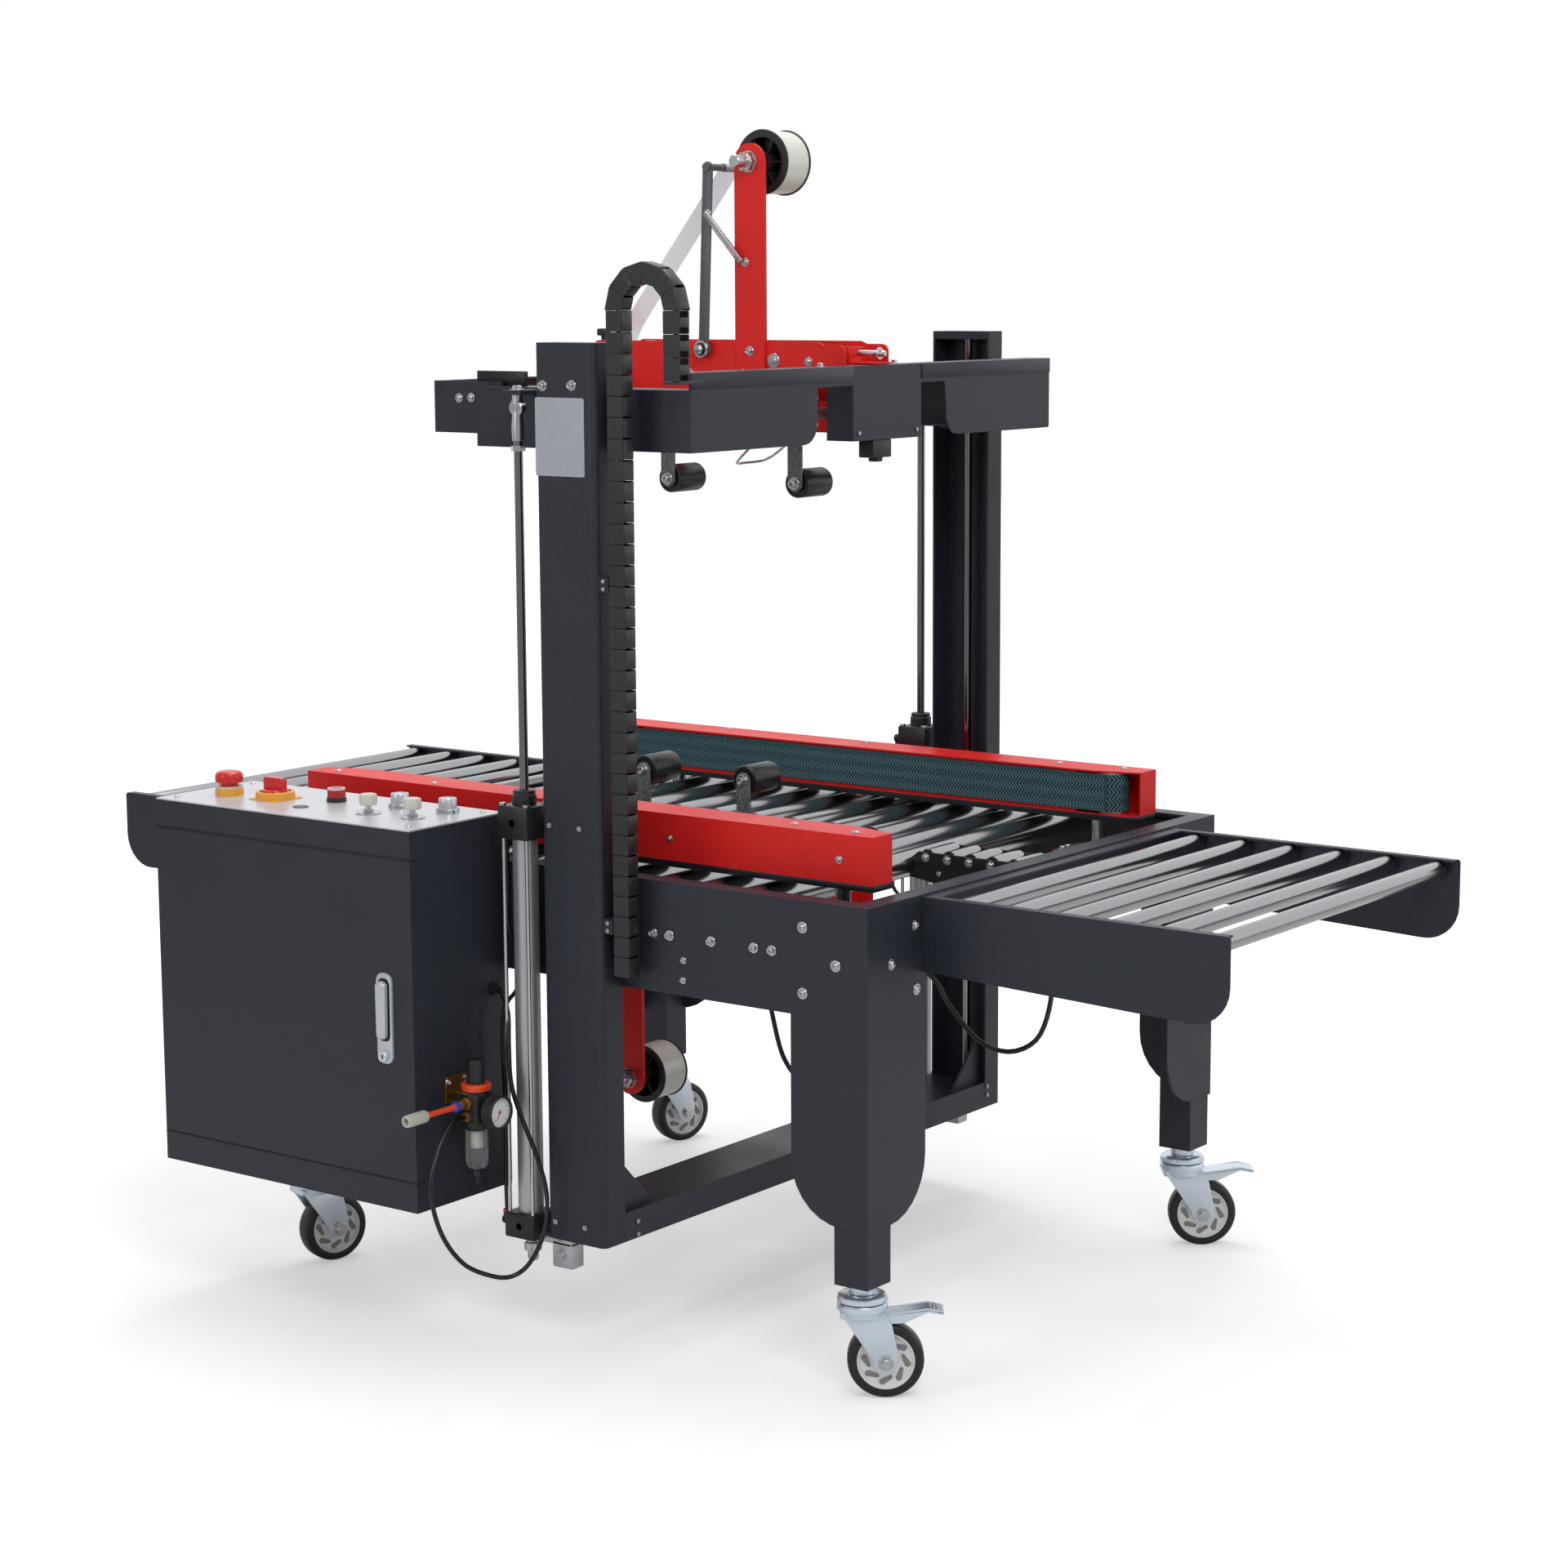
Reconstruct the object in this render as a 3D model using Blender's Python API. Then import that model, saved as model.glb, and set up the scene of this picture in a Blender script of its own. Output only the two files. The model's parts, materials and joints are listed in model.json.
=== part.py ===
"""Carton sealing machine: roller bed, side belts, lifting tape head, control cabinet and casters.

Metres, +Z up, +X is the way cartons travel. The pieces are laid out about the bed's centre
and moved at the end so that the origin is under the middle of the machine, on the floor.
"""

import math

import bmesh
import bpy
from mathutils import Matrix, Vector

# ---------------------------------------------------------------- driving dimensions
GAP = 0.0003                    # clearance between pieces that touch
SHEET = 0.003                   # frame sheet thickness

BED_HALF_LENGTH = 0.5245
BED_HALF_WIDTH = 0.443
BED_TOP = 0.650
BED_PANEL_BOTTOM = 0.500
BED_END_BOTTOM = 0.560
BED_FLANGE = 0.030
SHROUD_WIDTH = 0.121
SHROUD_DEPTH = 0.130
SHROUD_BOTTOM = 0.228
SHROUD_RADIUS = 0.080
LEG_TUBE = 0.052
LEG_TUBE_TOP = 0.585
LEG_BOTTOM = 0.151
LEG_WALL = 0.003
LEG_PLATE = 0.006
CROSS_BAR_BOTTOM = 0.515
CROSS_BAR_HEIGHT = 0.0247
CROSS_BAR_WIDTH = 0.024

DECK_ROLLER_RADIUS = 0.020
DECK_ROLLER_TOP = 0.645
DECK_PITCH = 0.072
DECK_LAST_X = 0.300
DECK_COUNT = 12
DECK_SHAFT_RADIUS = 0.006
DECK_RAIL_HEIGHT = 0.034
DECK_RAIL = 0.004
SLOT_HALF_WIDTH = 0.084         # half width of the gap that the lower tape head stands in
SLOT_FRONT_X = 0.205
SLOT_REAR_X = -0.250
STRIP_FIRST_X = 0.338
STRIP_PITCH = 0.0357
STRIP_COUNT = 5
STRIP_RADIUS = 0.012
STRIP_HALF_WIDTH = 0.036
STRIP_TOP = 0.649

TABLE_LENGTH = 0.448
TABLE_HALF_WIDTH = 0.3217
TABLE_TOP = 0.647
TABLE_DEPTH = 0.116
TABLE_LIP = 0.014
TABLE_RADIUS = 0.050
TABLE_ROLLERS = 6
TABLE_ROLLER_RADIUS = 0.0125
TABLE_ROLLER_PITCH = 0.0750
TABLE_FIRST_ROLLER = 0.046
TABLE_SHAFT_RADIUS = 0.005
TABLE_ROLLER_INSET = 0.008
TABLE_ROLLER_DROP = 0.0022      # how far the roller tops lie under the lip
TABLE_LIP_CLEAR = 0.002         # lip cut back round each turning roller

COLUMN_X = 0.074
COLUMN_WIDTH = 0.1012
COLUMN_DEPTH = 0.0431
COLUMN_BOTTOM = 0.147
COLUMN_TOP = 1.3516
COLUMN_WALL = 0.0035
COLUMN_RADIUS = 0.009
GUIDE_SHAFT_RADIUS = 0.006
GUIDE_END = 0.012               # thickness of the plates that hold the guide shaft
BASE_HEIGHT = 0.040
GUSSET = 0.075

CYLINDER_X = -0.018
CYLINDER_OUT = 0.029            # cylinder axis to the bed panel's outer face
CYLINDER_RADIUS = 0.016
CYLINDER_BORE = 0.0130
CYLINDER_CAP = 0.054
CYLINDER_FOOT_Z = 0.1395
CYLINDER_FOOT_CAP = 0.035
CYLINDER_HEAD_Z = 0.692
CYLINDER_HEAD_CAP = 0.045
CYLINDER_NECK = 0.020
CYLINDER_NECK_RADIUS = 0.0165
CYLINDER_FOOT_HALF = 0.013       # half width of the bracket under the cylinder
CYLINDER_FOOT_DROP = 0.032       # how far the bracket's block hangs below its plate
CYLINDER_FOOT_PLATE = 0.008
ROD_RADIUS = 0.006
ROD_CLEARANCE = 0.0004
PISTON_LENGTH = 0.012
ROD_BOTTOM = 0.655

HEAD_FRONT_X = 0.240
HEAD_BEAM_REAR_X = -0.127
HEAD_REAR_X = -0.220
HEAD_SIDE_GAP = 0.012            # bed panel's outer face to the head's side
HEAD_REAR_STEP = 0.018           # how much narrower the head is behind
HEAD_HALF_WIDTH = BED_HALF_WIDTH - HEAD_SIDE_GAP
HEAD_REAR_HALF_WIDTH = HEAD_HALF_WIDTH - HEAD_REAR_STEP
HEAD_BOTTOM = 1.211
HEAD_TOP = 1.291
HEAD_LIP = 1.3135
HEAD_BEAM_DEPTH = 0.060
HEAD_REAR_BOTTOM = 1.227
HEAD_REAR_TOP = 1.297
HEAD_WINDOW = (-0.155, -0.072)
HEAD_HOUSING = (-0.072, 0.093)
HEAD_NOTCH = (0.093, 0.152)
HEAD_HOUSING_DEPTH = 0.045
HEAD_FLANGE = 0.040
HEAD_REAR_FLANGE = 0.014
GUIDE_BLOCK_HALF = 0.029
GUIDE_BLOCK_BOTTOM = 1.205
GUIDE_BLOCK_TOP = 1.300
GUIDE_CLEARANCE = 0.0006
ROD_TAB_THICKNESS = 0.006
ROD_TAB_HALF = 0.016
ROD_TAB_Z = 1.283

CART_HALF_WIDTH = 0.053
CART_PLATE = 0.003
CART_FRONT_X = 0.165
CART_REAR_X = -0.203
CART_EAR_FRONT_X = 0.212
CART_EAR_REAR_X = -0.236
CART_TOP = 1.345
CART_BOTTOM = 1.215
CART_SPACER = 0.006
ARM_X = 0.052
ARM_WIDTH = 0.051
ARM_THICKNESS = 0.005
ROLL_Z = 1.593
ROLL_RADIUS = 0.0455
ROLL_WIDTH = 0.056
ROLL_TAPE = 0.0075               # depth of tape wound on the upper core
ROLL_HUB = 0.014
ROLL_WEB = 0.004                 # half thickness of the core's web
SPINDLE_RADIUS = 0.008
SPINDLE_CLEARANCE = 0.0005
SPINDLE_NOSE = 0.028             # spindle in front of the arm
SPINDLE_TAIL = 0.012             # spindle behind the roll
LEVER_PIVOT = (-0.029, 1.334)
LEVER_TOP = (-0.019, 1.587)
LEVER_WIDTH = 0.016
LEVER_THICKNESS = 0.005
LEVER_BOSS_RADIUS = 0.011
LEVER_GAP = 0.0035              # lever plate to cartridge plate

PRESS_REAR_X = -0.116
PRESS_FRONT_X = 0.112
PRESS_PIVOT_Z = 1.243
PRESS_ROLLER_Z = 1.147
PRESS_ROLLER_RADIUS = 0.0205
PRESS_ROLLER_HALF = 0.030
PRESS_ARM_THICKNESS = 0.005
PRESS_ARM_HALF = 0.012
PRESS_SHAFT = 0.004
PRESS_PIN = 0.005
PRESS_BOSS = 0.0095

LOW_TOP = 0.625
LOW_BOTTOM = 0.470
LOW_FRONT_X = 0.017
LOW_REAR_X = -0.168
LOW_ROLLER_Z = 0.716
LOW_PIVOT_Z = 0.600
LOW_ROLLER_RADIUS = 0.0215
LOW_CART_FRONT_X = 0.185
LOW_CART_REAR_X = -0.225
LOW_ARM_X = -0.183
LOW_ROLL_Z = 0.252
LOW_ROLL_RADIUS = 0.044
LOW_ROLL_TAPE = 0.006

BELT_FRONT_X = 0.4736
BELT_REAR_X = -0.5375
BELT_OUTER = 0.3586
BELT_COVER_WIDTH = 0.0626
BELT_END_WIDTH = 0.0433
BELT_CHAMFER = 0.070
BELT_COVER_BOTTOM = 0.6605
BELT_COVER_TOP = 0.7236
BELT_BASE_BOTTOM = 0.6518
BELT_SHEET = 0.0025
BELT_RADIUS = 0.0245
BELT_THICKNESS = 0.003
BELT_CLEARANCE = 0.0009         # belt to the pulleys and the backing bar inside it
BELT_BOTTOM = 0.6640
BELT_TOP = 0.7190
BELT_CENTRE = 0.3213            # distance of the belt's centre line from the machine's middle
BELT_END = 0.050                # belt axis to the cover's end
POST_RADIUS = 0.010
POST_XS = (0.400, -0.384)
CARRIAGE_HALF = 0.020
CARRIAGE_PLATE = 0.006
CARRIAGE_PLATE_Z = 0.600

CABINET_LEFT = -0.5623
CABINET_RIGHT = -0.0776
CABINET_DEPTH = 0.1913          # bed panel's outer face to the cabinet's front face
CABINET_FRONT = BED_HALF_WIDTH + CABINET_DEPTH
CABINET_BOTTOM = 0.197
CABINET_TOP = 0.7150
CABINET_SHEET = 0.002
DOOR_BOTTOM = 0.2385
DOOR_TOP = 0.6755
DOOR_DEPTH = 0.018
PANEL_THICKNESS = 0.002
HANDLE_X = -0.1275
HANDLE_WIDTH = 0.028
HANDLE_BOTTOM = 0.397
HANDLE_TOP = 0.521
HANDLE_PAD = 0.003
PADDLE_WIDTH = 0.018
PADDLE_BOTTOM = 0.432
PADDLE_TOP = 0.511
PADDLE_DEPTH = 0.009

STOP_PLACE = (-0.497, 0.0803 - CABINET_FRONT)   # controls on the panel, set back from its front edge
SWITCH_PLACE = (-0.417, 0.0913 - CABINET_FRONT)
LAMP_X, LAMP_Y = -0.329, 0.1223 - CABINET_FRONT
KNOB_PLACES = ((-0.222, 0.0743 - CABINET_FRONT), (-0.147, 0.0813 - CABINET_FRONT))
BUTTON_PLACES = ((-0.220, 0.1343 - CABINET_FRONT), (-0.138, 0.1413 - CABINET_FRONT))
STOP_STEM = 0.0125
BUTTON_RADIUS = 0.0125
PRESS_CLEARANCE = 0.0006

REGULATOR_X = -0.043
REGULATOR_Y = 0.0823 - CABINET_FRONT
REGULATOR_RADIUS = 0.0175
REGULATOR_BOTTOM = 0.305
REGULATOR_TOP = 0.366
REGULATOR_KNOB_TOP = 0.399
BOWL_BOTTOM = 0.249
DRAIN_BOTTOM = 0.225
GAUGE_RADIUS = 0.0195
HOSE_RADIUS = 0.0032
OUTLET_Z = 0.323
HOSE_STEP = 0.022               # length of the hose's straight pieces

CHAIN_X = 0.1535
CHAIN_THICKNESS = 0.027
CHAIN_OUT = 0.0255               # chain's middle to the bed panel's outer face
CHAIN_Y = -(BED_HALF_WIDTH + CHAIN_OUT)
CHAIN_WIDTH = 0.024
CHAIN_BOTTOM = 0.522
CHAIN_ARCH_Z = 1.393
CHAIN_ARCH_RADIUS = 0.0468
CHAIN_HEAD_Z = 1.304
CHAIN_SHELF = 0.0035            # thickness of the head's shelf under the chain's end
CHAIN_CLAMP_HEIGHT = 0.020
CHAIN_CLAMPS = (0.578, 1.030)   # undersides of the column's two chain clamps

WHEEL_RADIUS = 0.050
WHEEL_WIDTH = 0.030
WHEEL_BORE = 0.0062
AXLE_RADIUS = 0.0055
CASTER_TRAIL = 0.030
CASTER_DISC_RADIUS = 0.033
CASTER_BOSS_RADIUS = 0.017
FORK_SHEET = 0.003
FORK_HALF = 0.0185
STEM_FROM_CORNER = 0.0295
CASTER_YAW = {                  # the way each caster trails, in degrees about +Z
    "outfeed_near": 37.0,
    "outfeed_far": 37.0,
    "infeed_near": 72.0,
    "infeed_far": 72.0,
}

SEGMENTS = 16                   # sides of an ordinary round bar
FINE_SEGMENTS = 20              # sides of wheels and tape rolls
PLAIN_SEGMENTS = 10             # sides of the many rollers
PIN_SEGMENTS = 8                # sides of shafts and pins
SMOOTH_ANGLE = math.radians(35.0)

FINISHES = {
    "charcoal": ((0.045, 0.048, 0.058), 0.45, 0.1),
    "red": ((0.62, 0.018, 0.012), 0.35, 0.0),
    "chrome": ((0.62, 0.62, 0.63), 0.18, 1.0),
    "zinc": ((0.60, 0.64, 0.68), 0.35, 0.9),
    "rubber": ((0.012, 0.012, 0.014), 0.6, 0.0),
    "black": ((0.015, 0.015, 0.017), 0.45, 0.0),
    "belt": ((0.010, 0.095, 0.120), 0.8, 0.0),
    "wheel": ((0.45, 0.44, 0.41), 0.5, 0.0),
    "panel": ((0.72, 0.74, 0.78), 0.25, 0.3),
    "tape": ((0.72, 0.66, 0.52), 0.35, 0.0),
    "cream": ((0.75, 0.73, 0.64), 0.4, 0.0),
    "silver": ((0.55, 0.56, 0.58), 0.3, 0.8),
    "grey": ((0.10, 0.105, 0.11), 0.4, 0.3),
}


# ---------------------------------------------------------------- modelling helpers
def clear_scene():
    """Remove whatever objects the file opened with."""
    for thing in list(bpy.data.objects):
        bpy.data.objects.remove(thing, do_unlink=True)


def finish(name):
    """The named material, made the first time that it is asked for."""
    material = bpy.data.materials.get(name)
    if material is None:
        colour, roughness, metallic = FINISHES[name]
        material = bpy.data.materials.new(name)
        material.use_nodes = True
        shader = material.node_tree.nodes["Principled BSDF"]
        shader.inputs["Base Color"].default_value = (*colour, 1.0)
        shader.inputs["Roughness"].default_value = roughness
        shader.inputs["Metallic"].default_value = metallic
        material.diffuse_color = (*colour, 1.0)
    return material


def box(x0, x1, y0, y1, z0, z1):
    """A box between six planes."""
    bm = bmesh.new()
    centre = Vector(((x0 + x1) / 2, (y0 + y1) / 2, (z0 + z1) / 2))
    size = Vector((abs(x1 - x0), abs(y1 - y0), abs(z1 - z0)))
    bmesh.ops.create_cube(bm, size=1.0, matrix=Matrix.Translation(centre) @ Matrix.Diagonal((*size, 1.0)))
    return bm


def mirrored_box(side, x0, x1, y0, y1, z0, z1):
    """A box whose y values are distances from the middle, on the side given by its sign."""
    return box(x0, x1, side * y0, side * y1, z0, z1)


def extruded(outline, axis, low, high):
    """A flat outline of two coordinates carried along one axis, as one closed prism."""
    bm = bmesh.new()
    order = {"x": (1, 2), "y": (0, 2), "z": (0, 1)}[axis]
    along = "xyz".index(axis)
    verts = []
    for first, second in outline:
        point = [0.0, 0.0, 0.0]
        point[order[0]] = first
        point[order[1]] = second
        point[along] = low
        verts.append(bm.verts.new(point))
    face = bm.faces.new(verts)
    grown = bmesh.ops.extrude_face_region(bm, geom=[face])
    shift = Vector((0.0, 0.0, 0.0))
    shift[along] = high - low
    moved = [item for item in grown["geom"] if isinstance(item, bmesh.types.BMVert)]
    bmesh.ops.translate(bm, verts=moved, vec=shift)
    bmesh.ops.recalc_face_normals(bm, faces=bm.faces)
    return bm


def rounded(corners, steps=5):
    """An outline with each (first, second, radius) corner turned into an arc."""
    points = []
    count = len(corners)
    for index, (first, second, radius) in enumerate(corners):
        here = Vector((first, second))
        if radius <= 0.0:
            points.append((first, second))
            continue
        before = (Vector(corners[index - 1][:2]) - here).normalized()
        after = (Vector(corners[(index + 1) % count][:2]) - here).normalized()
        half = before.angle(after) / 2
        centre = here + (before + after).normalized() * (radius / math.sin(half))
        start = here + before * (radius / math.tan(half)) - centre
        sweep = math.pi - 2 * half
        turn = -1.0 if before.cross(after) > 0 else 1.0
        for step in range(steps + 1):
            angle = turn * sweep * step / steps
            cos_a, sin_a = math.cos(angle), math.sin(angle)
            points.append((centre.x + start.x * cos_a - start.y * sin_a,
                           centre.y + start.x * sin_a + start.y * cos_a))
    return points


def link_outline(start, end, half_width, steps=8):
    """A bar with round ends, from one pivot to the other, seen from the side."""
    start, end = Vector(start), Vector(end)
    heading = math.atan2(end.y - start.y, end.x - start.x)
    points = []
    for pivot, offset in ((end, -math.pi / 2), (start, math.pi / 2)):
        for step in range(steps + 1):
            angle = heading + offset + math.pi * step / steps
            points.append((pivot.x + half_width * math.cos(angle), pivot.y + half_width * math.sin(angle)))
    return points


def rod(axis, centre, radius, low, high, segments=SEGMENTS):
    """A round bar along one axis; centre holds the two coordinates across it, in XYZ order."""
    angles = [2 * math.pi * (k + 0.5) / segments for k in range(segments)]
    ring = [(centre[0] + radius * math.cos(angle), centre[1] + radius * math.sin(angle))
            for angle in angles]
    return extruded(ring, axis, low, high)


def turned(profile, centre, axis="z", segments=SEGMENTS):
    """A closed (radius, height) profile spun about an axis through the centre."""
    bm = bmesh.new()
    rings = []
    for radius, height in profile:
        if radius < 1e-6:
            rings.append([bm.verts.new((0.0, 0.0, height))])
            continue
        ring = [bm.verts.new((radius * math.cos(2 * math.pi * k / segments),
                              radius * math.sin(2 * math.pi * k / segments), height))
                for k in range(segments)]
        rings.append(ring)
    for index, lower in enumerate(rings):
        upper = rings[(index + 1) % len(rings)]
        if len(lower) == 1 and len(upper) == 1:
            continue
        for k in range(segments):
            following = (k + 1) % segments
            if len(lower) == 1:
                bm.faces.new((lower[0], upper[following], upper[k]))
            elif len(upper) == 1:
                bm.faces.new((lower[k], lower[following], upper[0]))
            else:
                bm.faces.new((lower[k], lower[following], upper[following], upper[k]))
    bmesh.ops.recalc_face_normals(bm, faces=bm.faces)
    turn = {"z": Matrix.Identity(4),
            "y": Matrix.Rotation(-math.pi / 2, 4, "X"),
            "x": Matrix.Rotation(math.pi / 2, 4, "Y")}[axis]
    bmesh.ops.transform(bm, matrix=Matrix.Translation(Vector(centre)) @ turn, verts=bm.verts)
    return bm


def gathered(*shapes):
    """Several shapes that don't touch, as one mesh to join or cut with."""
    together = bmesh.new()
    for shape in shapes:
        scratch = bpy.data.meshes.new("scratch")
        shape.to_mesh(scratch)
        together.from_mesh(scratch)
        bpy.data.meshes.remove(scratch)
        shape.free()
    return together


def place_mesh(name, bm):
    """Put a bmesh in the scene as an object of its own."""
    mesh = bpy.data.meshes.new(name)
    bm.to_mesh(mesh)
    bm.free()
    thing = bpy.data.objects.new(name, mesh)
    bpy.context.scene.collection.objects.link(thing)
    return thing


def carved(base, cuts):
    """A shape with other shapes cut out of it, still loose for further work."""
    blank = place_mesh("blank", base)
    tools = [place_mesh("cutter", shape) for shape in cuts]
    for tool in tools:
        modifier = blank.modifiers.new("cut", "BOOLEAN")
        modifier.operation = "DIFFERENCE"
        modifier.solver = "EXACT"
        modifier.object = tool
    result = bmesh.new()
    result.from_object(blank, bpy.context.evaluated_depsgraph_get())
    for thing in [blank] + tools:
        bpy.data.objects.remove(thing, do_unlink=True)
    return result


def piece(name, look, base, add=(), cut=(), pivot=None, parent=None):
    """One closed part: a base shape with shapes joined to it and cut from it.

    Shapes are given in machine coordinates. A pivot puts the part's origin on its joint axis.
    """
    part = place_mesh(name, base)
    tools = []
    for operation, shapes in (("UNION", add), ("DIFFERENCE", cut)):
        for shape in shapes:
            tool = place_mesh(f"{name}_tool", shape)
            modifier = part.modifiers.new(operation.lower(), "BOOLEAN")
            modifier.operation = operation
            modifier.solver = "EXACT"
            modifier.object = tool
            tools.append(tool)
    if tools:
        depsgraph = bpy.context.evaluated_depsgraph_get()
        made = bpy.data.meshes.new_from_object(part.evaluated_get(depsgraph))
        part.modifiers.clear()
        part.data = made
        for tool in tools:
            bpy.data.objects.remove(tool, do_unlink=True)
    part.name = name
    part.data.name = name
    part.data.materials.clear()
    part.data.materials.append(finish(look))
    part.data.shade_smooth()
    part.data.set_sharp_from_angle(angle=SMOOTH_ANGLE)
    if pivot is not None:
        part.data.transform(Matrix.Translation(-Vector(pivot)))
        part.location = pivot
    if parent is not None:
        part.parent = parent
        part.matrix_parent_inverse = Matrix.Translation(-parent.location)
    return part


def joint_axis(name, location):
    """An empty that marks where a moving group turns or slides."""
    marker = bpy.data.objects.new(name, None)
    marker.empty_display_size = 0.05
    marker.location = location
    bpy.context.scene.collection.objects.link(marker)
    return marker


# ---------------------------------------------------------------- bed and deck
def leg_opening(half_length, leg_width, top, axis, reach):
    """The space between two legs seen from the side, their lower inner corners left round."""
    inner = half_length - leg_width
    low = SHROUD_BOTTOM - SHEET
    outline = [(-inner, top)]
    steps = 7
    for step in range(steps + 1):
        angle = math.pi / 2 * step / steps
        outline.append((-inner - SHROUD_RADIUS + SHROUD_RADIUS * math.cos(angle),
                        SHROUD_BOTTOM + SHROUD_RADIUS - SHROUD_RADIUS * math.sin(angle)))
    outline.append((-inner - SHROUD_RADIUS, low))
    outline += [(-across, height) for across, height in reversed(outline)]
    return extruded(outline, axis, -reach, reach)


def leg_tube(end, side):
    """A leg's square tube and the hollow in it, closed by the caster's plate below."""
    x_out = end * (BED_HALF_LENGTH - SHEET + GAP)
    y_out = side * (BED_HALF_WIDTH - SHEET + GAP)
    x_in = x_out - end * LEG_TUBE
    y_in = y_out - side * LEG_TUBE
    tube = box(x_in, x_out, y_in, y_out, LEG_BOTTOM, LEG_TUBE_TOP)
    hollow = box(x_in + end * LEG_WALL, x_out - end * LEG_WALL,
                 y_in + side * LEG_WALL, y_out - side * LEG_WALL,
                 LEG_BOTTOM + LEG_PLATE, LEG_TUBE_TOP + LEG_WALL)
    return tube, hollow


def leg_stem(end, side):
    """Where the caster's stem stands under a leg."""
    return (end * (BED_HALF_LENGTH - STEM_FROM_CORNER), side * (BED_HALF_WIDTH - STEM_FROM_CORNER))


def build_bed():
    """The welded bed: side and end panels, flanges, leg shrouds, leg tubes and cross bars."""
    length, width = BED_HALF_LENGTH, BED_HALF_WIDTH
    case = box(-length, length, -width, width, SHROUD_BOTTOM, BED_TOP)
    inside = box(-length + SHEET, length - SHEET, -width + SHEET, width - SHEET,
                 SHROUD_BOTTOM - SHEET, BED_TOP - SHEET)
    mouth = box(-length + BED_FLANGE, length - BED_FLANGE, -width + BED_FLANGE, width - BED_FLANGE,
                BED_TOP - 2 * SHEET, BED_TOP + SHEET)
    under_sides = leg_opening(length, SHROUD_WIDTH, BED_PANEL_BOTTOM, "y", width + SHEET)
    under_ends = leg_opening(width, SHROUD_DEPTH, BED_END_BOTTOM, "x", length + SHEET)
    tubes, hollows = zip(*[leg_tube(end, side) for end in (-1, 1) for side in (-1, 1)])
    bars = [box(post_x - CROSS_BAR_WIDTH / 2, post_x + CROSS_BAR_WIDTH / 2,
                -width + SHEET / 2, width - SHEET / 2,
                CROSS_BAR_BOTTOM, CROSS_BAR_BOTTOM + CROSS_BAR_HEIGHT) for post_x in POST_XS]
    shell = carved(case, [inside, mouth, under_sides, under_ends])
    piece("bed_frame", "charcoal", shell, add=[gathered(*tubes), gathered(*bars)], cut=[gathered(*hollows)])


def build_deck():
    """The bed's rollers on their rails, with the short roller strip at the outfeed end."""
    centre_z = DECK_ROLLER_TOP - DECK_ROLLER_RADIUS
    rail_outer = BED_HALF_WIDTH - SHEET - GAP
    rail_end = BED_HALF_LENGTH - SHEET - GAP
    rail_top = centre_z + DECK_RAIL_HEIGHT / 2 - 0.006
    rail_low = rail_top - DECK_RAIL_HEIGHT
    roller_outer = rail_outer - DECK_RAIL - 0.004
    roller_inner = SLOT_HALF_WIDTH + DECK_RAIL + 0.004
    rollers, shafts = [], []
    for index in range(DECK_COUNT):
        x = DECK_LAST_X - index * DECK_PITCH
        split = SLOT_REAR_X < x < SLOT_FRONT_X
        spans = [(-roller_outer, -roller_inner), (roller_inner, roller_outer)]
        shaft_spans = [(-rail_outer + GAP, -SLOT_HALF_WIDTH - GAP),
                       (SLOT_HALF_WIDTH + GAP, rail_outer - GAP)]
        if not split:
            spans = [(-roller_outer, roller_outer)]
            shaft_spans = [(-rail_outer + GAP, rail_outer - GAP)]
        rollers += [rod("y", (x, centre_z), DECK_ROLLER_RADIUS, low, high, PLAIN_SEGMENTS)
                    for low, high in spans]
        shafts += [rod("y", (x, centre_z), DECK_SHAFT_RADIUS, low, high, 6) for low, high in shaft_spans]
    rails = gathered(*[mirrored_box(side, -rail_end, rail_end, rail_outer - DECK_RAIL, rail_outer,
                                    rail_low, rail_top) for side in (-1, 1)])
    inner_front = DECK_LAST_X - DECK_PITCH
    inner_rear = DECK_LAST_X - math.ceil((DECK_LAST_X - SLOT_REAR_X) / DECK_PITCH) * DECK_PITCH
    inner_rails = gathered(*[mirrored_box(side, inner_rear, inner_front, SLOT_HALF_WIDTH,
                                          SLOT_HALF_WIDTH + DECK_RAIL, rail_low, rail_top)
                             for side in (-1, 1)])
    strip_z = STRIP_TOP - STRIP_RADIUS
    strip_last = STRIP_FIRST_X + (STRIP_COUNT - 1) * STRIP_PITCH
    strip_rollers = gathered(*[rod("y", (STRIP_FIRST_X + k * STRIP_PITCH, strip_z), STRIP_RADIUS,
                                   -STRIP_HALF_WIDTH + 0.003, STRIP_HALF_WIDTH - 0.003, 10)
                               for k in range(STRIP_COUNT)])
    strip_shafts = gathered(*[rod("y", (STRIP_FIRST_X + k * STRIP_PITCH, strip_z), 0.004,
                                  -STRIP_HALF_WIDTH - 0.001, STRIP_HALF_WIDTH + 0.001, 6)
                              for k in range(STRIP_COUNT)])
    side_outline = [(DECK_LAST_X, strip_z - 0.012), (STRIP_FIRST_X - 0.012, strip_z + 0.008),
                    (strip_last + 0.012, strip_z + 0.008), (rail_end, strip_z - 0.004),
                    (rail_end, rail_low), (STRIP_FIRST_X + 0.010, rail_low), (DECK_LAST_X, strip_z - 0.028)]
    strip_sides = gathered(*[extruded(side_outline, "y", side * STRIP_HALF_WIDTH,
                                      side * (STRIP_HALF_WIDTH + SHEET)) for side in (-1, 1)])
    piece("roller_deck", "chrome", gathered(*rollers),
          add=[gathered(*shafts), rails, inner_rails, strip_sides, strip_rollers, strip_shafts])


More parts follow.
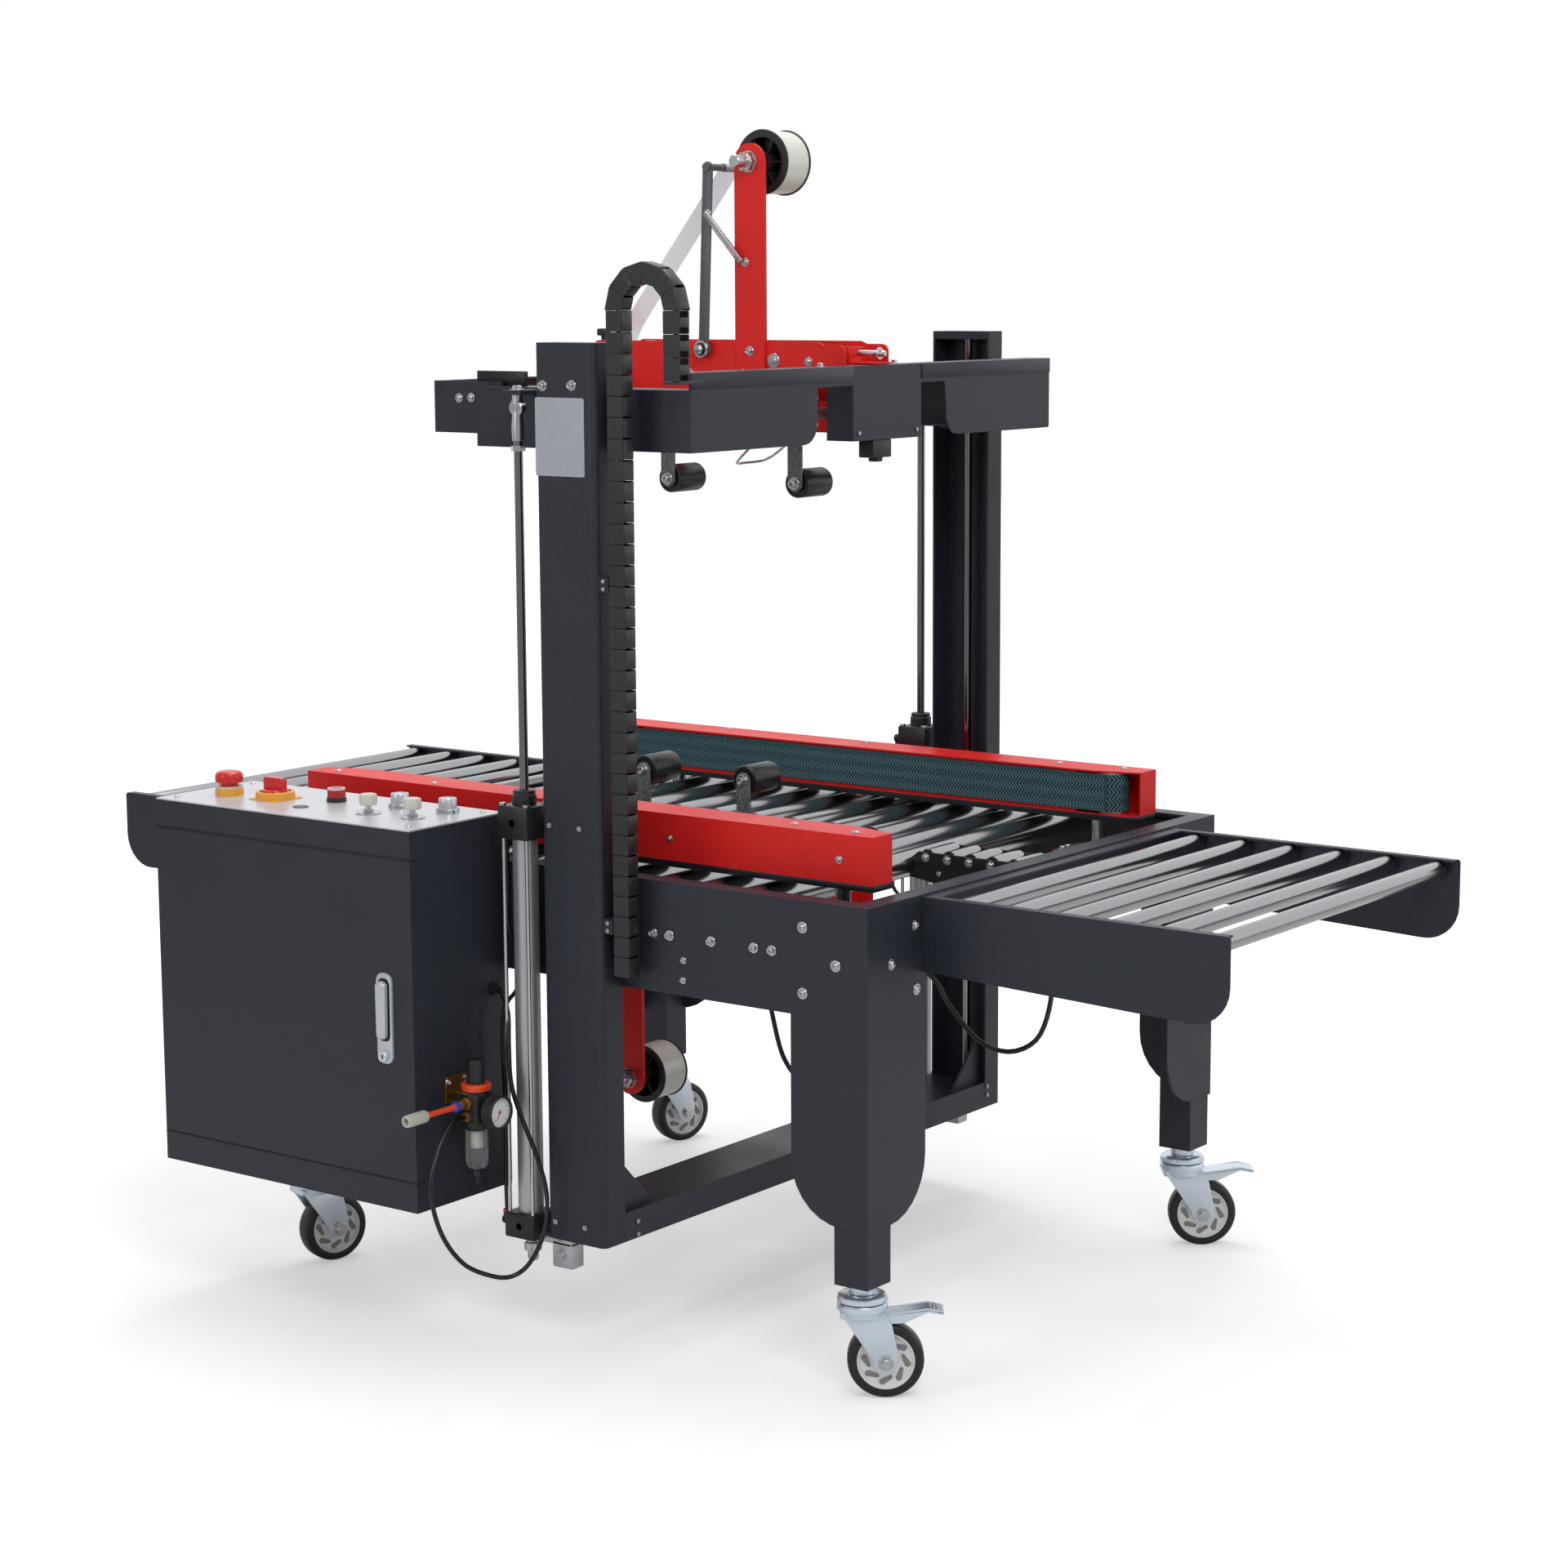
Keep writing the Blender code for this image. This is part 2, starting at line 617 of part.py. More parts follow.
# ---------------------------------------------------------------- infeed and outfeed tables
def table_roller_x(end, index):
    """Where a table roller's shaft is."""
    return end * (BED_HALF_LENGTH + TABLE_FIRST_ROLLER + index * TABLE_ROLLER_PITCH)


def table_frame_shapes(end):
    """A table's end panel with its two side plates, rounded at the lower outer corners."""
    start = end * (BED_HALF_LENGTH + GAP)
    finish_x = end * (BED_HALF_LENGTH + TABLE_LENGTH)
    low = TABLE_TOP - TABLE_DEPTH
    plates, lips = [], []
    for side in (-1, 1):
        outer = side * TABLE_HALF_WIDTH
        inner = side * (TABLE_HALF_WIDTH - SHEET)
        outline = rounded([(start, TABLE_TOP, 0.0), (finish_x, TABLE_TOP, 0.004),
                           (finish_x, low, TABLE_RADIUS), (start, low + 0.018, 0.0)], 7)
        plates.append(extruded(outline, "y", inner, outer))
        lips.append(box(start, finish_x - end * 0.004, inner + side * SHEET / 2, outer - side * TABLE_LIP,
                        TABLE_TOP - SHEET, TABLE_TOP))
    half = TABLE_HALF_WIDTH - SHEET / 2
    panel = box(start, start + end * SHEET, -half, half, BED_END_BOTTOM, TABLE_TOP - SHEET / 2)
    shelf = box(start, start + end * 0.020, -half, half, TABLE_TOP - SHEET, TABLE_TOP)
    return panel, plates + [shelf] + lips


def table_roller(end, index, reach, sides):
    """One roller with its shaft; reach is the shaft's half length."""
    centre = (table_roller_x(end, index), TABLE_TOP - TABLE_ROLLER_DROP - TABLE_ROLLER_RADIUS)
    half = TABLE_HALF_WIDTH - SHEET - TABLE_ROLLER_INSET
    barrel = rod("y", centre, TABLE_ROLLER_RADIUS, -half, half, sides)
    shaft = rod("y", centre, TABLE_SHAFT_RADIUS, -reach, reach, 6)
    return barrel, shaft


def build_tables():
    """Outfeed table with six turning rollers; infeed table with its rollers built in."""
    panel, rest = table_frame_shapes(1)
    roller_z = TABLE_TOP - TABLE_ROLLER_DROP - TABLE_ROLLER_RADIUS
    clear_radius = TABLE_ROLLER_RADIUS + TABLE_LIP_CLEAR
    clear_reach = TABLE_HALF_WIDTH - SHEET
    lip_clear = [gathered(*[rod("y", (table_roller_x(1, k), roller_z), clear_radius, -clear_reach,
                                clear_reach, PIN_SEGMENTS) for k in range(TABLE_ROLLERS)])]
    piece("outfeed_table", "charcoal", panel, add=rest, cut=lip_clear)
    reach = TABLE_HALF_WIDTH - SHEET - GAP
    for index in range(TABLE_ROLLERS):
        barrel, shaft = table_roller(1, index, reach, SEGMENTS)
        pivot = (table_roller_x(1, index), 0.0, roller_z)
        piece(f"outfeed_roller_{index + 1}", "chrome", barrel, add=[shaft], pivot=pivot)
    panel, rest = table_frame_shapes(-1)
    barrels, shafts = [], []
    for index in range(TABLE_ROLLERS):
        barrel, shaft = table_roller(-1, index, TABLE_HALF_WIDTH - SHEET / 2, PLAIN_SEGMENTS)
        barrels.append(barrel)
        shafts.append(shaft)
    piece("infeed_table", "charcoal", panel, add=rest + [gathered(*shafts), gathered(*barrels)])


# ---------------------------------------------------------------- columns and lift
def guide_shaft_y():
    """Distance of the guide shafts from the machine's middle."""
    return BED_HALF_WIDTH + GAP + COLUMN_DEPTH / 2


def build_columns():
    """Two C-section columns open towards the bed, each holding a guide shaft."""
    inner = BED_HALF_WIDTH + GAP
    outer = inner + COLUMN_DEPTH
    half = COLUMN_WIDTH / 2
    for label, side in (("near", -1), ("far", 1)):
        profile = [(COLUMN_X - half, side * inner, 0.0), (COLUMN_X - half, side * outer, COLUMN_RADIUS),
                   (COLUMN_X + half, side * outer, COLUMN_RADIUS), (COLUMN_X + half, side * inner, 0.0)]
        body = extruded(rounded(profile), "z", COLUMN_BOTTOM, COLUMN_TOP)
        channel = mirrored_box(side, COLUMN_X - half + COLUMN_WALL, COLUMN_X + half - COLUMN_WALL,
                               inner - 0.01, outer - COLUMN_WALL,
                               COLUMN_BOTTOM + GUIDE_END, COLUMN_TOP - GUIDE_END)
        shaft = rod("z", (COLUMN_X, side * guide_shaft_y()), GUIDE_SHAFT_RADIUS,
                    COLUMN_BOTTOM + GUIDE_END / 2, COLUMN_TOP - GUIDE_END / 2, PLAIN_SEGMENTS)
        joined = [shaft]
        if side < 0:
            joined += [box(COLUMN_X + half - SHEET / 2, CHAIN_X - CHAIN_THICKNESS / 2 - GAP,
                           CHAIN_Y - CHAIN_WIDTH / 2, CHAIN_Y + CHAIN_WIDTH / 2,
                           low, low + CHAIN_CLAMP_HEIGHT)
                       for low in CHAIN_CLAMPS]
        piece(f"column_{label}", "charcoal", carved(body, [channel]), add=joined)


def build_base_channel():
    """The channel between the columns' feet, with gussets standing on it."""
    half = COLUMN_WIDTH / 2
    reach = BED_HALF_WIDTH
    top = COLUMN_BOTTOM + BASE_HEIGHT
    channel = box(COLUMN_X - half, COLUMN_X + half, -reach, reach, COLUMN_BOTTOM, top)
    under = box(COLUMN_X - half + SHEET, COLUMN_X + half - SHEET, -reach - SHEET, reach + SHEET,
                COLUMN_BOTTOM - SHEET, top - SHEET)
    gussets = gathered(*[
        extruded([(side * reach, top - SHEET / 2), (side * (reach - GUSSET), top - SHEET / 2),
                  (side * reach, top + GUSSET)], "x", COLUMN_X + half - 0.016, COLUMN_X + half - 0.012)
        for side in (-1, 1)])
    piece("base_channel", "charcoal", channel, add=[gussets], cut=[under])


def build_cylinders():
    """Two air cylinders beside the columns and their rods, which rise with the head."""
    y = BED_HALF_WIDTH + CYLINDER_OUT
    half = CYLINDER_CAP / 2
    neck_top = CYLINDER_HEAD_Z + CYLINDER_HEAD_CAP + CYLINDER_NECK
    neck_bore = ROD_RADIUS + ROD_CLEARANCE
    bore_bottom = CYLINDER_FOOT_Z + CYLINDER_FOOT_CAP / 2
    bore_top = CYLINDER_HEAD_Z + CYLINDER_HEAD_CAP / 2
    foot_low = COLUMN_BOTTOM - GAP - CYLINDER_FOOT_PLATE
    reach = CYLINDER_FOOT_HALF
    for label, side in (("near", -1), ("far", 1)):
        centre = (CYLINDER_X, side * y, 0.0)
        barrel = rod("z", centre[:2], CYLINDER_RADIUS, CYLINDER_FOOT_Z + 0.004,
                     CYLINDER_HEAD_Z + CYLINDER_HEAD_CAP - 0.002)
        neck = rod("z", centre[:2], CYLINDER_NECK_RADIUS, CYLINDER_HEAD_Z + CYLINDER_HEAD_CAP - 0.004,
                   neck_top)
        foot_cap = box(CYLINDER_X - half, CYLINDER_X + half, side * y - half, side * y + half,
                       CYLINDER_FOOT_Z, CYLINDER_FOOT_Z + CYLINDER_FOOT_CAP)
        head_cap = box(CYLINDER_X - half, CYLINDER_X + half, side * y - half, side * y + half,
                       CYLINDER_HEAD_Z, CYLINDER_HEAD_Z + CYLINDER_HEAD_CAP)
        foot = box(CYLINDER_X - 0.010, COLUMN_X - 0.010, side * y - reach, side * y + reach,
                   foot_low - CYLINDER_FOOT_DROP, foot_low + CYLINDER_FOOT_PLATE)
        foot_gap = box(CYLINDER_X + 0.012, COLUMN_X - 0.030, side * y - 0.02, side * y + 0.02,
                       foot_low - 0.04, foot_low - 0.004)
        bore = turned([(0.0, bore_bottom), (CYLINDER_BORE, bore_bottom), (CYLINDER_BORE, bore_top),
                       (neck_bore, bore_top), (neck_bore, neck_top + 0.01), (0.0, neck_top + 0.01)],
                      centre, segments=PLAIN_SEGMENTS)
        piece(f"lift_cylinder_{label}", "silver", barrel, add=[foot_cap, head_cap, neck, foot],
              cut=[bore, foot_gap])
        rod_top = ROD_TAB_Z - GAP
        piston = CYLINDER_BORE - ROD_CLEARANCE
        profile = [(0.0, ROD_BOTTOM), (piston, ROD_BOTTOM), (piston, ROD_BOTTOM + PISTON_LENGTH),
                   (ROD_RADIUS, ROD_BOTTOM + PISTON_LENGTH), (ROD_RADIUS, rod_top - 0.030),
                   (0.0095, rod_top - 0.026), (0.0095, rod_top), (0.0, rod_top)]
        piece(f"lift_rod_{label}", "chrome", turned(profile, centre, segments=PLAIN_SEGMENTS), pivot=centre)


# ---------------------------------------------------------------- lifting head
def front_panel_outline():
    """The head's front panel: full-width lip over two aprons with rounded inner corners."""
    width = HEAD_HALF_WIDTH
    radius = 0.030
    slot_top = HEAD_TOP - 0.004
    return rounded([
        (-width, HEAD_LIP, 0.004), (-width, HEAD_BOTTOM, 0.004), (HEAD_WINDOW[0], HEAD_BOTTOM, radius),
        (HEAD_WINDOW[0], slot_top, 0.0), (HEAD_NOTCH[1], slot_top, 0.0),
        (HEAD_NOTCH[1] + 0.008, HEAD_BOTTOM, radius), (width, HEAD_BOTTOM, 0.004),
        (width, HEAD_LIP, 0.004)])


def build_head():
    """The head frame: front and rear panels, side beams, housing box, guide blocks and rod tabs."""
    front = extruded(front_panel_outline(), "x", HEAD_FRONT_X - SHEET, HEAD_FRONT_X)
    joined = [
        box(HEAD_FRONT_X - HEAD_FLANGE, HEAD_FRONT_X - SHEET / 2, -HEAD_HALF_WIDTH + 0.004,
            HEAD_HALF_WIDTH - 0.004, HEAD_LIP - SHEET, HEAD_LIP),
        box(HEAD_FRONT_X - HEAD_HOUSING_DEPTH, HEAD_FRONT_X - GAP, *HEAD_HOUSING,
            HEAD_BOTTOM, HEAD_LIP - SHEET / 2),
        box(HEAD_REAR_X, HEAD_REAR_X + SHEET, -HEAD_REAR_HALF_WIDTH, HEAD_REAR_HALF_WIDTH,
            HEAD_REAR_BOTTOM, HEAD_REAR_TOP),
        box(HEAD_REAR_X + SHEET / 2, HEAD_REAR_X + HEAD_REAR_FLANGE, -HEAD_REAR_HALF_WIDTH,
            HEAD_REAR_HALF_WIDTH, HEAD_REAR_TOP - SHEET, HEAD_REAR_TOP),
        box(HEAD_FRONT_X - 2 * CHAIN_SHELF, CHAIN_X + 2 * CHAIN_ARCH_RADIUS + CHAIN_THICKNESS / 2,
            CHAIN_Y - CHAIN_WIDTH / 2, -HEAD_HALF_WIDTH + SHEET / 2,
            CHAIN_HEAD_Z - GAP - CHAIN_SHELF, CHAIN_HEAD_Z - GAP),
    ]
    cuts = []
    block_outer = BED_HALF_WIDTH + GAP + COLUMN_DEPTH - COLUMN_WALL - 0.0015
    cylinder_y = BED_HALF_WIDTH + CYLINDER_OUT
    for side in (-1, 1):
        joined += [
            mirrored_box(side, HEAD_BEAM_REAR_X, HEAD_FRONT_X - SHEET / 2, HEAD_HALF_WIDTH - SHEET,
                         HEAD_HALF_WIDTH, HEAD_BOTTOM, HEAD_TOP),
            mirrored_box(side, HEAD_BEAM_REAR_X, HEAD_FRONT_X - SHEET / 2,
                         HEAD_HALF_WIDTH - HEAD_BEAM_DEPTH, HEAD_HALF_WIDTH - SHEET / 2,
                         HEAD_TOP - SHEET, HEAD_TOP),
            mirrored_box(side, HEAD_BEAM_REAR_X, HEAD_FRONT_X - SHEET / 2,
                         HEAD_HALF_WIDTH - HEAD_BEAM_DEPTH, HEAD_HALF_WIDTH - SHEET / 2,
                         HEAD_BOTTOM, HEAD_BOTTOM + SHEET),
            mirrored_box(side, HEAD_REAR_X + SHEET / 2, HEAD_BEAM_REAR_X + 0.030,
                         HEAD_REAR_HALF_WIDTH - SHEET, HEAD_REAR_HALF_WIDTH,
                         HEAD_REAR_BOTTOM, HEAD_REAR_TOP),
            mirrored_box(side, COLUMN_X - GUIDE_BLOCK_HALF, COLUMN_X + GUIDE_BLOCK_HALF,
                         HEAD_HALF_WIDTH - SHEET / 2, block_outer, GUIDE_BLOCK_BOTTOM, GUIDE_BLOCK_TOP),
            mirrored_box(side, CYLINDER_X - ROD_TAB_HALF, CYLINDER_X + ROD_TAB_HALF,
                         HEAD_HALF_WIDTH - SHEET / 2, cylinder_y + 0.012,
                         ROD_TAB_Z, ROD_TAB_Z + ROD_TAB_THICKNESS),
        ]
        cuts.append(rod("z", (COLUMN_X, side * guide_shaft_y()), GUIDE_SHAFT_RADIUS + GUIDE_CLEARANCE,
                        GUIDE_BLOCK_BOTTOM - 0.01, GUIDE_BLOCK_TOP + 0.01, PLAIN_SEGMENTS))
    piece("head_frame", "charcoal", front, add=joined, cut=cuts, pivot=(COLUMN_X, 0.0, HEAD_BOTTOM))


def spacer_bars(points, half_width, radius=CART_SPACER):
    """Round bars across a cartridge, through its two plates."""
    return gathered(*[rod("y", point, radius, -half_width, half_width, PIN_SEGMENTS) for point in points])


def build_upper_cartridge():
    """Two red plates with spacers, hung on the head's flanges, and the arm that carries the roll."""
    ear_front = HEAD_LIP + GAP
    ear_rear = HEAD_REAR_TOP + GAP
    rear_step = HEAD_REAR_X + HEAD_REAR_FLANGE + 0.002
    front_step = HEAD_FRONT_X - HEAD_FLANGE - 0.004
    outline = rounded([
        (CART_EAR_REAR_X, CART_TOP, 0.008), (CART_EAR_REAR_X, ear_rear, 0.0), (rear_step, ear_rear, 0.0),
        (rear_step, CART_BOTTOM, 0.020), (CART_FRONT_X, CART_BOTTOM, 0.020), (CART_FRONT_X, ear_front, 0.0),
        (CART_EAR_FRONT_X, ear_front, 0.0), (CART_EAR_FRONT_X, CART_TOP - 0.004, 0.010),
        (front_step - 0.020, CART_TOP - 0.004, 0.004), (front_step - 0.030, CART_TOP, 0.004)], 4)
    low, high = CART_HALF_WIDTH - CART_PLATE, CART_HALF_WIDTH
    near = extruded(outline, "y", -high, -low)
    far = extruded(outline, "y", low, high)
    bars = spacer_bars([(-0.190, 1.318), (-0.060, 1.300), (0.066, 1.318), (0.150, 1.318)], low + 0.001)
    pins = spacer_bars([(PRESS_REAR_X, PRESS_PIVOT_Z), (PRESS_FRONT_X, PRESS_PIVOT_Z)],
                       low + 0.001, PRESS_PIN)
    arm_low, arm_high = -CART_HALF_WIDTH - ARM_THICKNESS, -CART_HALF_WIDTH + CART_PLATE / 2
    arm = extruded(link_outline((ARM_X, CART_BOTTOM + 0.055), (ARM_X, ROLL_Z), ARM_WIDTH / 2, 10),
                   "y", arm_low, arm_high)
    spindle = rod("y", (ARM_X, ROLL_Z), SPINDLE_RADIUS, arm_low - SPINDLE_NOSE,
                  ROLL_WIDTH / 2 + SPINDLE_TAIL, PLAIN_SEGMENTS)
    lever_y = -CART_HALF_WIDTH - LEVER_GAP - LEVER_THICKNESS
    lever_pin = rod("y", LEVER_PIVOT, 0.004, lever_y - 0.004, -CART_HALF_WIDTH + 0.001, PIN_SEGMENTS)
    piece("cartridge_upper", "red", near, add=[arm, far, bars, pins, spindle, lever_pin])


def tape_roll(name, x, z, radius, tape):
    """A tape roll on its flanged core, free to turn on its spindle."""
    half = ROLL_WIDTH / 2
    bore = SPINDLE_RADIUS + SPINDLE_CLEARANCE
    web = ROLL_WEB
    core = radius - tape
    profile = [(bore, -half), (ROLL_HUB, -half), (ROLL_HUB, -web), (core, -web), (core, -half),
               (radius, -half + web), (radius, half - web), (core, half), (core, web),
               (ROLL_HUB, web), (ROLL_HUB, half), (bore, half)]
    piece(name, "tape", turned(profile, (x, 0.0, z), "y", FINE_SEGMENTS), pivot=(x, 0.0, z))


def build_tension_lever():
    """The sprung lever beside the cartridge, with a bearing at its foot and a guide pin on top."""
    near = -CART_HALF_WIDTH - LEVER_GAP - LEVER_THICKNESS
    far = -CART_HALF_WIDTH - LEVER_GAP
    plate = extruded(link_outline(LEVER_PIVOT, LEVER_TOP, LEVER_WIDTH / 2), "y", near, far)
    boss = rod("y", LEVER_PIVOT, LEVER_BOSS_RADIUS, near - 0.003, far + LEVER_GAP - GAP, PLAIN_SEGMENTS)
    guide = rod("y", LEVER_TOP, 0.005, near - 0.003, ROLL_WIDTH / 2, PIN_SEGMENTS)
    bore = rod("y", LEVER_PIVOT, 0.0045, near - 0.01, 0.0, PIN_SEGMENTS)
    pivot = (LEVER_PIVOT[0], near, LEVER_PIVOT[1])
    piece("tension_lever", "grey", plate, add=[boss, guide], cut=[bore], pivot=pivot)


def press_arm_shapes(x, pivot_z, roller_z, roller_end):
    """A press arm: a flat link with a pivot boss, and the shaft that carries the roller."""
    near = -roller_end - 0.0010 - PRESS_ARM_THICKNESS
    far = near + PRESS_ARM_THICKNESS
    link = extruded(link_outline((x, pivot_z), (x, roller_z), PRESS_ARM_HALF), "y", near, far)
    boss_reach = CART_HALF_WIDTH - CART_PLATE - GAP
    boss = rod("y", (x, pivot_z), PRESS_BOSS, -boss_reach, boss_reach, PLAIN_SEGMENTS)
    bore = rod("y", (x, pivot_z), PRESS_PIN + 0.0005, -0.2, 0.2, PIN_SEGMENTS)
    shaft = rod("y", (x, roller_z), PRESS_SHAFT, near - 0.002, roller_end, PIN_SEGMENTS)
    return link, [boss, shaft], bore


def build_upper_press_arms():
    """Rear and front arms under the cartridge, each with a rubber roller that turns on it."""
    for label, x in (("rear", PRESS_REAR_X), ("front", PRESS_FRONT_X)):
        link, rest, bore = press_arm_shapes(x, PRESS_PIVOT_Z, PRESS_ROLLER_Z, PRESS_ROLLER_HALF)
        piece(f"press_arm_upper_{label}", "zinc", link, add=rest, cut=[bore],
              pivot=(x, 0.0, PRESS_PIVOT_Z))
        bore_r = PRESS_SHAFT + 0.0004
        profile = [(bore_r, -PRESS_ROLLER_HALF), (PRESS_ROLLER_RADIUS - 0.002, -PRESS_ROLLER_HALF),
                   (PRESS_ROLLER_RADIUS, -PRESS_ROLLER_HALF + 0.002),
                   (PRESS_ROLLER_RADIUS, PRESS_ROLLER_HALF - 0.002),
                   (PRESS_ROLLER_RADIUS - 0.002, PRESS_ROLLER_HALF), (bore_r, PRESS_ROLLER_HALF)]
        piece(f"press_roller_upper_{label}", "rubber", turned(profile, (x, 0.0, PRESS_ROLLER_Z), "y"),
              pivot=(x, 0.0, PRESS_ROLLER_Z))


def build_lower_cartridge():
    """The lower tape head: plates between the split rollers and an arm down to its tape roll."""
    outline = rounded([(LOW_CART_REAR_X, LOW_TOP, 0.008), (LOW_CART_REAR_X, LOW_BOTTOM, 0.020),
                       (LOW_CART_FRONT_X, LOW_BOTTOM, 0.020), (LOW_CART_FRONT_X, LOW_TOP, 0.008)], 4)
    low, high = CART_HALF_WIDTH - CART_PLATE, CART_HALF_WIDTH
    near = extruded(outline, "y", -high, -low)
    far = extruded(outline, "y", low, high)
    bars = spacer_bars([(-0.205, 0.500), (-0.080, 0.500), (0.060, 0.500), (0.165, 0.600)], low + 0.001)
    pins = spacer_bars([(LOW_REAR_X, LOW_PIVOT_Z), (LOW_FRONT_X, LOW_PIVOT_Z)], low + 0.001, PRESS_PIN)
    arm_low, arm_high = -CART_HALF_WIDTH - ARM_THICKNESS, -CART_HALF_WIDTH + CART_PLATE / 2
    arm = extruded(link_outline((LOW_ARM_X, LOW_ROLL_Z), (LOW_ARM_X, LOW_BOTTOM + 0.060),
                                ARM_WIDTH / 2, 10),
                   "y", arm_low, arm_high)
    spindle = rod("y", (LOW_ARM_X, LOW_ROLL_Z), SPINDLE_RADIUS, arm_low - SPINDLE_NOSE,
                  ROLL_WIDTH / 2 + 0.012, PLAIN_SEGMENTS)
    hangers = [mirrored_box(side, -0.012, 0.012, CART_HALF_WIDTH - 0.001, SLOT_HALF_WIDTH - GAP,
                            LOW_TOP - 0.030, LOW_TOP - 0.010) for side in (-1, 1)]
    piece("cartridge_lower", "red", near, add=[far, bars, pins, arm, spindle] + hangers)


def build_lower_press_arms():
    """Rear and front arms standing up between the deck rollers, with their rollers on them."""
    for label, x in (("rear", LOW_REAR_X), ("front", LOW_FRONT_X)):
        link, rest, bore = press_arm_shapes(x, LOW_PIVOT_Z, LOW_ROLLER_Z, PRESS_ROLLER_HALF)
        roller = rod("y", (x, LOW_ROLLER_Z), LOW_ROLLER_RADIUS, -PRESS_ROLLER_HALF - 0.0015,
                     PRESS_ROLLER_HALF)
        piece(f"press_arm_lower_{label}", "rubber", link, add=rest + [roller], cut=[bore],
              pivot=(x, 0.0, LOW_PIVOT_Z))


# ---------------------------------------------------------------- side belts
def belt_axis_x(end):
    """Where a belt's end pulley stands."""
    return BELT_FRONT_X - BELT_END if end > 0 else BELT_REAR_X + BELT_END


def cover_outline(side):
    """The cover's top: straight outside, chamfered towards its narrow ends inside."""
    outer = side * BELT_OUTER
    inner = side * (BELT_OUTER - BELT_COVER_WIDTH)
    narrow = side * (BELT_OUTER - BELT_END_WIDTH)
    return [(BELT_REAR_X, outer), (BELT_FRONT_X, outer), (BELT_FRONT_X, narrow),
            (BELT_FRONT_X - BELT_CHAMFER, inner), (BELT_REAR_X + BELT_CHAMFER, inner),
            (BELT_REAR_X, narrow)]


def racetrack(side, radius, steps=6):
    """The line round two pulleys at a given radius from their axes."""
    y = side * BELT_CENTRE
    return link_outline((belt_axis_x(-1), y), (belt_axis_x(1), y), radius, steps)


def build_side_belts():
    """Two mirrored belt units: cover, base plate, pulleys, posts and carriages, and the belt."""
    carriage_low = CROSS_BAR_BOTTOM + CROSS_BAR_HEIGHT + GAP
    for label, side in (("near", -1), ("far", 1)):
        outer = side * BELT_OUTER
        skin = side * BELT_SHEET
        top = extruded(cover_outline(side), "z", BELT_COVER_TOP - BELT_SHEET, BELT_COVER_TOP)
        back = box(BELT_REAR_X, BELT_FRONT_X, outer - skin, outer, BELT_COVER_BOTTOM - 0.001,
                   BELT_COVER_TOP - BELT_SHEET / 2)
        ends = [box(x, x + shift, outer - side * BELT_END_WIDTH, outer - skin / 2,
                    BELT_COVER_BOTTOM - 0.001, BELT_COVER_TOP - BELT_SHEET / 2)
                for x, shift in ((BELT_REAR_X, BELT_SHEET), (BELT_FRONT_X - BELT_SHEET, BELT_SHEET))]
        base_outline = rounded([
            (BELT_REAR_X, outer, 0.004), (BELT_FRONT_X, outer, 0.004),
            (BELT_FRONT_X, side * (BELT_CENTRE - BELT_RADIUS - 0.004), 0.026),
            (BELT_REAR_X, side * (BELT_CENTRE - BELT_RADIUS - 0.004), 0.026)], 6)
        base = extruded(base_outline, "z", BELT_BASE_BOTTOM, BELT_COVER_BOTTOM)
        pulley_radius = BELT_RADIUS - BELT_THICKNESS - BELT_CLEARANCE
        pulleys = gathered(*[rod("z", (belt_axis_x(end), side * BELT_CENTRE), pulley_radius,
                                 BELT_COVER_BOTTOM - 0.002, BELT_COVER_TOP - BELT_SHEET / 2)
                             for end in (-1, 1)])
        backing = box(belt_axis_x(-1) + 0.05, belt_axis_x(1) - 0.05, side * (BELT_CENTRE - pulley_radius),
                      side * (BELT_CENTRE - pulley_radius + 0.006), BELT_COVER_BOTTOM - 0.002,
                      BELT_COVER_TOP - BELT_SHEET / 2)
        feet = []
        for post_x in POST_XS:
            feet.append(rod("z", (post_x, side * BELT_CENTRE), POST_RADIUS, carriage_low + 0.001,
                            BELT_BASE_BOTTOM + 0.001, PIN_SEGMENTS))
            feet.append(box(post_x - CARRIAGE_HALF * 0.6, post_x + CARRIAGE_HALF * 0.6,
                            side * BELT_CENTRE - CARRIAGE_HALF, side * BELT_CENTRE + CARRIAGE_HALF,
                            carriage_low, carriage_low + 0.022))
        feet.append(box(POST_XS[0] - 0.045, POST_XS[0] + 0.045, side * (BELT_CENTRE - 0.055),
                        side * (BELT_CENTRE + 0.020), CARRIAGE_PLATE_Z, CARRIAGE_PLATE_Z + CARRIAGE_PLATE))
        slide = (0.0, side * BELT_CENTRE, BELT_BASE_BOTTOM)
        piece(f"belt_housing_{label}", "red", base,
              add=[back, top] + ends + [pulleys, backing] + feet, pivot=slide)
        loop = extruded(racetrack(side, BELT_RADIUS), "z", BELT_BOTTOM, BELT_TOP)
        inside = extruded(racetrack(side, BELT_RADIUS - BELT_THICKNESS), "z",
                          BELT_BOTTOM - 0.01, BELT_TOP + 0.01)
        piece(f"side_belt_{label}", "belt", loop, cut=[inside], pivot=slide)


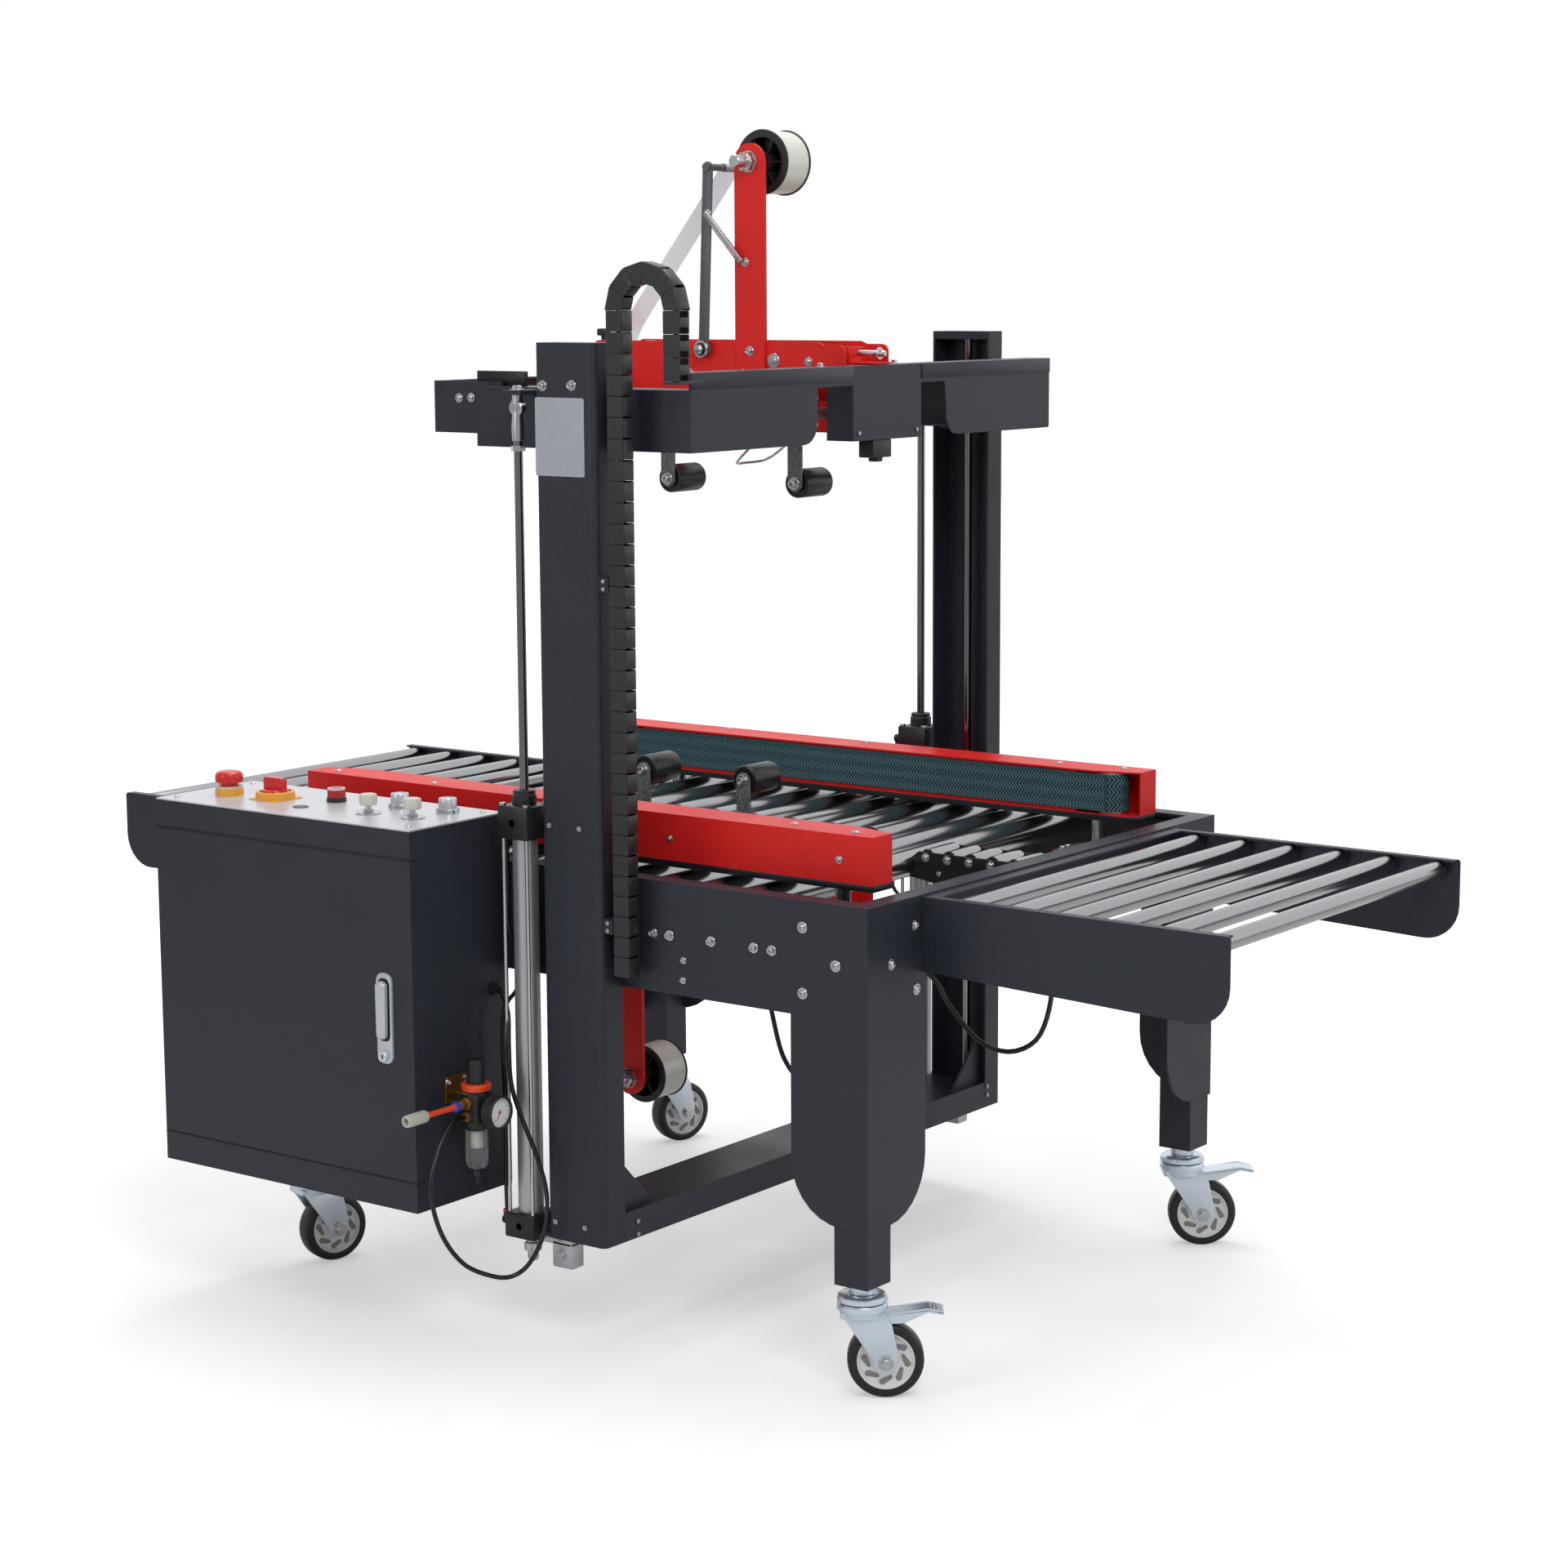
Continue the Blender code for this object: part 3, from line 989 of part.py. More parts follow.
# ---------------------------------------------------------------- control cabinet
def build_cabinet():
    """The cabinet's shell, its door with handle, and the panel on top."""
    front = -CABINET_FRONT
    back = -BED_HALF_WIDTH - GAP
    left, right = CABINET_LEFT, CABINET_RIGHT
    wall = CABINET_SHEET
    door_back = front + DOOR_DEPTH
    shell = box(left, right, front, back, CABINET_BOTTOM, CABINET_TOP)
    recess = box(left - 0.01, right + 0.01, front - 0.01, door_back,
                 DOOR_BOTTOM - GAP * 2, DOOR_TOP + GAP * 2)
    cavity = box(left + wall, right - wall, front + wall, back - wall,
                 CABINET_BOTTOM + wall, CABINET_TOP - wall)
    piece("cabinet_shell", "charcoal", shell, cut=[recess, cavity])
    door_near = door_back - GAP
    door = box(left, right, front, door_near, DOOR_BOTTOM, DOOR_TOP)
    pan = box(left + wall, right - wall, front + wall, door_near + 0.01, DOOR_BOTTOM + wall, DOOR_TOP - wall)
    pad_outline = rounded([(HANDLE_X - HANDLE_WIDTH / 2, HANDLE_TOP, 0.012),
                           (HANDLE_X - HANDLE_WIDTH / 2, HANDLE_BOTTOM, 0.012),
                           (HANDLE_X + HANDLE_WIDTH / 2, HANDLE_BOTTOM, 0.012),
                           (HANDLE_X + HANDLE_WIDTH / 2, HANDLE_TOP, 0.012)], 5)
    pad = extruded(pad_outline, "y", front - HANDLE_PAD, front + 0.001)
    hinge = (left, front, CABINET_BOTTOM)
    door_object = piece("cabinet_door", "charcoal", door, add=[pad], cut=[pan], pivot=hinge)
    paddle_front = front - HANDLE_PAD - GAP - PADDLE_DEPTH
    paddle_outline = rounded([(HANDLE_X - PADDLE_WIDTH / 2, PADDLE_TOP, 0.007),
                              (HANDLE_X - PADDLE_WIDTH / 2, PADDLE_BOTTOM, 0.005),
                              (HANDLE_X + PADDLE_WIDTH / 2, PADDLE_BOTTOM, 0.005),
                              (HANDLE_X + PADDLE_WIDTH / 2, PADDLE_TOP, 0.007)], 4)
    paddle = extruded(paddle_outline, "y", paddle_front, front - HANDLE_PAD - GAP)
    piece("door_handle", "silver", paddle, parent=door_object,
          pivot=(HANDLE_X, paddle_front + PADDLE_DEPTH / 3, PADDLE_TOP))
    panel_low = CABINET_TOP + GAP
    panel = box(left + 0.001, right - 0.001, front + 0.001, back - 0.002,
                panel_low, panel_low + PANEL_THICKNESS)
    controls = panel_low + PANEL_THICKNESS
    lamp = rod("z", (LAMP_X, LAMP_Y), 0.0125, controls - 0.001, controls + 0.019)
    collars = [gathered(*[
        turned([(bore, controls - 0.001), (outer, controls - 0.001), (outer, controls + height),
                (bore, controls + height)], (x, y, 0.0))
        for x, y, bore, outer, height in [
            (*STOP_PLACE, STOP_STEM + PRESS_CLEARANCE, 0.0195, 0.013),
            *[(*place, BUTTON_RADIUS + PRESS_CLEARANCE, BUTTON_RADIUS + 0.003, 0.007)
              for place in BUTTON_PLACES]]])]
    piece("control_panel", "panel", panel, add=[lamp] + collars)
    return controls + GAP


def round_control(name, look, x, y, profile):
    """A turned knob or button standing on the panel."""
    base = profile[0][1]
    piece(name, look, turned(profile, (x, y, 0.0)), pivot=(x, y, base))


def build_controls(z):
    """Emergency stop, main switch, two speed knobs and two push buttons."""
    round_control("emergency_stop", "red", *STOP_PLACE, [
        (0.0, z + 0.006), (STOP_STEM, z + 0.006), (STOP_STEM, z + 0.019),
        (0.0195, z + 0.021), (0.0195, z + 0.030),
        (0.014, z + 0.034), (0.0, z + 0.034)])
    switch_x, switch_y = SWITCH_PLACE
    disc = rod("z", (switch_x, switch_y), 0.020, z, z + 0.014)
    grip = box(switch_x - 0.019, switch_x + 0.019, switch_y - 0.006, switch_y + 0.006, z + 0.013, z + 0.030)
    piece("main_switch", "red", disc, add=[grip], pivot=(switch_x, switch_y, z))
    for label, place in zip("ab", KNOB_PLACES):
        round_control(f"speed_knob_{label}", "cream", *place, [
            (0.0, z), (0.017, z), (0.017, z + 0.0015), (0.004, z + 0.0015), (0.004, z + 0.012),
            (0.0115, z + 0.012), (0.0125, z + 0.014), (0.0125, z + 0.026), (0.0, z + 0.027)])
    for label, place in zip("ab", BUTTON_PLACES):
        round_control(f"push_button_{label}", "silver", *place, [
            (0.0, z + 0.004), (BUTTON_RADIUS, z + 0.004), (BUTTON_RADIUS, z + 0.019),
            (BUTTON_RADIUS - 0.001, z + 0.020), (0.0, z + 0.020)])


def build_regulator():
    """The air regulator on the cabinet's side: bracket, body, gauge, bowl, inlet and knob."""
    x, y = REGULATOR_X, REGULATOR_Y
    centre = (x, y, 0.0)
    body = turned([(0.0, DRAIN_BOTTOM), (0.004, DRAIN_BOTTOM), (0.004, BOWL_BOTTOM - 0.006),
                   (0.010, BOWL_BOTTOM), (0.0155, BOWL_BOTTOM + 0.008), (0.0155, REGULATOR_BOTTOM),
                   (REGULATOR_RADIUS, REGULATOR_BOTTOM + 0.002), (REGULATOR_RADIUS, REGULATOR_TOP - 0.010),
                   (0.0205, REGULATOR_TOP - 0.009), (0.0205, REGULATOR_TOP), (0.0, REGULATOR_TOP)], centre)
    bracket = box(CABINET_RIGHT + GAP, x, y - 0.018, y + 0.018, REGULATOR_TOP - 0.014, REGULATOR_TOP - 0.011)
    plate = box(CABINET_RIGHT + GAP, CABINET_RIGHT + GAP + 0.003, y - 0.026, y + 0.018,
                REGULATOR_TOP - 0.030, REGULATOR_TOP + 0.008)
    gauge = rod("x", (y, REGULATOR_BOTTOM + 0.026), GAUGE_RADIUS, x + 0.026, x + 0.046)
    gauge_neck = rod("x", (y, REGULATOR_BOTTOM + 0.026), 0.006, x, x + 0.027, PIN_SEGMENTS)
    inlet_z = REGULATOR_BOTTOM + 0.036
    fitting = rod("y", (x, inlet_z), 0.0075, y - 0.042, y, PIN_SEGMENTS)
    tube = rod("y", (x, inlet_z), 0.004, y - 0.100, y - 0.041, PIN_SEGMENTS)
    coupler = rod("y", (x, inlet_z), 0.0085, y - 0.138, y - 0.099, PLAIN_SEGMENTS)
    outlet = rod("y", (x, OUTLET_Z), 0.005, y - 0.026, y, PIN_SEGMENTS)
    piece("regulator_body", "black", body,
          add=[bracket, plate, gauge_neck, gauge, fitting, tube, coupler, outlet])
    base = REGULATOR_TOP + GAP
    profile = [(0.0, base), (0.0125, base), (0.0125, REGULATOR_KNOB_TOP - 0.003),
               (0.0105, REGULATOR_KNOB_TOP), (0.0, REGULATOR_KNOB_TOP)]
    piece("regulator_knob", "black", turned(profile, centre), pivot=(x, y, base))


def smooth_route(points, step):
    """Points along a Catmull-Rom curve through the given ones, at about the given step."""
    path = [Vector(point) for point in points]
    padded = [2 * path[0] - path[1]] + path + [2 * path[-1] - path[-2]]
    route = [path[0]]
    for index in range(1, len(padded) - 2):
        before, here, there, after = padded[index - 1:index + 3]
        count = max(1, round((there - here).length / step))
        for k in range(1, count + 1):
            t = k / count
            route.append(0.5 * (2 * here + (there - before) * t
                                + (2 * before - 5 * here + 4 * there - after) * t * t
                                + (3 * here - before - 3 * there + after) * t * t * t))
    return route


def build_air_hose():
    """The black air hose: out of the regulator, down in a loop and up between cabinet and cylinder."""
    x, y = REGULATOR_X, REGULATOR_Y
    start = y - 0.026 - GAP
    points = [
        (x, start, OUTLET_Z), (x, start - 0.012, OUTLET_Z), (x, start - 0.030, 0.316),
        (x + 0.004, -0.636, 0.285),
        (x + 0.010, -0.655, 0.238), (x + 0.015, -0.642, 0.180), (x + 0.022, -0.608, 0.132),
        (x + 0.033, -0.565, 0.106), (x + 0.044, -0.535, 0.100), (x + 0.060, -0.516, 0.118),
        (x + 0.080, -0.508, 0.165), (x + 0.084, -0.508, 0.215), (x + 0.070, -0.510, 0.265),
        (x + 0.046, -0.512, 0.315), (x + 0.026, -0.510, 0.360), (x + 0.014, -0.500, 0.410),
        (x + 0.003, -0.488, 0.450), (CABINET_RIGHT + 0.018, -0.478, 0.474),
        (CABINET_RIGHT + 0.008, -0.476, 0.477), (CABINET_RIGHT + 2 * GAP, -0.476, 0.477)]
    route = smooth_route(points, HOSE_STEP)
    curve = bpy.data.curves.new("air_hose", "CURVE")
    curve.dimensions = "3D"
    curve.bevel_depth = HOSE_RADIUS
    curve.bevel_resolution = 2
    curve.use_fill_caps = True
    spline = curve.splines.new("POLY")
    spline.points.add(len(route) - 1)
    for point, place in zip(spline.points, route):
        point.co = (*place, 1.0)
    curve.materials.append(finish("rubber"))
    hose = bpy.data.objects.new("air_hose", curve)
    bpy.context.scene.collection.objects.link(hose)


# ---------------------------------------------------------------- cable chain
def build_cable_chain():
    """The chain's fixed run on the column, its arch, and the run that hangs to the head."""
    half = CHAIN_THICKNESS / 2
    low_y, high_y = CHAIN_Y - CHAIN_WIDTH / 2, CHAIN_Y + CHAIN_WIDTH / 2
    run = box(CHAIN_X - half, CHAIN_X + half, low_y, high_y, CHAIN_BOTTOM, CHAIN_ARCH_Z - GAP)
    piece("chain_fixed_run", "black", run)
    arch_x = CHAIN_X + CHAIN_ARCH_RADIUS
    outline = []
    for radius, angles in ((CHAIN_ARCH_RADIUS + half, range(0, 13)),
                           (CHAIN_ARCH_RADIUS - half, range(12, -1, -1))):
        for k in angles:
            angle = math.pi * k / 12
            outline.append((arch_x + radius * math.cos(angle), CHAIN_ARCH_Z + radius * math.sin(angle)))
    arch = extruded(outline, "y", low_y, high_y)
    piece("chain_arch", "black", arch, pivot=(arch_x, CHAIN_Y, CHAIN_ARCH_Z))
    hang_x = CHAIN_X + 2 * CHAIN_ARCH_RADIUS
    hang = box(hang_x - half, hang_x + half, low_y, high_y, CHAIN_HEAD_Z, CHAIN_ARCH_Z - GAP)
    piece("chain_hanging_run", "black", hang, pivot=(hang_x, CHAIN_Y, CHAIN_HEAD_Z))


# ---------------------------------------------------------------- casters
def build_caster(label, end, side, braked):
    """A swivel caster: fork with bearing discs, wheel, and a brake pedal on the outfeed pair."""
    stem_x, stem_y = leg_stem(end, side)
    axle_z = WHEEL_RADIUS
    top = LEG_BOTTOM - GAP
    disc_low = 0.118
    marker = joint_axis(f"swivel_{label}", (stem_x, stem_y, top))
    boss = rod("z", (0.0, 0.0), CASTER_BOSS_RADIUS, 0.136, top, PLAIN_SEGMENTS)
    discs = rod("z", (0.0, 0.0), CASTER_DISC_RADIUS, disc_low, 0.138)
    crown_half = FORK_HALF + FORK_SHEET / 2
    crown = box(-0.029, 0.025, -crown_half, crown_half, disc_low - 0.010, disc_low + 0.001)
    cheeks = []
    for flank in (-1, 1):
        outline = [(-0.030, disc_low - 0.0015), (0.0255, disc_low - 0.0015), (0.0275, disc_low - 0.018),
                   (CASTER_TRAIL + 0.011, axle_z + 0.006), (CASTER_TRAIL + 0.006, axle_z - 0.010),
                   (CASTER_TRAIL - 0.006, axle_z - 0.010), (CASTER_TRAIL - 0.013, axle_z + 0.004)]
        cheeks.append(extruded(outline, "y", flank * FORK_HALF, flank * (FORK_HALF + FORK_SHEET)))
    axle = rod("y", (CASTER_TRAIL, axle_z), AXLE_RADIUS, -FORK_HALF - FORK_SHEET - 0.004,
               FORK_HALF + FORK_SHEET + 0.004, PIN_SEGMENTS)
    shapes = [discs, crown] + cheeks + [axle]
    turn = Matrix.Rotation(math.radians(CASTER_YAW[label]), 4, "Z")
    yaw = Matrix.Translation((stem_x, stem_y, 0.0)) @ turn
    for shape in [boss] + shapes:
        bmesh.ops.transform(shape, matrix=yaw, verts=shape.verts)
    fork = piece(f"caster_fork_{label}", "zinc", boss, add=shapes, pivot=(stem_x, stem_y, top),
                 parent=marker)
    half = WHEEL_WIDTH / 2
    dish = 0.008
    profile = [(WHEEL_BORE, -half - 0.002), (0.011, -half - 0.002), (0.011, -dish), (0.037, -dish),
               (0.037, -half), (WHEEL_RADIUS, -half + 0.003), (WHEEL_RADIUS, half - 0.003), (0.037, half),
               (0.037, dish), (0.011, dish), (0.011, half + 0.002), (WHEEL_BORE, half + 0.002)]
    wheel = turned(profile, (CASTER_TRAIL, 0.0, axle_z), "y", FINE_SEGMENTS)
    bmesh.ops.transform(wheel, matrix=yaw, verts=wheel.verts)
    hub = yaw @ Vector((CASTER_TRAIL, 0.0, axle_z))
    piece(f"caster_wheel_{label}", "wheel", wheel, pivot=hub, parent=marker)
    if not braked:
        return
    root_x = 0.0255 + GAP
    pedal_low = disc_low - 0.0105
    side_view = [(root_x, pedal_low), (0.0850, pedal_low + 0.010), (0.1050, pedal_low + 0.006),
                 (0.1050, pedal_low + 0.009), (0.0850, pedal_low + 0.013), (root_x, pedal_low + 0.005)]
    pedal = extruded(side_view, "y", -0.017, 0.017)
    bmesh.ops.transform(pedal, matrix=yaw, verts=pedal.verts)
    hinge = yaw @ Vector((root_x, 0.0, pedal_low + 0.0025))
    piece(f"brake_pedal_{label}", "zinc", pedal, pivot=hinge, parent=marker)


# ---------------------------------------------------------------- whole machine
def centre_on_floor():
    """Move everything so that the middle of its footprint stands on the origin."""
    bpy.context.view_layer.update()
    corners = []
    for thing in bpy.context.scene.objects:
        if thing.type == "MESH":
            corners += [thing.matrix_world @ vertex.co for vertex in thing.data.vertices]
    middle_x = (min(c.x for c in corners) + max(c.x for c in corners)) / 2
    middle_y = (min(c.y for c in corners) + max(c.y for c in corners)) / 2
    for thing in bpy.context.scene.objects:
        if thing.parent is None:
            thing.location.x -= middle_x
            thing.location.y -= middle_y
    bpy.context.view_layer.update()


def main():
    clear_scene()
    build_bed()
    build_deck()
    build_tables()
    build_columns()
    build_base_channel()
    build_cylinders()
    build_head()
    build_upper_cartridge()
    tape_roll("tape_roll_upper", ARM_X, ROLL_Z, ROLL_RADIUS, ROLL_TAPE)
    build_tension_lever()
    build_upper_press_arms()
    build_lower_cartridge()
    tape_roll("tape_roll_lower", LOW_ARM_X, LOW_ROLL_Z, LOW_ROLL_RADIUS, LOW_ROLL_TAPE)
    build_lower_press_arms()
    build_side_belts()
    panel_top = build_cabinet()
    build_controls(panel_top)
    build_regulator()
    build_air_hose()
    build_cable_chain()
    build_caster("outfeed_near", 1, -1, True)
    build_caster("outfeed_far", 1, 1, True)
    build_caster("infeed_near", -1, -1, False)
    build_caster("infeed_far", -1, 1, False)
    centre_on_floor()


main()
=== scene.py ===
"""Looks of a carton sealing machine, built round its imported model.

Each sub-assembly is a class that holds its sizes and builds the pieces that dress or replace its
part of the model. Lengths are metres. A place given by bed(x, y, z) is measured from the middle of
the roller bed, which stands a little off the middle of the whole machine.
"""
import json
import logging
import math
from dataclasses import dataclass
from enum import Enum

import bmesh
import bpy
import numpy as np
from mathutils import Matrix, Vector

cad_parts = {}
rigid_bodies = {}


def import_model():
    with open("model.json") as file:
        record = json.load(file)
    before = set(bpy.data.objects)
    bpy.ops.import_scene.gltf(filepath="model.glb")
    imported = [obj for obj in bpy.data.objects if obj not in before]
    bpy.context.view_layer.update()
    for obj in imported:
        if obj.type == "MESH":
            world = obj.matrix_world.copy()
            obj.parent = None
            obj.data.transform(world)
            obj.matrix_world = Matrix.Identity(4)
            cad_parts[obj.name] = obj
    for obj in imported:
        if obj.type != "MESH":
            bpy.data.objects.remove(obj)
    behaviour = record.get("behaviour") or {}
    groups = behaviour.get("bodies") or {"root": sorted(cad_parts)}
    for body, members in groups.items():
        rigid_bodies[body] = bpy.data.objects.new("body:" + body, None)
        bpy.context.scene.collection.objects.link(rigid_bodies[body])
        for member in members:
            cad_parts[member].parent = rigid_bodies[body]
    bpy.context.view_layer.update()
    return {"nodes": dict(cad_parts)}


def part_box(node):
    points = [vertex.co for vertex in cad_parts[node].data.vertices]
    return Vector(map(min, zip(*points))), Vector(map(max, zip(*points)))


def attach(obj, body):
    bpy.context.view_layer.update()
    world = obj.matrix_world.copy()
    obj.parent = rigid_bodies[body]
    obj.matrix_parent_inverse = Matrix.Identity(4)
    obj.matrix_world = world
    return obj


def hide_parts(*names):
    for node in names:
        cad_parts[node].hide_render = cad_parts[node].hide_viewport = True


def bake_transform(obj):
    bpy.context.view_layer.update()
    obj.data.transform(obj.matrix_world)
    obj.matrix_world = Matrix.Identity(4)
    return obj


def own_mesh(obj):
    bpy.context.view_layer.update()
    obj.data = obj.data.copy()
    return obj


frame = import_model()
LOG = logging.getLogger("carton_sealer")
Array = np.ndarray
Place = tuple[float, float, float]
MIDDLE_Y = float(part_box("bed_frame")[0][1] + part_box("bed_frame")[1][1]) / 2
SIDES = (-1, 1)
MM = 0.001


class Body(str, Enum):
    """Bodies of the model that several pieces ride on."""

    FRAME = "frame"
    HEAD = "head"
    ARCH = "chain_arch"


class Recess(Enum):
    """Kinds of fastener head."""

    CAP = "socket cap"
    BUTTON = "button"
    HEX = "hexagon"


# ---------------------------------------------------------------- surfaces
@dataclass(frozen=True)
class Shell:
    """One closed surface: its points, and its faces in groups of equal corner count."""

    points: Array
    faces: tuple[Array, ...]

    def turned(self, direction: Place, centre: Place = (0, 0, 0)) -> "Shell":
        """The shell with its Z axis laid along a direction and its origin put at a centre."""
        return Shell(self.points @ axes_for(direction) + np.array(centre), self.faces)

    def carried(self, matrix: Array, centre: Place) -> "Shell":
        """The shell turned by a 3x3 matrix and moved."""
        return Shell(self.points @ matrix.T + np.array(centre), self.faces)

    def on_bed(self) -> "Shell":
        """The shell moved from places measured on the bed to the model's own."""
        return Shell(self.points + bed(0, 0, 0), self.faces)


def bed(x: float, y: float, z: float) -> Array:
    """A point measured from the middle of the roller bed, in the model's frame."""
    return np.array((x, y + MIDDLE_Y, z))


def unit(vectors: Array) -> Array:
    """Vectors scaled to length one along their last axis."""
    return vectors / np.maximum(np.linalg.norm(vectors, axis=-1, keepdims=True), 1e-12)


def axes_for(direction: Place) -> Array:
    """Three rows: two directions across the given one, and the direction itself.

    Args:
        direction: The line to look along.

    Returns:
        Three unit rows; the last one points along the line.
    """
    along = unit(np.array(direction, float))
    helper = np.array((0.0, 0.0, 1.0)) if abs(along[2]) < 0.9 else np.array((1.0, 0.0, 0.0))
    across = unit(np.cross(helper, along))
    return np.stack([across, np.cross(along, across), along])


def about_z(degrees: float) -> Array:
    """The 3x3 matrix of a turn about the vertical."""
    c, s = math.cos(math.radians(degrees)), math.sin(math.radians(degrees))
    return np.array(((c, -s, 0.0), (s, c, 0.0), (0.0, 0.0, 1.0)))


def about_y(angle: float) -> Array:
    """The 3x3 matrix of a turn about Y that carries +Z towards +X, in radians."""
    c, s = math.cos(angle), math.sin(angle)
    return np.array(((c, 0.0, s), (0.0, 1.0, 0.0), (-s, 0.0, c)))


def grid_faces(rows: int, columns: int, close_rows: bool = False) -> Array:
    """Quads between neighbouring points of a grid whose columns run round in a ring.

    Args:
        rows: Rings of points.
        columns: Points in a ring.
        close_rows: Whether the last ring meets the first.

    Returns:
        Four point indices for each face.
    """
    row, column = np.meshgrid(np.arange(rows if close_rows else rows - 1), np.arange(columns),
                              indexing="ij")
    after, beside = (row + 1) % rows, (column + 1) % columns
    corners = (row * columns + column, row * columns + beside, after * columns + beside,
               after * columns + column)
    return np.stack(corners, axis=-1).reshape(-1, 4)


def lathe(profile: list, centre: Place = (0, 0, 0), direction: Place = (0, 0, 1), sides: int = 48,
          ring: bool = False) -> Shell:
    """A profile carried once round an axis.

    Point (row, angle) = centre + height * axis + radius * (cos angle, sin angle). A row with a
    third value of 1 is a hexagon: its radius is the flat's distance over the cosine of the angle
    from the middle of the nearest flat.

    Args:
        profile: (radius, height) or (radius, height, 1) rows, from end to end.
        centre: Where the axis starts.
        direction: Which way the axis points.
        sides: Steps round the axis, a multiple of 6 where a row is a hexagon.
        ring: Whether the profile closes on itself, as round a bore.

    Returns:
        The surface, closed at its ends by rows of radius 0 or by the ring.
    """
    rows = np.array([tuple(row) + (0,) * (3 - len(row)) for row in profile], float)
    angle = np.arange(sides) * (2 * np.pi / sides)
    sixth = np.pi / 3
    flat = 1 / np.cos(np.mod(angle, sixth) - sixth / 2)
    radius = rows[:, :1] * np.where(rows[:, 2:] > 0, flat, 1.0)
    points = np.stack([radius * np.cos(angle), radius * np.sin(angle),
                       np.repeat(rows[:, 1:2], sides, axis=1)], axis=-1).reshape(-1, 3)
    return Shell(points, (grid_faces(len(rows), sides, ring),)).turned(direction, centre)


def rod(radius: float, low: float, high: float, centre: Place = (0, 0, 0), direction: Place = (0, 0, 1),
        sides: int = 48) -> Shell:
    """A plain round bar between two heights over a centre."""
    return lathe([(0, low), (radius, low), (radius, high), (0, high)], centre, direction, sides)


def inset(outline: Array, distance: float) -> Array:
    """An outline drawn in: each corner moves along its edges' normals, so each edge moves as far.

    Args:
        outline: Its corners in order, anticlockwise.
        distance: How far each edge moves in, in metres.

    Returns:
        The corners of the smaller outline.
    """
    before = unit(outline - np.roll(outline, 1, axis=0)) @ np.array(((0, 1), (-1, 0)))
    after = np.roll(before, -1, axis=0)
    share = 1 + (before * after).sum(axis=1, keepdims=True)
    return outline + (before + after) / np.maximum(share, 0.2) * distance


def prism(outline: Array, axis: str, low: float, high: float, bevel: float = 0.0, steps: int = 2) -> Shell:
    """A flat outline carried along an axis, its two rims rolled over by quarter circles.

    Point (level, corner) = the outline drawn in by bevel * (1 - sine) at a height of bevel *
    (1 - cosine) from the end.

    Args:
        outline: Corners as (first, second) in the order of the two axes left over.
        axis: "x", "y" or "z".
        low: Where it starts along the axis.
        high: Where it ends.
        bevel: Radius of the rims.
        steps: Rows of faces in a rim.

    Returns:
        The closed surface.
    """
    outline = np.array(outline, float)
    following = np.roll(outline, -1, axis=0)
    if (outline[:, 0] * following[:, 1] - following[:, 0] * outline[:, 1]).sum() < 0:
        outline = outline[::-1]
    low, high = min(low, high), max(low, high)
    turns = np.linspace(0, np.pi / 2, steps + 1) if bevel > 0 else np.array([np.pi / 2])
    rises = bevel * (1 - np.cos(turns))
    layers = [inset(outline, bevel * (1 - math.sin(turn))) for turn in turns]
    heights = np.concatenate([low + rises, high - rises[::-1]])
    flat = np.concatenate(layers + layers[::-1])
    count = len(outline)
    height = np.repeat(heights, count)
    along = "xyz".index(axis)
    points = np.insert(flat, along, height, axis=1)
    last = len(heights) - 1
    caps = np.stack([np.arange(count)[::-1], last * count + np.arange(count)])
    return Shell(points, (grid_faces(len(heights), count), caps))


def block(low: Place, high: Place, bevel: float = 0.0) -> Shell:
    """A block between two corners with rolled rims.

    Args:
        low: Its lowest corner.
        high: Its highest corner.
        bevel: Radius of its rims.

    Returns:
        The box as a shell.
    """
    (x0, y0, z0), (x1, y1, z1) = np.minimum(low, high), np.maximum(low, high)
    turn = bevel * 0.8
    outline = rounded([(x0, y0, turn), (x1, y0, turn), (x1, y1, turn), (x0, y1, turn)], 2)
    return prism(outline, "z", z0, z1, bevel)


def rounded(corners: list, steps: int = 6) -> Array:
    """An outline whose (first, second, radius) corners become arcs that touch both edges.

    Args:
        corners: (first, second, radius) of each; a radius of 0 leaves it sharp.
        steps: Chords in a quarter turn.

    Returns:
        The outline with its arcs.
    """
    spots = np.array([corner[:2] for corner in corners], float)
    before = unit(np.roll(spots, 1, axis=0) - spots)
    after = unit(np.roll(spots, -1, axis=0) - spots)
    parts = []
    for spot, back, ahead, (_, _, radius) in zip(spots, before, after, corners):
        half = math.acos(float(np.clip(back @ ahead, -1, 1))) / 2
        if radius <= 0 or half > 1.55:
            parts.append(spot[None])
            continue
        centre = spot + unit(back + ahead) * radius / math.sin(half)
        start = spot + back * radius / math.tan(half) - centre
        sweep = (math.pi - 2 * half) * (-1 if back[0] * ahead[1] - back[1] * ahead[0] > 0 else 1)
        turn = np.linspace(0, sweep, steps + 1)
        parts.append(centre + np.stack([start[0] * np.cos(turn) - start[1] * np.sin(turn),
                                        start[0] * np.sin(turn) + start[1] * np.cos(turn)], axis=1))
    return np.concatenate(parts)


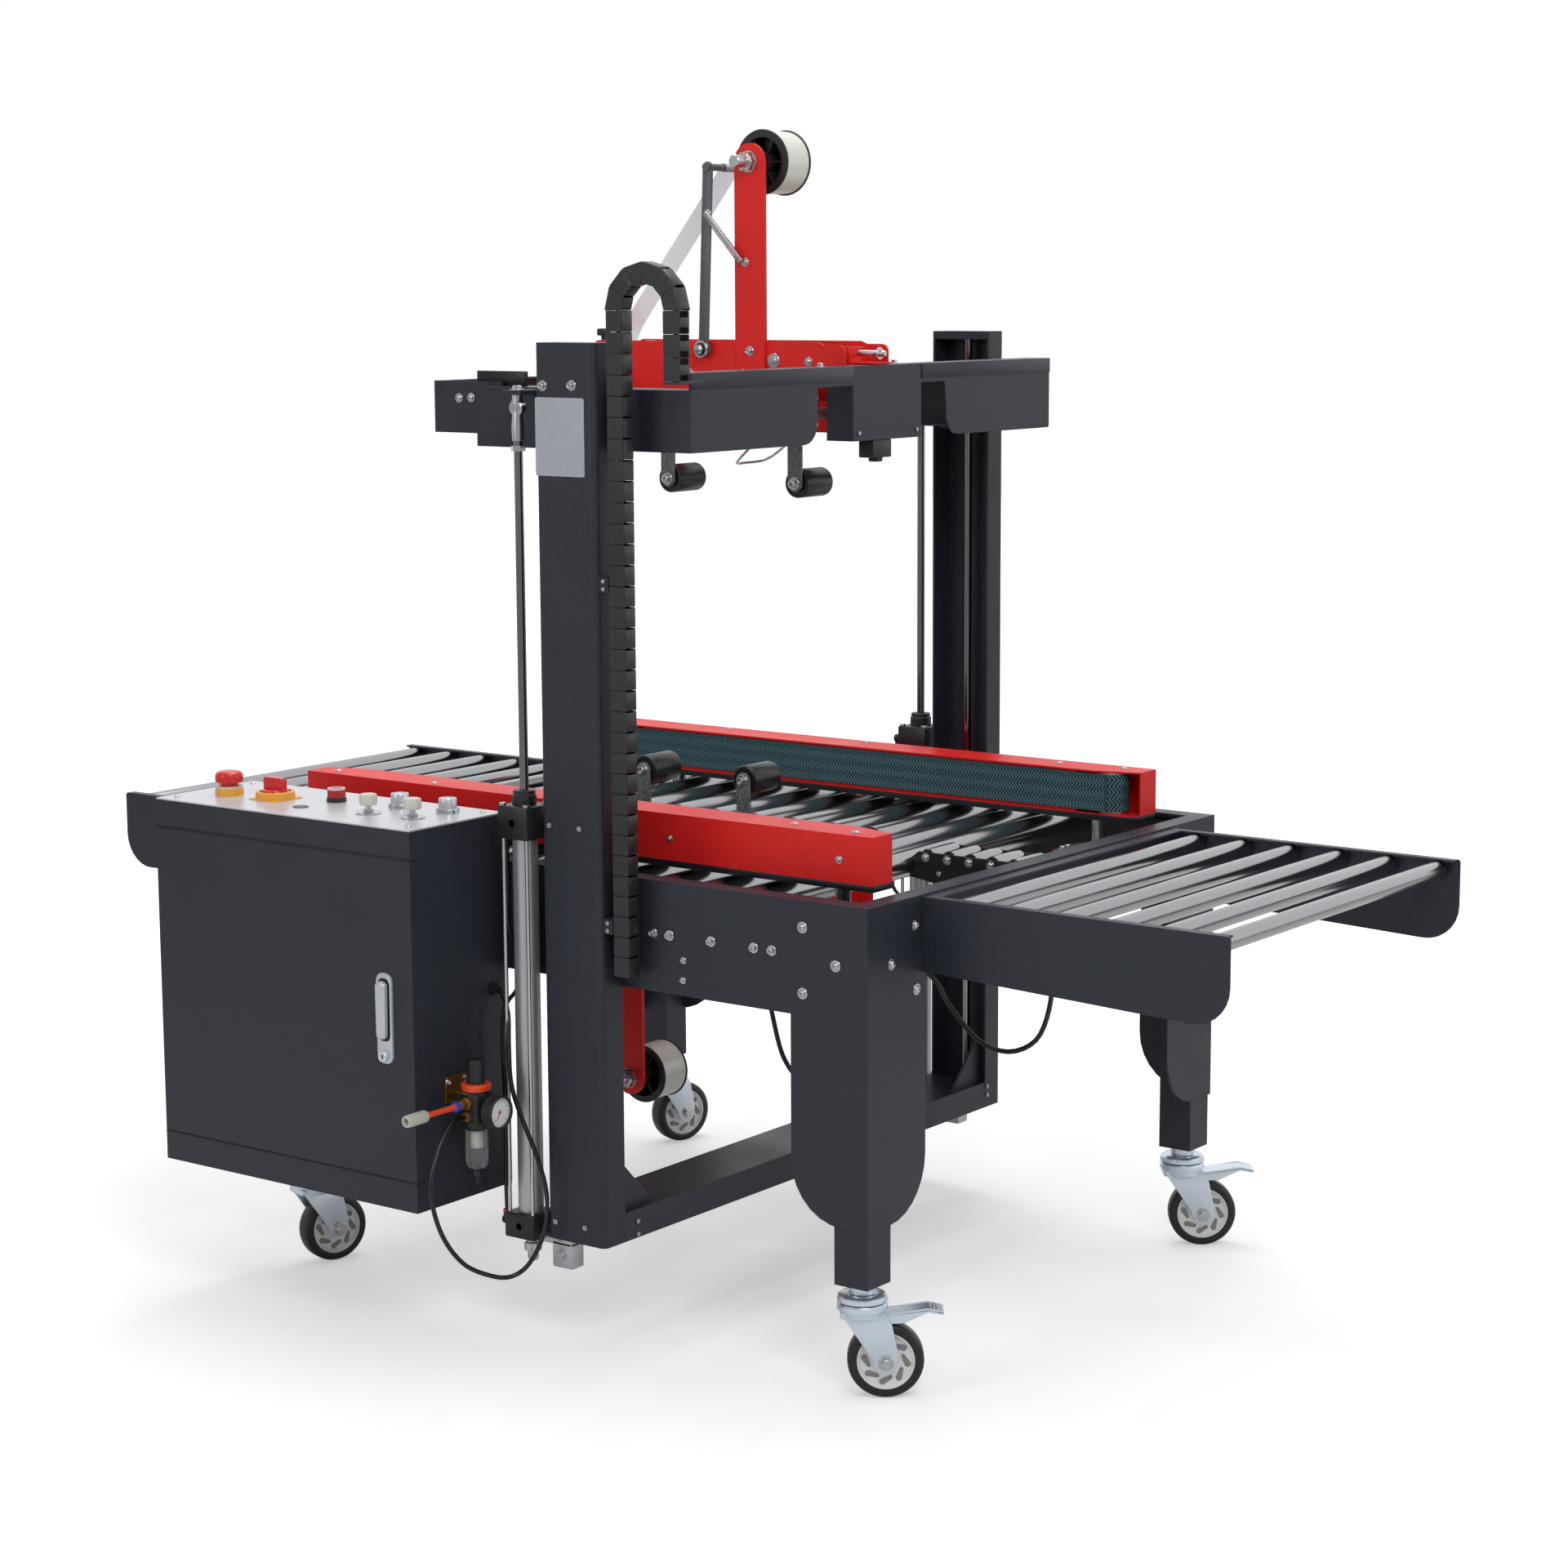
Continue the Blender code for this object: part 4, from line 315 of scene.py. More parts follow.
def link_outline(start: tuple, end: tuple, half: float, steps: int = 12,
                 end_half: float | None = None) -> Array:
    """A bar with round ends between two pivots: two half circles joined by straight edges.

    Args:
        start: First pivot.
        end: Second pivot.
        half: Half the width at the first pivot.
        steps: Chords in a half circle.
        end_half: Half the width at the second pivot, where it differs.

    Returns:
        The outline round both pivots.
    """
    heading = math.atan2(end[1] - start[1], end[0] - start[0])
    turn = np.linspace(0, np.pi, steps + 1)
    ends = [(end, heading - np.pi / 2, end_half or half), (start, heading + np.pi / 2, half)]
    arcs = [np.array(pivot) + radius * np.column_stack([np.cos(turn + first), np.sin(turn + first)])
            for pivot, first, radius in ends]
    return np.concatenate(arcs)


def tube(path: Array, radius: float, sides: int = 12) -> Shell:
    """A round section carried along a path: point = path + radius * (cos * side + sin * up).

    Args:
        path: The points along its middle.
        radius: Its radius, or one for each point.
        sides: Points round it.

    Returns:
        The closed tube as a shell.
    """
    path = np.array(path, float)
    heading = unit(np.gradient(path, axis=0))
    reference = np.eye(3)[int(np.argmin(np.abs(heading).max(axis=0)))]
    side = unit(np.cross(heading, reference))
    up = np.cross(side, heading)
    angle = np.arange(sides) * (2 * np.pi / sides)
    points = (path[:, None] + radius * (np.cos(angle)[None, :, None] * side[:, None]
                                        + np.sin(angle)[None, :, None] * up[:, None])).reshape(-1, 3)
    last = (len(path) - 1) * sides
    caps = np.stack([np.arange(sides)[::-1], last + np.arange(sides)])
    return Shell(points, (grid_faces(len(path), sides), caps))


def smooth_path(points: list, step: float) -> Array:
    """Points along a Catmull-Rom curve: the slope at a point is half the step between its neighbours.

    Args:
        points: The places it passes through.
        step: Distance between its points, in metres.

    Returns:
        The points along the curve.
    """
    spots = np.array(points, float)
    padded = np.concatenate([[2 * spots[0] - spots[1]], spots, [2 * spots[-1] - spots[-2]]])
    parts = [spots[:1]]
    for before, here, there, after in zip(padded, padded[1:], padded[2:], padded[3:]):
        count = max(1, round(float(np.linalg.norm(there - here)) / step))
        t = (np.arange(1, count + 1) / count)[:, None]
        parts.append(0.5 * (2 * here + (there - before) * t
                            + (2 * before - 5 * here + 4 * there - after) * t**2
                            + (3 * here - before - 3 * there + after) * t**3))
    return np.concatenate(parts)


def helix(start: Array, end: Array, radius: float, turns: float, steps: int = 14) -> Array:
    """A coil between two points: distance along the line grows evenly with the angle round it.

    Args:
        start: Where its axis begins.
        end: Where its axis ends.
        radius: Radius of its turns.
        turns: How many turns it makes.
        steps: Points in a turn.

    Returns:
        The points along the coil.
    """
    axes = axes_for(tuple(end - start))
    angle = np.linspace(0, turns * 2 * np.pi, int(turns * steps) + 1)
    share = (angle / angle[-1])[:, None]
    around = np.cos(angle)[:, None] * axes[0] + np.sin(angle)[:, None] * axes[1]
    return start + (end - start) * share + radius * around


def screw(place: Array, direction: Place, radius: float, head: Recess = Recess.CAP,
          washer: bool = True) -> list:
    """A fastener head with a six-sided recess, or six-sided outside, and the washer under it.

    Args:
        place: Centre of the face that it sits on.
        direction: The way its head points.
        radius: Radius of its head.
        head: The shape of its head and recess.
        washer: Whether a washer lies under it.

    Returns:
        The shells of the screw and its washer.
    """
    r = radius
    rise = 0.25 * r if washer else 0.0
    if head is Recess.CAP:
        rows = [(0, 0), (r, 0), (r, 0.95 * r), (0.9 * r, 1.05 * r), (0.62 * r, 1.05 * r),
                (0.5 * r, 1.0 * r, 1), (0.5 * r, 0.45 * r, 1), (0, 0.45 * r)]
    elif head is Recess.BUTTON:
        rows = [(0, 0), (r, 0), (r, 0.08 * r), (0.9 * r, 0.34 * r), (0.7 * r, 0.52 * r),
                (0.52 * r, 0.58 * r), (0.36 * r, 0.58 * r, 1), (0.36 * r, 0.2 * r, 1), (0, 0.2 * r)]
    else:
        rows = [(0, 0), (0.88 * r, 0, 1), (0.88 * r, 0.62 * r, 1), (0.84 * r, 0.72 * r), (0, 0.74 * r)]
    shells = [lathe([(row[0], row[1] + rise, *row[2:]) for row in rows], tuple(place), direction, 24)]
    if washer:
        w = 1.55 * r
        shells.append(lathe([(0, 0), (w, 0), (w, 0.16 * r), (w - 0.08 * r, rise), (0, rise)], tuple(place),
                            direction, 28))
    return shells


def screws(places: list, direction: Place, radius: float, head: Recess = Recess.CAP,
           washer: bool = True) -> list:
    """Several equal fasteners that point the same way."""
    return [shell for place in places for shell in screw(place, direction, radius, head, washer)]


def build_object(name: str, shells: list, sharp: float = 35.0) -> bpy.types.Object:
    """An object at the origin made of closed shells, doubles merged and faces turned outwards.

    Args:
        name: The object's name.
        shells: Its surfaces, which may pass through each other.
        sharp: Edges bent by more than this many degrees stay hard.

    Returns:
        The object, linked to the scene.
    """
    faces, offset = [], 0
    for shell in shells:
        for group in shell.faces:
            faces += (group + offset).tolist()
        offset += len(shell.points)
    mesh = bpy.data.meshes.new(name)
    mesh.from_pydata(np.concatenate([shell.points for shell in shells]).tolist(), [], faces)
    bm = bmesh.new()
    bm.from_mesh(mesh)
    bmesh.ops.remove_doubles(bm, verts=bm.verts, dist=1e-7)
    bmesh.ops.dissolve_degenerate(bm, edges=bm.edges, dist=1e-8)
    bmesh.ops.recalc_face_normals(bm, faces=bm.faces)
    bm.to_mesh(mesh)
    bm.free()
    mesh.shade_smooth()
    mesh.set_sharp_from_angle(angle=math.radians(sharp))
    thing = bpy.data.objects.new(name, mesh)
    bpy.context.scene.collection.objects.link(thing)
    return thing


# ---------------------------------------------------------------- finishes
def linear(hex_colour: str) -> tuple[float, float, float, float]:
    """An sRGB hex colour as linear light: below 0.04045 a straight line, above it a power of 2.4."""
    values = np.array([int(hex_colour[k:k + 2], 16) for k in (1, 3, 5)]) / 255
    light = np.where(values <= 0.04045, values / 12.92, ((values + 0.055) / 1.055) ** 2.4)
    return (*(float(value) for value in light), 1.0)


def add_node(tree: bpy.types.NodeTree, kind: str, settings: dict | None = None,
             links: dict | None = None) -> bpy.types.Node:
    """One node with its settings and links.

    Args:
        tree: Where it goes.
        kind: Its Blender type name.
        settings: Values by property name, or by input name or number.
        links: Output sockets by the input name or number that they feed.

    Returns:
        The node.
    """
    node = tree.nodes.new(kind)
    for key, value in (settings or {}).items():
        if isinstance(key, str) and key in node.bl_rna.properties:
            setattr(node, key, value)
        else:
            node.inputs[key].default_value = value
    for key, socket in (links or {}).items():
        tree.links.new(socket, node.inputs[key])
    return node


@dataclass(frozen=True)
class Finish:
    """A surface finish: what it is called, its colour and how it shines.

    The plain class is moulded plastic or gloss paint with a faint unevenness.
    """

    name: str
    colour: str
    roughness: float
    metallic: float = 0.0
    grain_mm: float = 3.0
    depth_mm: float = 0.02
    drift: float = 0.06
    coat: float = 0.0
    ior: float = 1.5
    streak: Place = (1.0, 1.0, 1.0)
    edge_mm: float = 0.0
    shine_spread: float = 0.3

    def material(self) -> bpy.types.Material:
        """The finish's material, made the first time that it is asked for."""
        found = bpy.data.materials.get(self.name)
        return found if found is not None else self.make()

    def make(self) -> bpy.types.Material:
        """Base shader with the finish's colour drift, uneven shine and surface grain.

        Returns:
            The finished material.
        """
        made = bpy.data.materials.new(self.name)
        made.use_nodes = True
        tree = made.node_tree
        shader = tree.nodes["Principled BSDF"]
        shader.inputs["Metallic"].default_value = self.metallic
        shader.inputs["Coat Weight"].default_value = self.coat
        shader.inputs["Coat Roughness"].default_value = 0.12
        if self.metallic < 0.5:
            shader.inputs["IOR"].default_value = self.ior
        made.diffuse_color = linear(self.colour)
        place = add_node(tree, "ShaderNodeTexCoord").outputs["Object"]
        self.pattern(tree, shader, place)
        return made

    def pattern(self, tree: bpy.types.NodeTree, shader: bpy.types.Node,
                place: bpy.types.NodeSocket) -> None:
        """Grain, colour drift and shine from stretched noise.

        Args:
            tree: The material's nodes.
            shader: The surface that they drive.
            place: The position that the pattern is worked out from.
        """
        stretched = add_node(tree, "ShaderNodeMapping", {"Scale": self.streak},
                             {"Vector": place}).outputs[0]
        grain = add_node(tree, "ShaderNodeTexNoise", {"Scale": 1000 / self.grain_mm, "Detail": 3.0},
                         {"Vector": stretched}).outputs[0]
        broad = add_node(tree, "ShaderNodeTexNoise", {"Scale": 7.0, "Detail": 4.0},
                         {"Vector": stretched}).outputs[0]
        self.tint(tree, shader, broad, grain)
        shine = add_node(tree, "ShaderNodeMath", {"operation": "ADD"}, {0: grain, 1: broad}).outputs[0]
        spread = self.shine_spread * self.roughness
        rough = add_node(tree, "ShaderNodeMapRange", {1: 0.6, 2: 1.4, 3: self.roughness - spread,
                                                      4: self.roughness + spread}, {0: shine}).outputs[0]
        tree.links.new(rough, shader.inputs["Roughness"])
        feeds = {"Height": grain}
        if self.edge_mm:
            feeds["Normal"] = add_node(tree, "ShaderNodeBevel",
                                       {"samples": 4, "Radius": self.edge_mm * MM}).outputs[0]
        bump = add_node(tree, "ShaderNodeBump", {"Strength": 0.6, "Distance": self.depth_mm * MM}, feeds)
        tree.links.new(bump.outputs[0], shader.inputs["Normal"])

    def tint(self, tree: bpy.types.NodeTree, shader: bpy.types.Node, broad: bpy.types.NodeSocket,
             grain: bpy.types.NodeSocket) -> None:
        """Base colour that drifts a little lighter and darker across the surface.

        Args:
            tree: The material's nodes.
            shader: The surface that they drive.
            broad: The slow noise.
            grain: The fine noise; not used.
        """
        base = np.array(linear(self.colour)[:3])
        low, high = (*(base * (1 - self.drift)), 1.0), (*np.minimum(base * (1 + self.drift), 1.0), 1.0)
        share = add_node(tree, "ShaderNodeMapRange", {1: 0.35, 2: 0.65}, {0: broad}).outputs[0]
        mixed = add_node(tree, "ShaderNodeMix", {"data_type": "RGBA", 6: low, 7: high},
                         {0: share}).outputs[2]
        tree.links.new(mixed, shader.inputs["Base Color"])


@dataclass(frozen=True)
class PowderCoat(Finish):
    """Sheet steel with a baked powder coat: fine orange-peel pits, each catching a speck of light."""

    grain_mm: float = 2.2
    depth_mm: float = 0.16
    drift: float = 0.05
    edge_mm: float = 1.2
    speckle: float = 0.16

    def tint(self, tree: bpy.types.NodeTree, shader: bpy.types.Node, broad: bpy.types.NodeSocket,
             grain: bpy.types.NodeSocket) -> None:
        """Colour that drifts slowly and is speckled where the powder lies thicker.

        Args:
            tree: The material's nodes.
            shader: The surface that they drive.
            broad: The slow noise.
            grain: The fine noise.
        """
        base = np.array(linear(self.colour)[:3])
        low, high = (*(base * (1 - self.speckle)), 1.0), (*np.minimum(base * (1 + self.speckle), 1.0), 1.0)
        both = add_node(tree, "ShaderNodeMath", {"operation": "MULTIPLY_ADD", 1: 0.4},
                        {0: broad, 2: grain}).outputs[0]
        share = add_node(tree, "ShaderNodeMapRange", {1: 0.5, 2: 0.9}, {0: both}).outputs[0]
        mixed = add_node(tree, "ShaderNodeMix", {"data_type": "RGBA", 6: low, 7: high},
                         {0: share}).outputs[2]
        tree.links.new(mixed, shader.inputs["Base Color"])


@dataclass(frozen=True)
class Hammered(Finish):
    """Cast or hammer-painted metal: rounded cells a few millimetres wide."""

    def pattern(self, tree: bpy.types.NodeTree, shader: bpy.types.Node,
                place: bpy.types.NodeSocket) -> None:
        """Cells from the distance to scattered points, used for height, colour and shine.

        Args:
            tree: The material's nodes.
            shader: The surface that they drive.
            place: The position that the pattern is worked out from.
        """
        cells = add_node(tree, "ShaderNodeTexVoronoi",
                         {"Scale": 1000 / self.grain_mm, "feature": "SMOOTH_F1", "Smoothness": 0.7},
                         {"Vector": place}).outputs[0]
        self.tint(tree, shader, cells, cells)
        rough = add_node(tree, "ShaderNodeMapRange", {3: self.roughness * 0.7, 4: self.roughness * 1.3},
                         {0: cells}).outputs[0]
        tree.links.new(rough, shader.inputs["Roughness"])
        bump = add_node(tree, "ShaderNodeBump", {"Strength": 0.8, "Distance": self.depth_mm * MM},
                        {"Height": cells})
        tree.links.new(bump.outputs[0], shader.inputs["Normal"])


@dataclass(frozen=True)
class WovenBelt(Finish):
    """Polyurethane belt with a woven V relief; the ribs are drawn 6 mm apart, their crests a lighter teal
    as painted highlight, so that they show.
    """

    rib_highlight_colour: str = "#4f8d9b"

    def pattern(self, tree: bpy.types.NodeTree, shader: bpy.types.Node,
                place: bpy.types.NodeSocket) -> None:
        """Ribs that zigzag: the sine of the length plus the folded height, along the belt's own map.

        Args:
            tree: The material's nodes.
            shader: The surface that they drive.
            place: Not used; the ribs follow the belt's own map.
        """
        flat = add_node(tree, "ShaderNodeUVMap", {"uv_map": "belt"}).outputs[0]
        parts = add_node(tree, "ShaderNodeSeparateXYZ", None, {0: flat})
        pitch, fold = self.grain_mm * MM, 1.5 * self.grain_mm * MM
        folded = add_node(tree, "ShaderNodeMath", {"operation": "PINGPONG", 1: fold},
                          {0: parts.outputs[1]}).outputs[0]
        lean = add_node(tree, "ShaderNodeMath", {"operation": "MULTIPLY_ADD", 1: 0.9},
                        {0: folded, 2: parts.outputs[0]}).outputs[0]
        angle = add_node(tree, "ShaderNodeMath", {"operation": "MULTIPLY", 1: 2 * math.pi / pitch},
                         {0: lean}).outputs[0]
        wave = add_node(tree, "ShaderNodeMath", {"operation": "SINE"}, {0: angle}).outputs[0]
        rows = add_node(tree, "ShaderNodeMath", {"operation": "MULTIPLY", 1: math.pi / fold},
                        {0: parts.outputs[1]}).outputs[0]
        ridge = add_node(tree, "ShaderNodeMath", {"operation": "COSINE"}, {0: rows}).outputs[0]
        height = add_node(tree, "ShaderNodeMath", {"operation": "MULTIPLY_ADD", 1: 0.35},
                          {0: ridge, 2: wave}).outputs[0]
        # Lighter teal where the sine peaks, on the rib crests: painted highlight.
        share = add_node(tree, "ShaderNodeMapRange", {1: -0.15, 2: 0.85}, {0: wave}).outputs[0]
        mixed = add_node(tree, "ShaderNodeMix", {"data_type": "RGBA", 6: linear(self.colour),
                                                 7: linear(self.rib_highlight_colour)}, {0: share}).outputs[2]
        tree.links.new(mixed, shader.inputs["Base Color"])
        shader.inputs["Roughness"].default_value = self.roughness
        bump = add_node(tree, "ShaderNodeBump", {"Strength": 0.8, "Distance": self.depth_mm * MM},
                        {"Height": height})
        tree.links.new(bump.outputs[0], shader.inputs["Normal"])


@dataclass(frozen=True)
class WoundFilm(Finish):
    """Film wound on a core: rings a millimetre apart on its ends, faint bands along its width."""

    centre: Place = (0.0, 0.0, 0.0)

    def pattern(self, tree: bpy.types.NodeTree, shader: bpy.types.Node,
                place: bpy.types.NodeSocket) -> None:
        """Rings from the sine of the distance to the roll's axis.

        Args:
            tree: The material's nodes.
            shader: The surface that they drive.
            place: The position that the pattern is worked out from.
        """
        centred = add_node(tree, "ShaderNodeMapping", {"Location": tuple(-value for value in self.centre)},
                           {"Vector": place}).outputs[0]
        across = add_node(tree, "ShaderNodeVectorMath", {"operation": "MULTIPLY", 1: (1.0, 0.0, 1.0)},
                          {0: centred}).outputs[0]
        distance = add_node(tree, "ShaderNodeVectorMath", {"operation": "LENGTH"}, {0: across}).outputs[1]
        angle = add_node(tree, "ShaderNodeMath",
                         {"operation": "MULTIPLY", 1: 2 * math.pi / (self.grain_mm * MM)},
                         {0: distance}).outputs[0]
        wave = add_node(tree, "ShaderNodeMath", {"operation": "SINE"}, {0: angle}).outputs[0]
        self.tint(tree, shader, wave, wave)
        shader.inputs["Roughness"].default_value = self.roughness
        shader.inputs["Subsurface Weight"].default_value = 0.1
        bump = add_node(tree, "ShaderNodeBump", {"Strength": 0.4, "Distance": self.depth_mm * MM},
                        {"Height": wave})
        tree.links.new(bump.outputs[0], shader.inputs["Normal"])


@dataclass(frozen=True)
class Clear(Finish):
    """Clear plastic or film: light passes through, and the edges show its tint."""

    see_through: float = 0.9
    alpha: float = 1.0

    def pattern(self, tree: bpy.types.NodeTree, shader: bpy.types.Node,
                place: bpy.types.NodeSocket) -> None:
        """Transmission with a trace of flow marks in the shine.

        Args:
            tree: The material's nodes.
            shader: The surface that they drive.
            place: The position that the pattern is worked out from.
        """
        marks = add_node(tree, "ShaderNodeTexNoise", {"Scale": 1000 / self.grain_mm},
                         {"Vector": place}).outputs[0]
        rough = add_node(tree, "ShaderNodeMapRange", {3: self.roughness * 0.6, 4: self.roughness * 1.4},
                         {0: marks}).outputs[0]
        tree.links.new(rough, shader.inputs["Roughness"])
        shader.inputs["Base Color"].default_value = linear(self.colour)
        shader.inputs["Transmission Weight"].default_value = self.see_through
        shader.inputs["Alpha"].default_value = self.alpha


# Blue-black polyester powder coat: a satin whose 2.2 mm orange peel catches specks of light.
CHARCOAL = PowderCoat("charcoal_powder_coat", "#2a2d38", 0.42, ior=1.42)
# The same process in signal red, with a fainter speckle, so that the colour stays clean.
RED_COAT = PowderCoat("red_powder_coat", "#e92420", 0.42, speckle=0.08, ior=1.36)
# Roller tubes: long soft streaks where they were ground along their length.
CHROME = Finish("ground_chrome_tube", "#a6a8ab", 0.20, 1.0, 6.0, 0.0, 0.04, streak=(3.0, 0.12, 3.0),
                shine_spread=0.03)
# Piston rods and guide shafts: darker and sharper, streaked along Z.
ROD_CHROME = Finish("hard_chrome_rod", "#8b8e93", 0.12, 1.0, 5.0, 0.0, 0.04, streak=(3.0, 3.0, 0.1),
                    shine_spread=0.05)
# Caster forks, pedals and the door lock: bluish passivated zinc with a cloudy bloom 12 mm wide.
ZINC = Finish("blue_bright_zinc", "#dbe6f1", 0.26, 0.8, 12.0, 0.0, 0.03, shine_spread=0.06)
# Fasteners, pins and small turned parts: an even, bright plate.
STEEL = Finish("nickel_plated_steel", "#c3c5c8", 0.26, 1.0, 4.0, 0.0, 0.04, shine_spread=0.08)
# Base plates, slides, hinges and bearing seals: oxide black with a low metal shine. The same finish is
# painted shade in the door handle's recess.
DARK_STEEL = Finish("blackened_steel_and_painted_shade", "#2b2c30", 0.38, 0.55, 2.5, 0.03, 0.12)
# Cylinder barrels and belt pulleys: a matt silver drawn along the tube.
ALUMINIUM = Finish("anodised_aluminium_tube", "#c0c2c6", 0.42, 0.8, 3.0, 0.01, 0.04,
                   streak=(2.0, 2.0, 0.08))
# Press arms: grey hammer-painted casting with 3.2 mm cells.
CAST = Hammered("hammered_grey_casting", "#6b6d70", 0.42, 0.45, 3.2, 0.45, 0.3)
# Tension lever, window plate and panel plug: dull grey with a trace of shine.
GREY_LEVER = Finish("phosphated_steel", "#606368", 0.45, 0.35, 3.0, 0.02, 0.06)
# Press rollers and wiring: near-black rubber, slightly glossy. The same black is painted shade in the
# head's window slots, the lock's keyway and the door's seams.
RUBBER_AND_SHADE = Finish("moulded_rubber_and_painted_shade", "#121315", 0.36, 0.0, 2.5, 0.03, 0.10)
# Caster tyres: a harder, duller black.
TYRE = Finish("polyurethane_tyre", "#17181b", 0.42, 0.0, 3.0, 0.03, 0.10)
# Air hose and air lines: the glossiest black, with long highlights.
HOSE = Finish("polyurethane_hose", "#0e0f10", 0.22, 0.0, 8.0, 0.02, 0.10)
# Fittings, roll cores and cylinder caps: nylon with a 1.8 mm grain. The same black is painted shade in the
# tables' roller notches.
BLACK = Finish("glass_filled_nylon_and_painted_shade", "#1b1d20", 0.46, 0.0, 1.8, 0.06, 0.12)
# Cable chain: a greyer nylon than the fittings.
CHAIN_BLACK = Finish("moulded_chain_nylon", "#26282c", 0.38, 0.0, 2.0, 0.05, 0.12)
# Caster rims, off-white, and dark ovals of painted shade in their hollows.
RIM = Finish("moulded_polypropylene_rim", "#eceded", 0.42, 0.0, 3.0, 0.03, 0.05)
POCKET_SHADE = Finish("rim_pocket_shade", "#8b8a86", 0.6, 0.0, 3.0, 0.02, 0.05)
# Control panel: pale sheet brushed along the machine.
PANEL = Finish("brushed_panel_sheet", "#d3d6dc", 0.28, 0.25, 2.0, 0.004, 0.03, streak=(0.05, 3.0, 1.0),
               shine_spread=0.1)
# Door handle and push buttons: satin silver.
HANDLE = Finish("satin_zinc_casting", "#ccd1d7", 0.34, 0.6, 4.0, 0.004, 0.03, shine_spread=0.08)
# Speed knobs: warm white plastic.
CREAM = Finish("moulded_abs_cream", "#d9d6ca", 0.32, 0.0, 3.0, 0.02, 0.03)
# Emergency stop, switch and line collars: glossy signal red under a thin clear layer.
SIGNAL_RED = Finish("moulded_red_control", "#d81f1b", 0.30, 0.0, 3.0, 0.02, 0.05, coat=0.3)
# Lamp lens and gauge pointer: a deeper red.
DARK_RED = Finish("moulded_dark_red", "#b01c1e", 0.30, 0.0, 3.0, 0.01, 0.04)
# Rings under the emergency stop and the switch.
YELLOW = Finish("moulded_yellow_base", "#f0ab3a", 0.36, 0.0, 3.0, 0.01, 0.03)
# Orange air inlet tube and regulator ring, and the inlet's blue release collar.
ORANGE = Finish("orange_air_tube", "#f0512a", 0.30, 0.0, 3.0, 0.02, 0.04)
BLUE = Finish("blue_release_collar", "#2d4fc4", 0.34, 0.0, 3.0, 0.02, 0.04)
# Regulator bracket and fittings: a golden film that drifts from place to place.
YELLOW_ZINC = Finish("yellow_passivated_zinc", "#8f6c34", 0.36, 0.85, 3.0, 0.04, 0.22)
# Inlet coupler and filter element: pale, greenish plastic.
COUPLER = Finish("pale_acetal", "#c5c4b8", 0.40, 0.0, 3.0, 0.02, 0.04)
# White gauge dial and switch pointer, and the bare grey plate on the near column.
WHITE = Finish("printed_dial_white", "#fafbfc", 0.35, 0.0, 3.0, 0.01, 0.02)
PLATE = Finish("plain_plate_sheet", "#b3b9c3", 0.38, 0.5, 8.0, 0.0, 0.02)
# Side belts: dark blue-green, with lighter teal on ribs 6 mm apart as painted highlight.
BELT = WovenBelt("woven_polyurethane_belt", "#06161b", 0.55, 0.0, 6.0, 0.9)
# Clear parts: the filter's bowl, the gauge's window, and the film between roll and cartridge.
BOWL = Clear("clear_polycarbonate", "#f6f9fb", 0.05, 0.0, ior=1.35, alpha=0.42)
LENS = Clear("gauge_window", "#ffffff", 0.03, 0.0, ior=1.3, alpha=0.14)
FILM = Clear("packing_film", "#e8ebf5", 0.14, 0.0, ior=1.35, see_through=0.35, alpha=0.5)


# ---------------------------------------------------------------- sub-assemblies
@dataclass
class Assembly:
    """What every sub-assembly can do: add a piece, or give a node of the model its finish."""

    def add(self, name: str, shells: list, finish: Finish, body: str = Body.FRAME, slot: str | None = None,
            replaces: tuple = (), sharp: float = 35.0) -> bpy.types.Object:
        """One piece with its finish, tied to a body.

        Args:
            name: The piece's name.
            shells: Its closed surfaces.
            finish: What it is made of.
            body: The body that it moves with, or "" for a piece left loose.
            slot: The record's material slot, if it has one; not used.
            replaces: Nodes of the model that it stands for.
            sharp: Bend in degrees above which an edge stays hard.

        Returns:
            The object.
        """
        thing = build_object(name, shells, sharp)
        thing.data.materials.append(finish.material())
        if body:
            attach(thing, body.value if isinstance(body, Body) else body)
        if replaces:
            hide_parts(*replaces)
        return thing

    def dress(self, finish: Finish, *nodes: str) -> None:
        """Give nodes of the model a finish.

        Args:
            finish: The finish to lay on them.
            nodes: Their names in the frame.
        """
        for node in nodes:
            mesh = frame["nodes"][node].data
            mesh.materials.clear()
            mesh.materials.append(finish.material())

    def build(self) -> int:
        """Build and dress everything; returns the number of pieces added."""
        before = len(bpy.data.objects)
        self.shape()
        return len(bpy.data.objects) - before

    def shape(self) -> None:
        """Build the pieces."""
        raise NotImplementedError


def roller_profile(radius: float, length: float, bearing: float) -> list:
    """Half section of a conveyor roller along its axis: rolled rims and a recessed bearing at each end.

    Args:
        radius: Radius of its tube.
        length: Length of its tube.
        bearing: Radius of the bearing in its end.

    Returns:
        Radius and height pairs from one end to the other.
    """
    end = [(0, 0.0030), (0.45 * bearing, 0.0030), (0.45 * bearing, 0.0008), (0.9 * bearing, 0.0008),
           (bearing, 0.0018), (radius - 0.0016, 0.0018), (radius - 0.0013, 0), (radius - 0.0003, 0.0002),
           (radius, 0.0016)]
    return end + [(r, length - z) for r, z in reversed(end)]


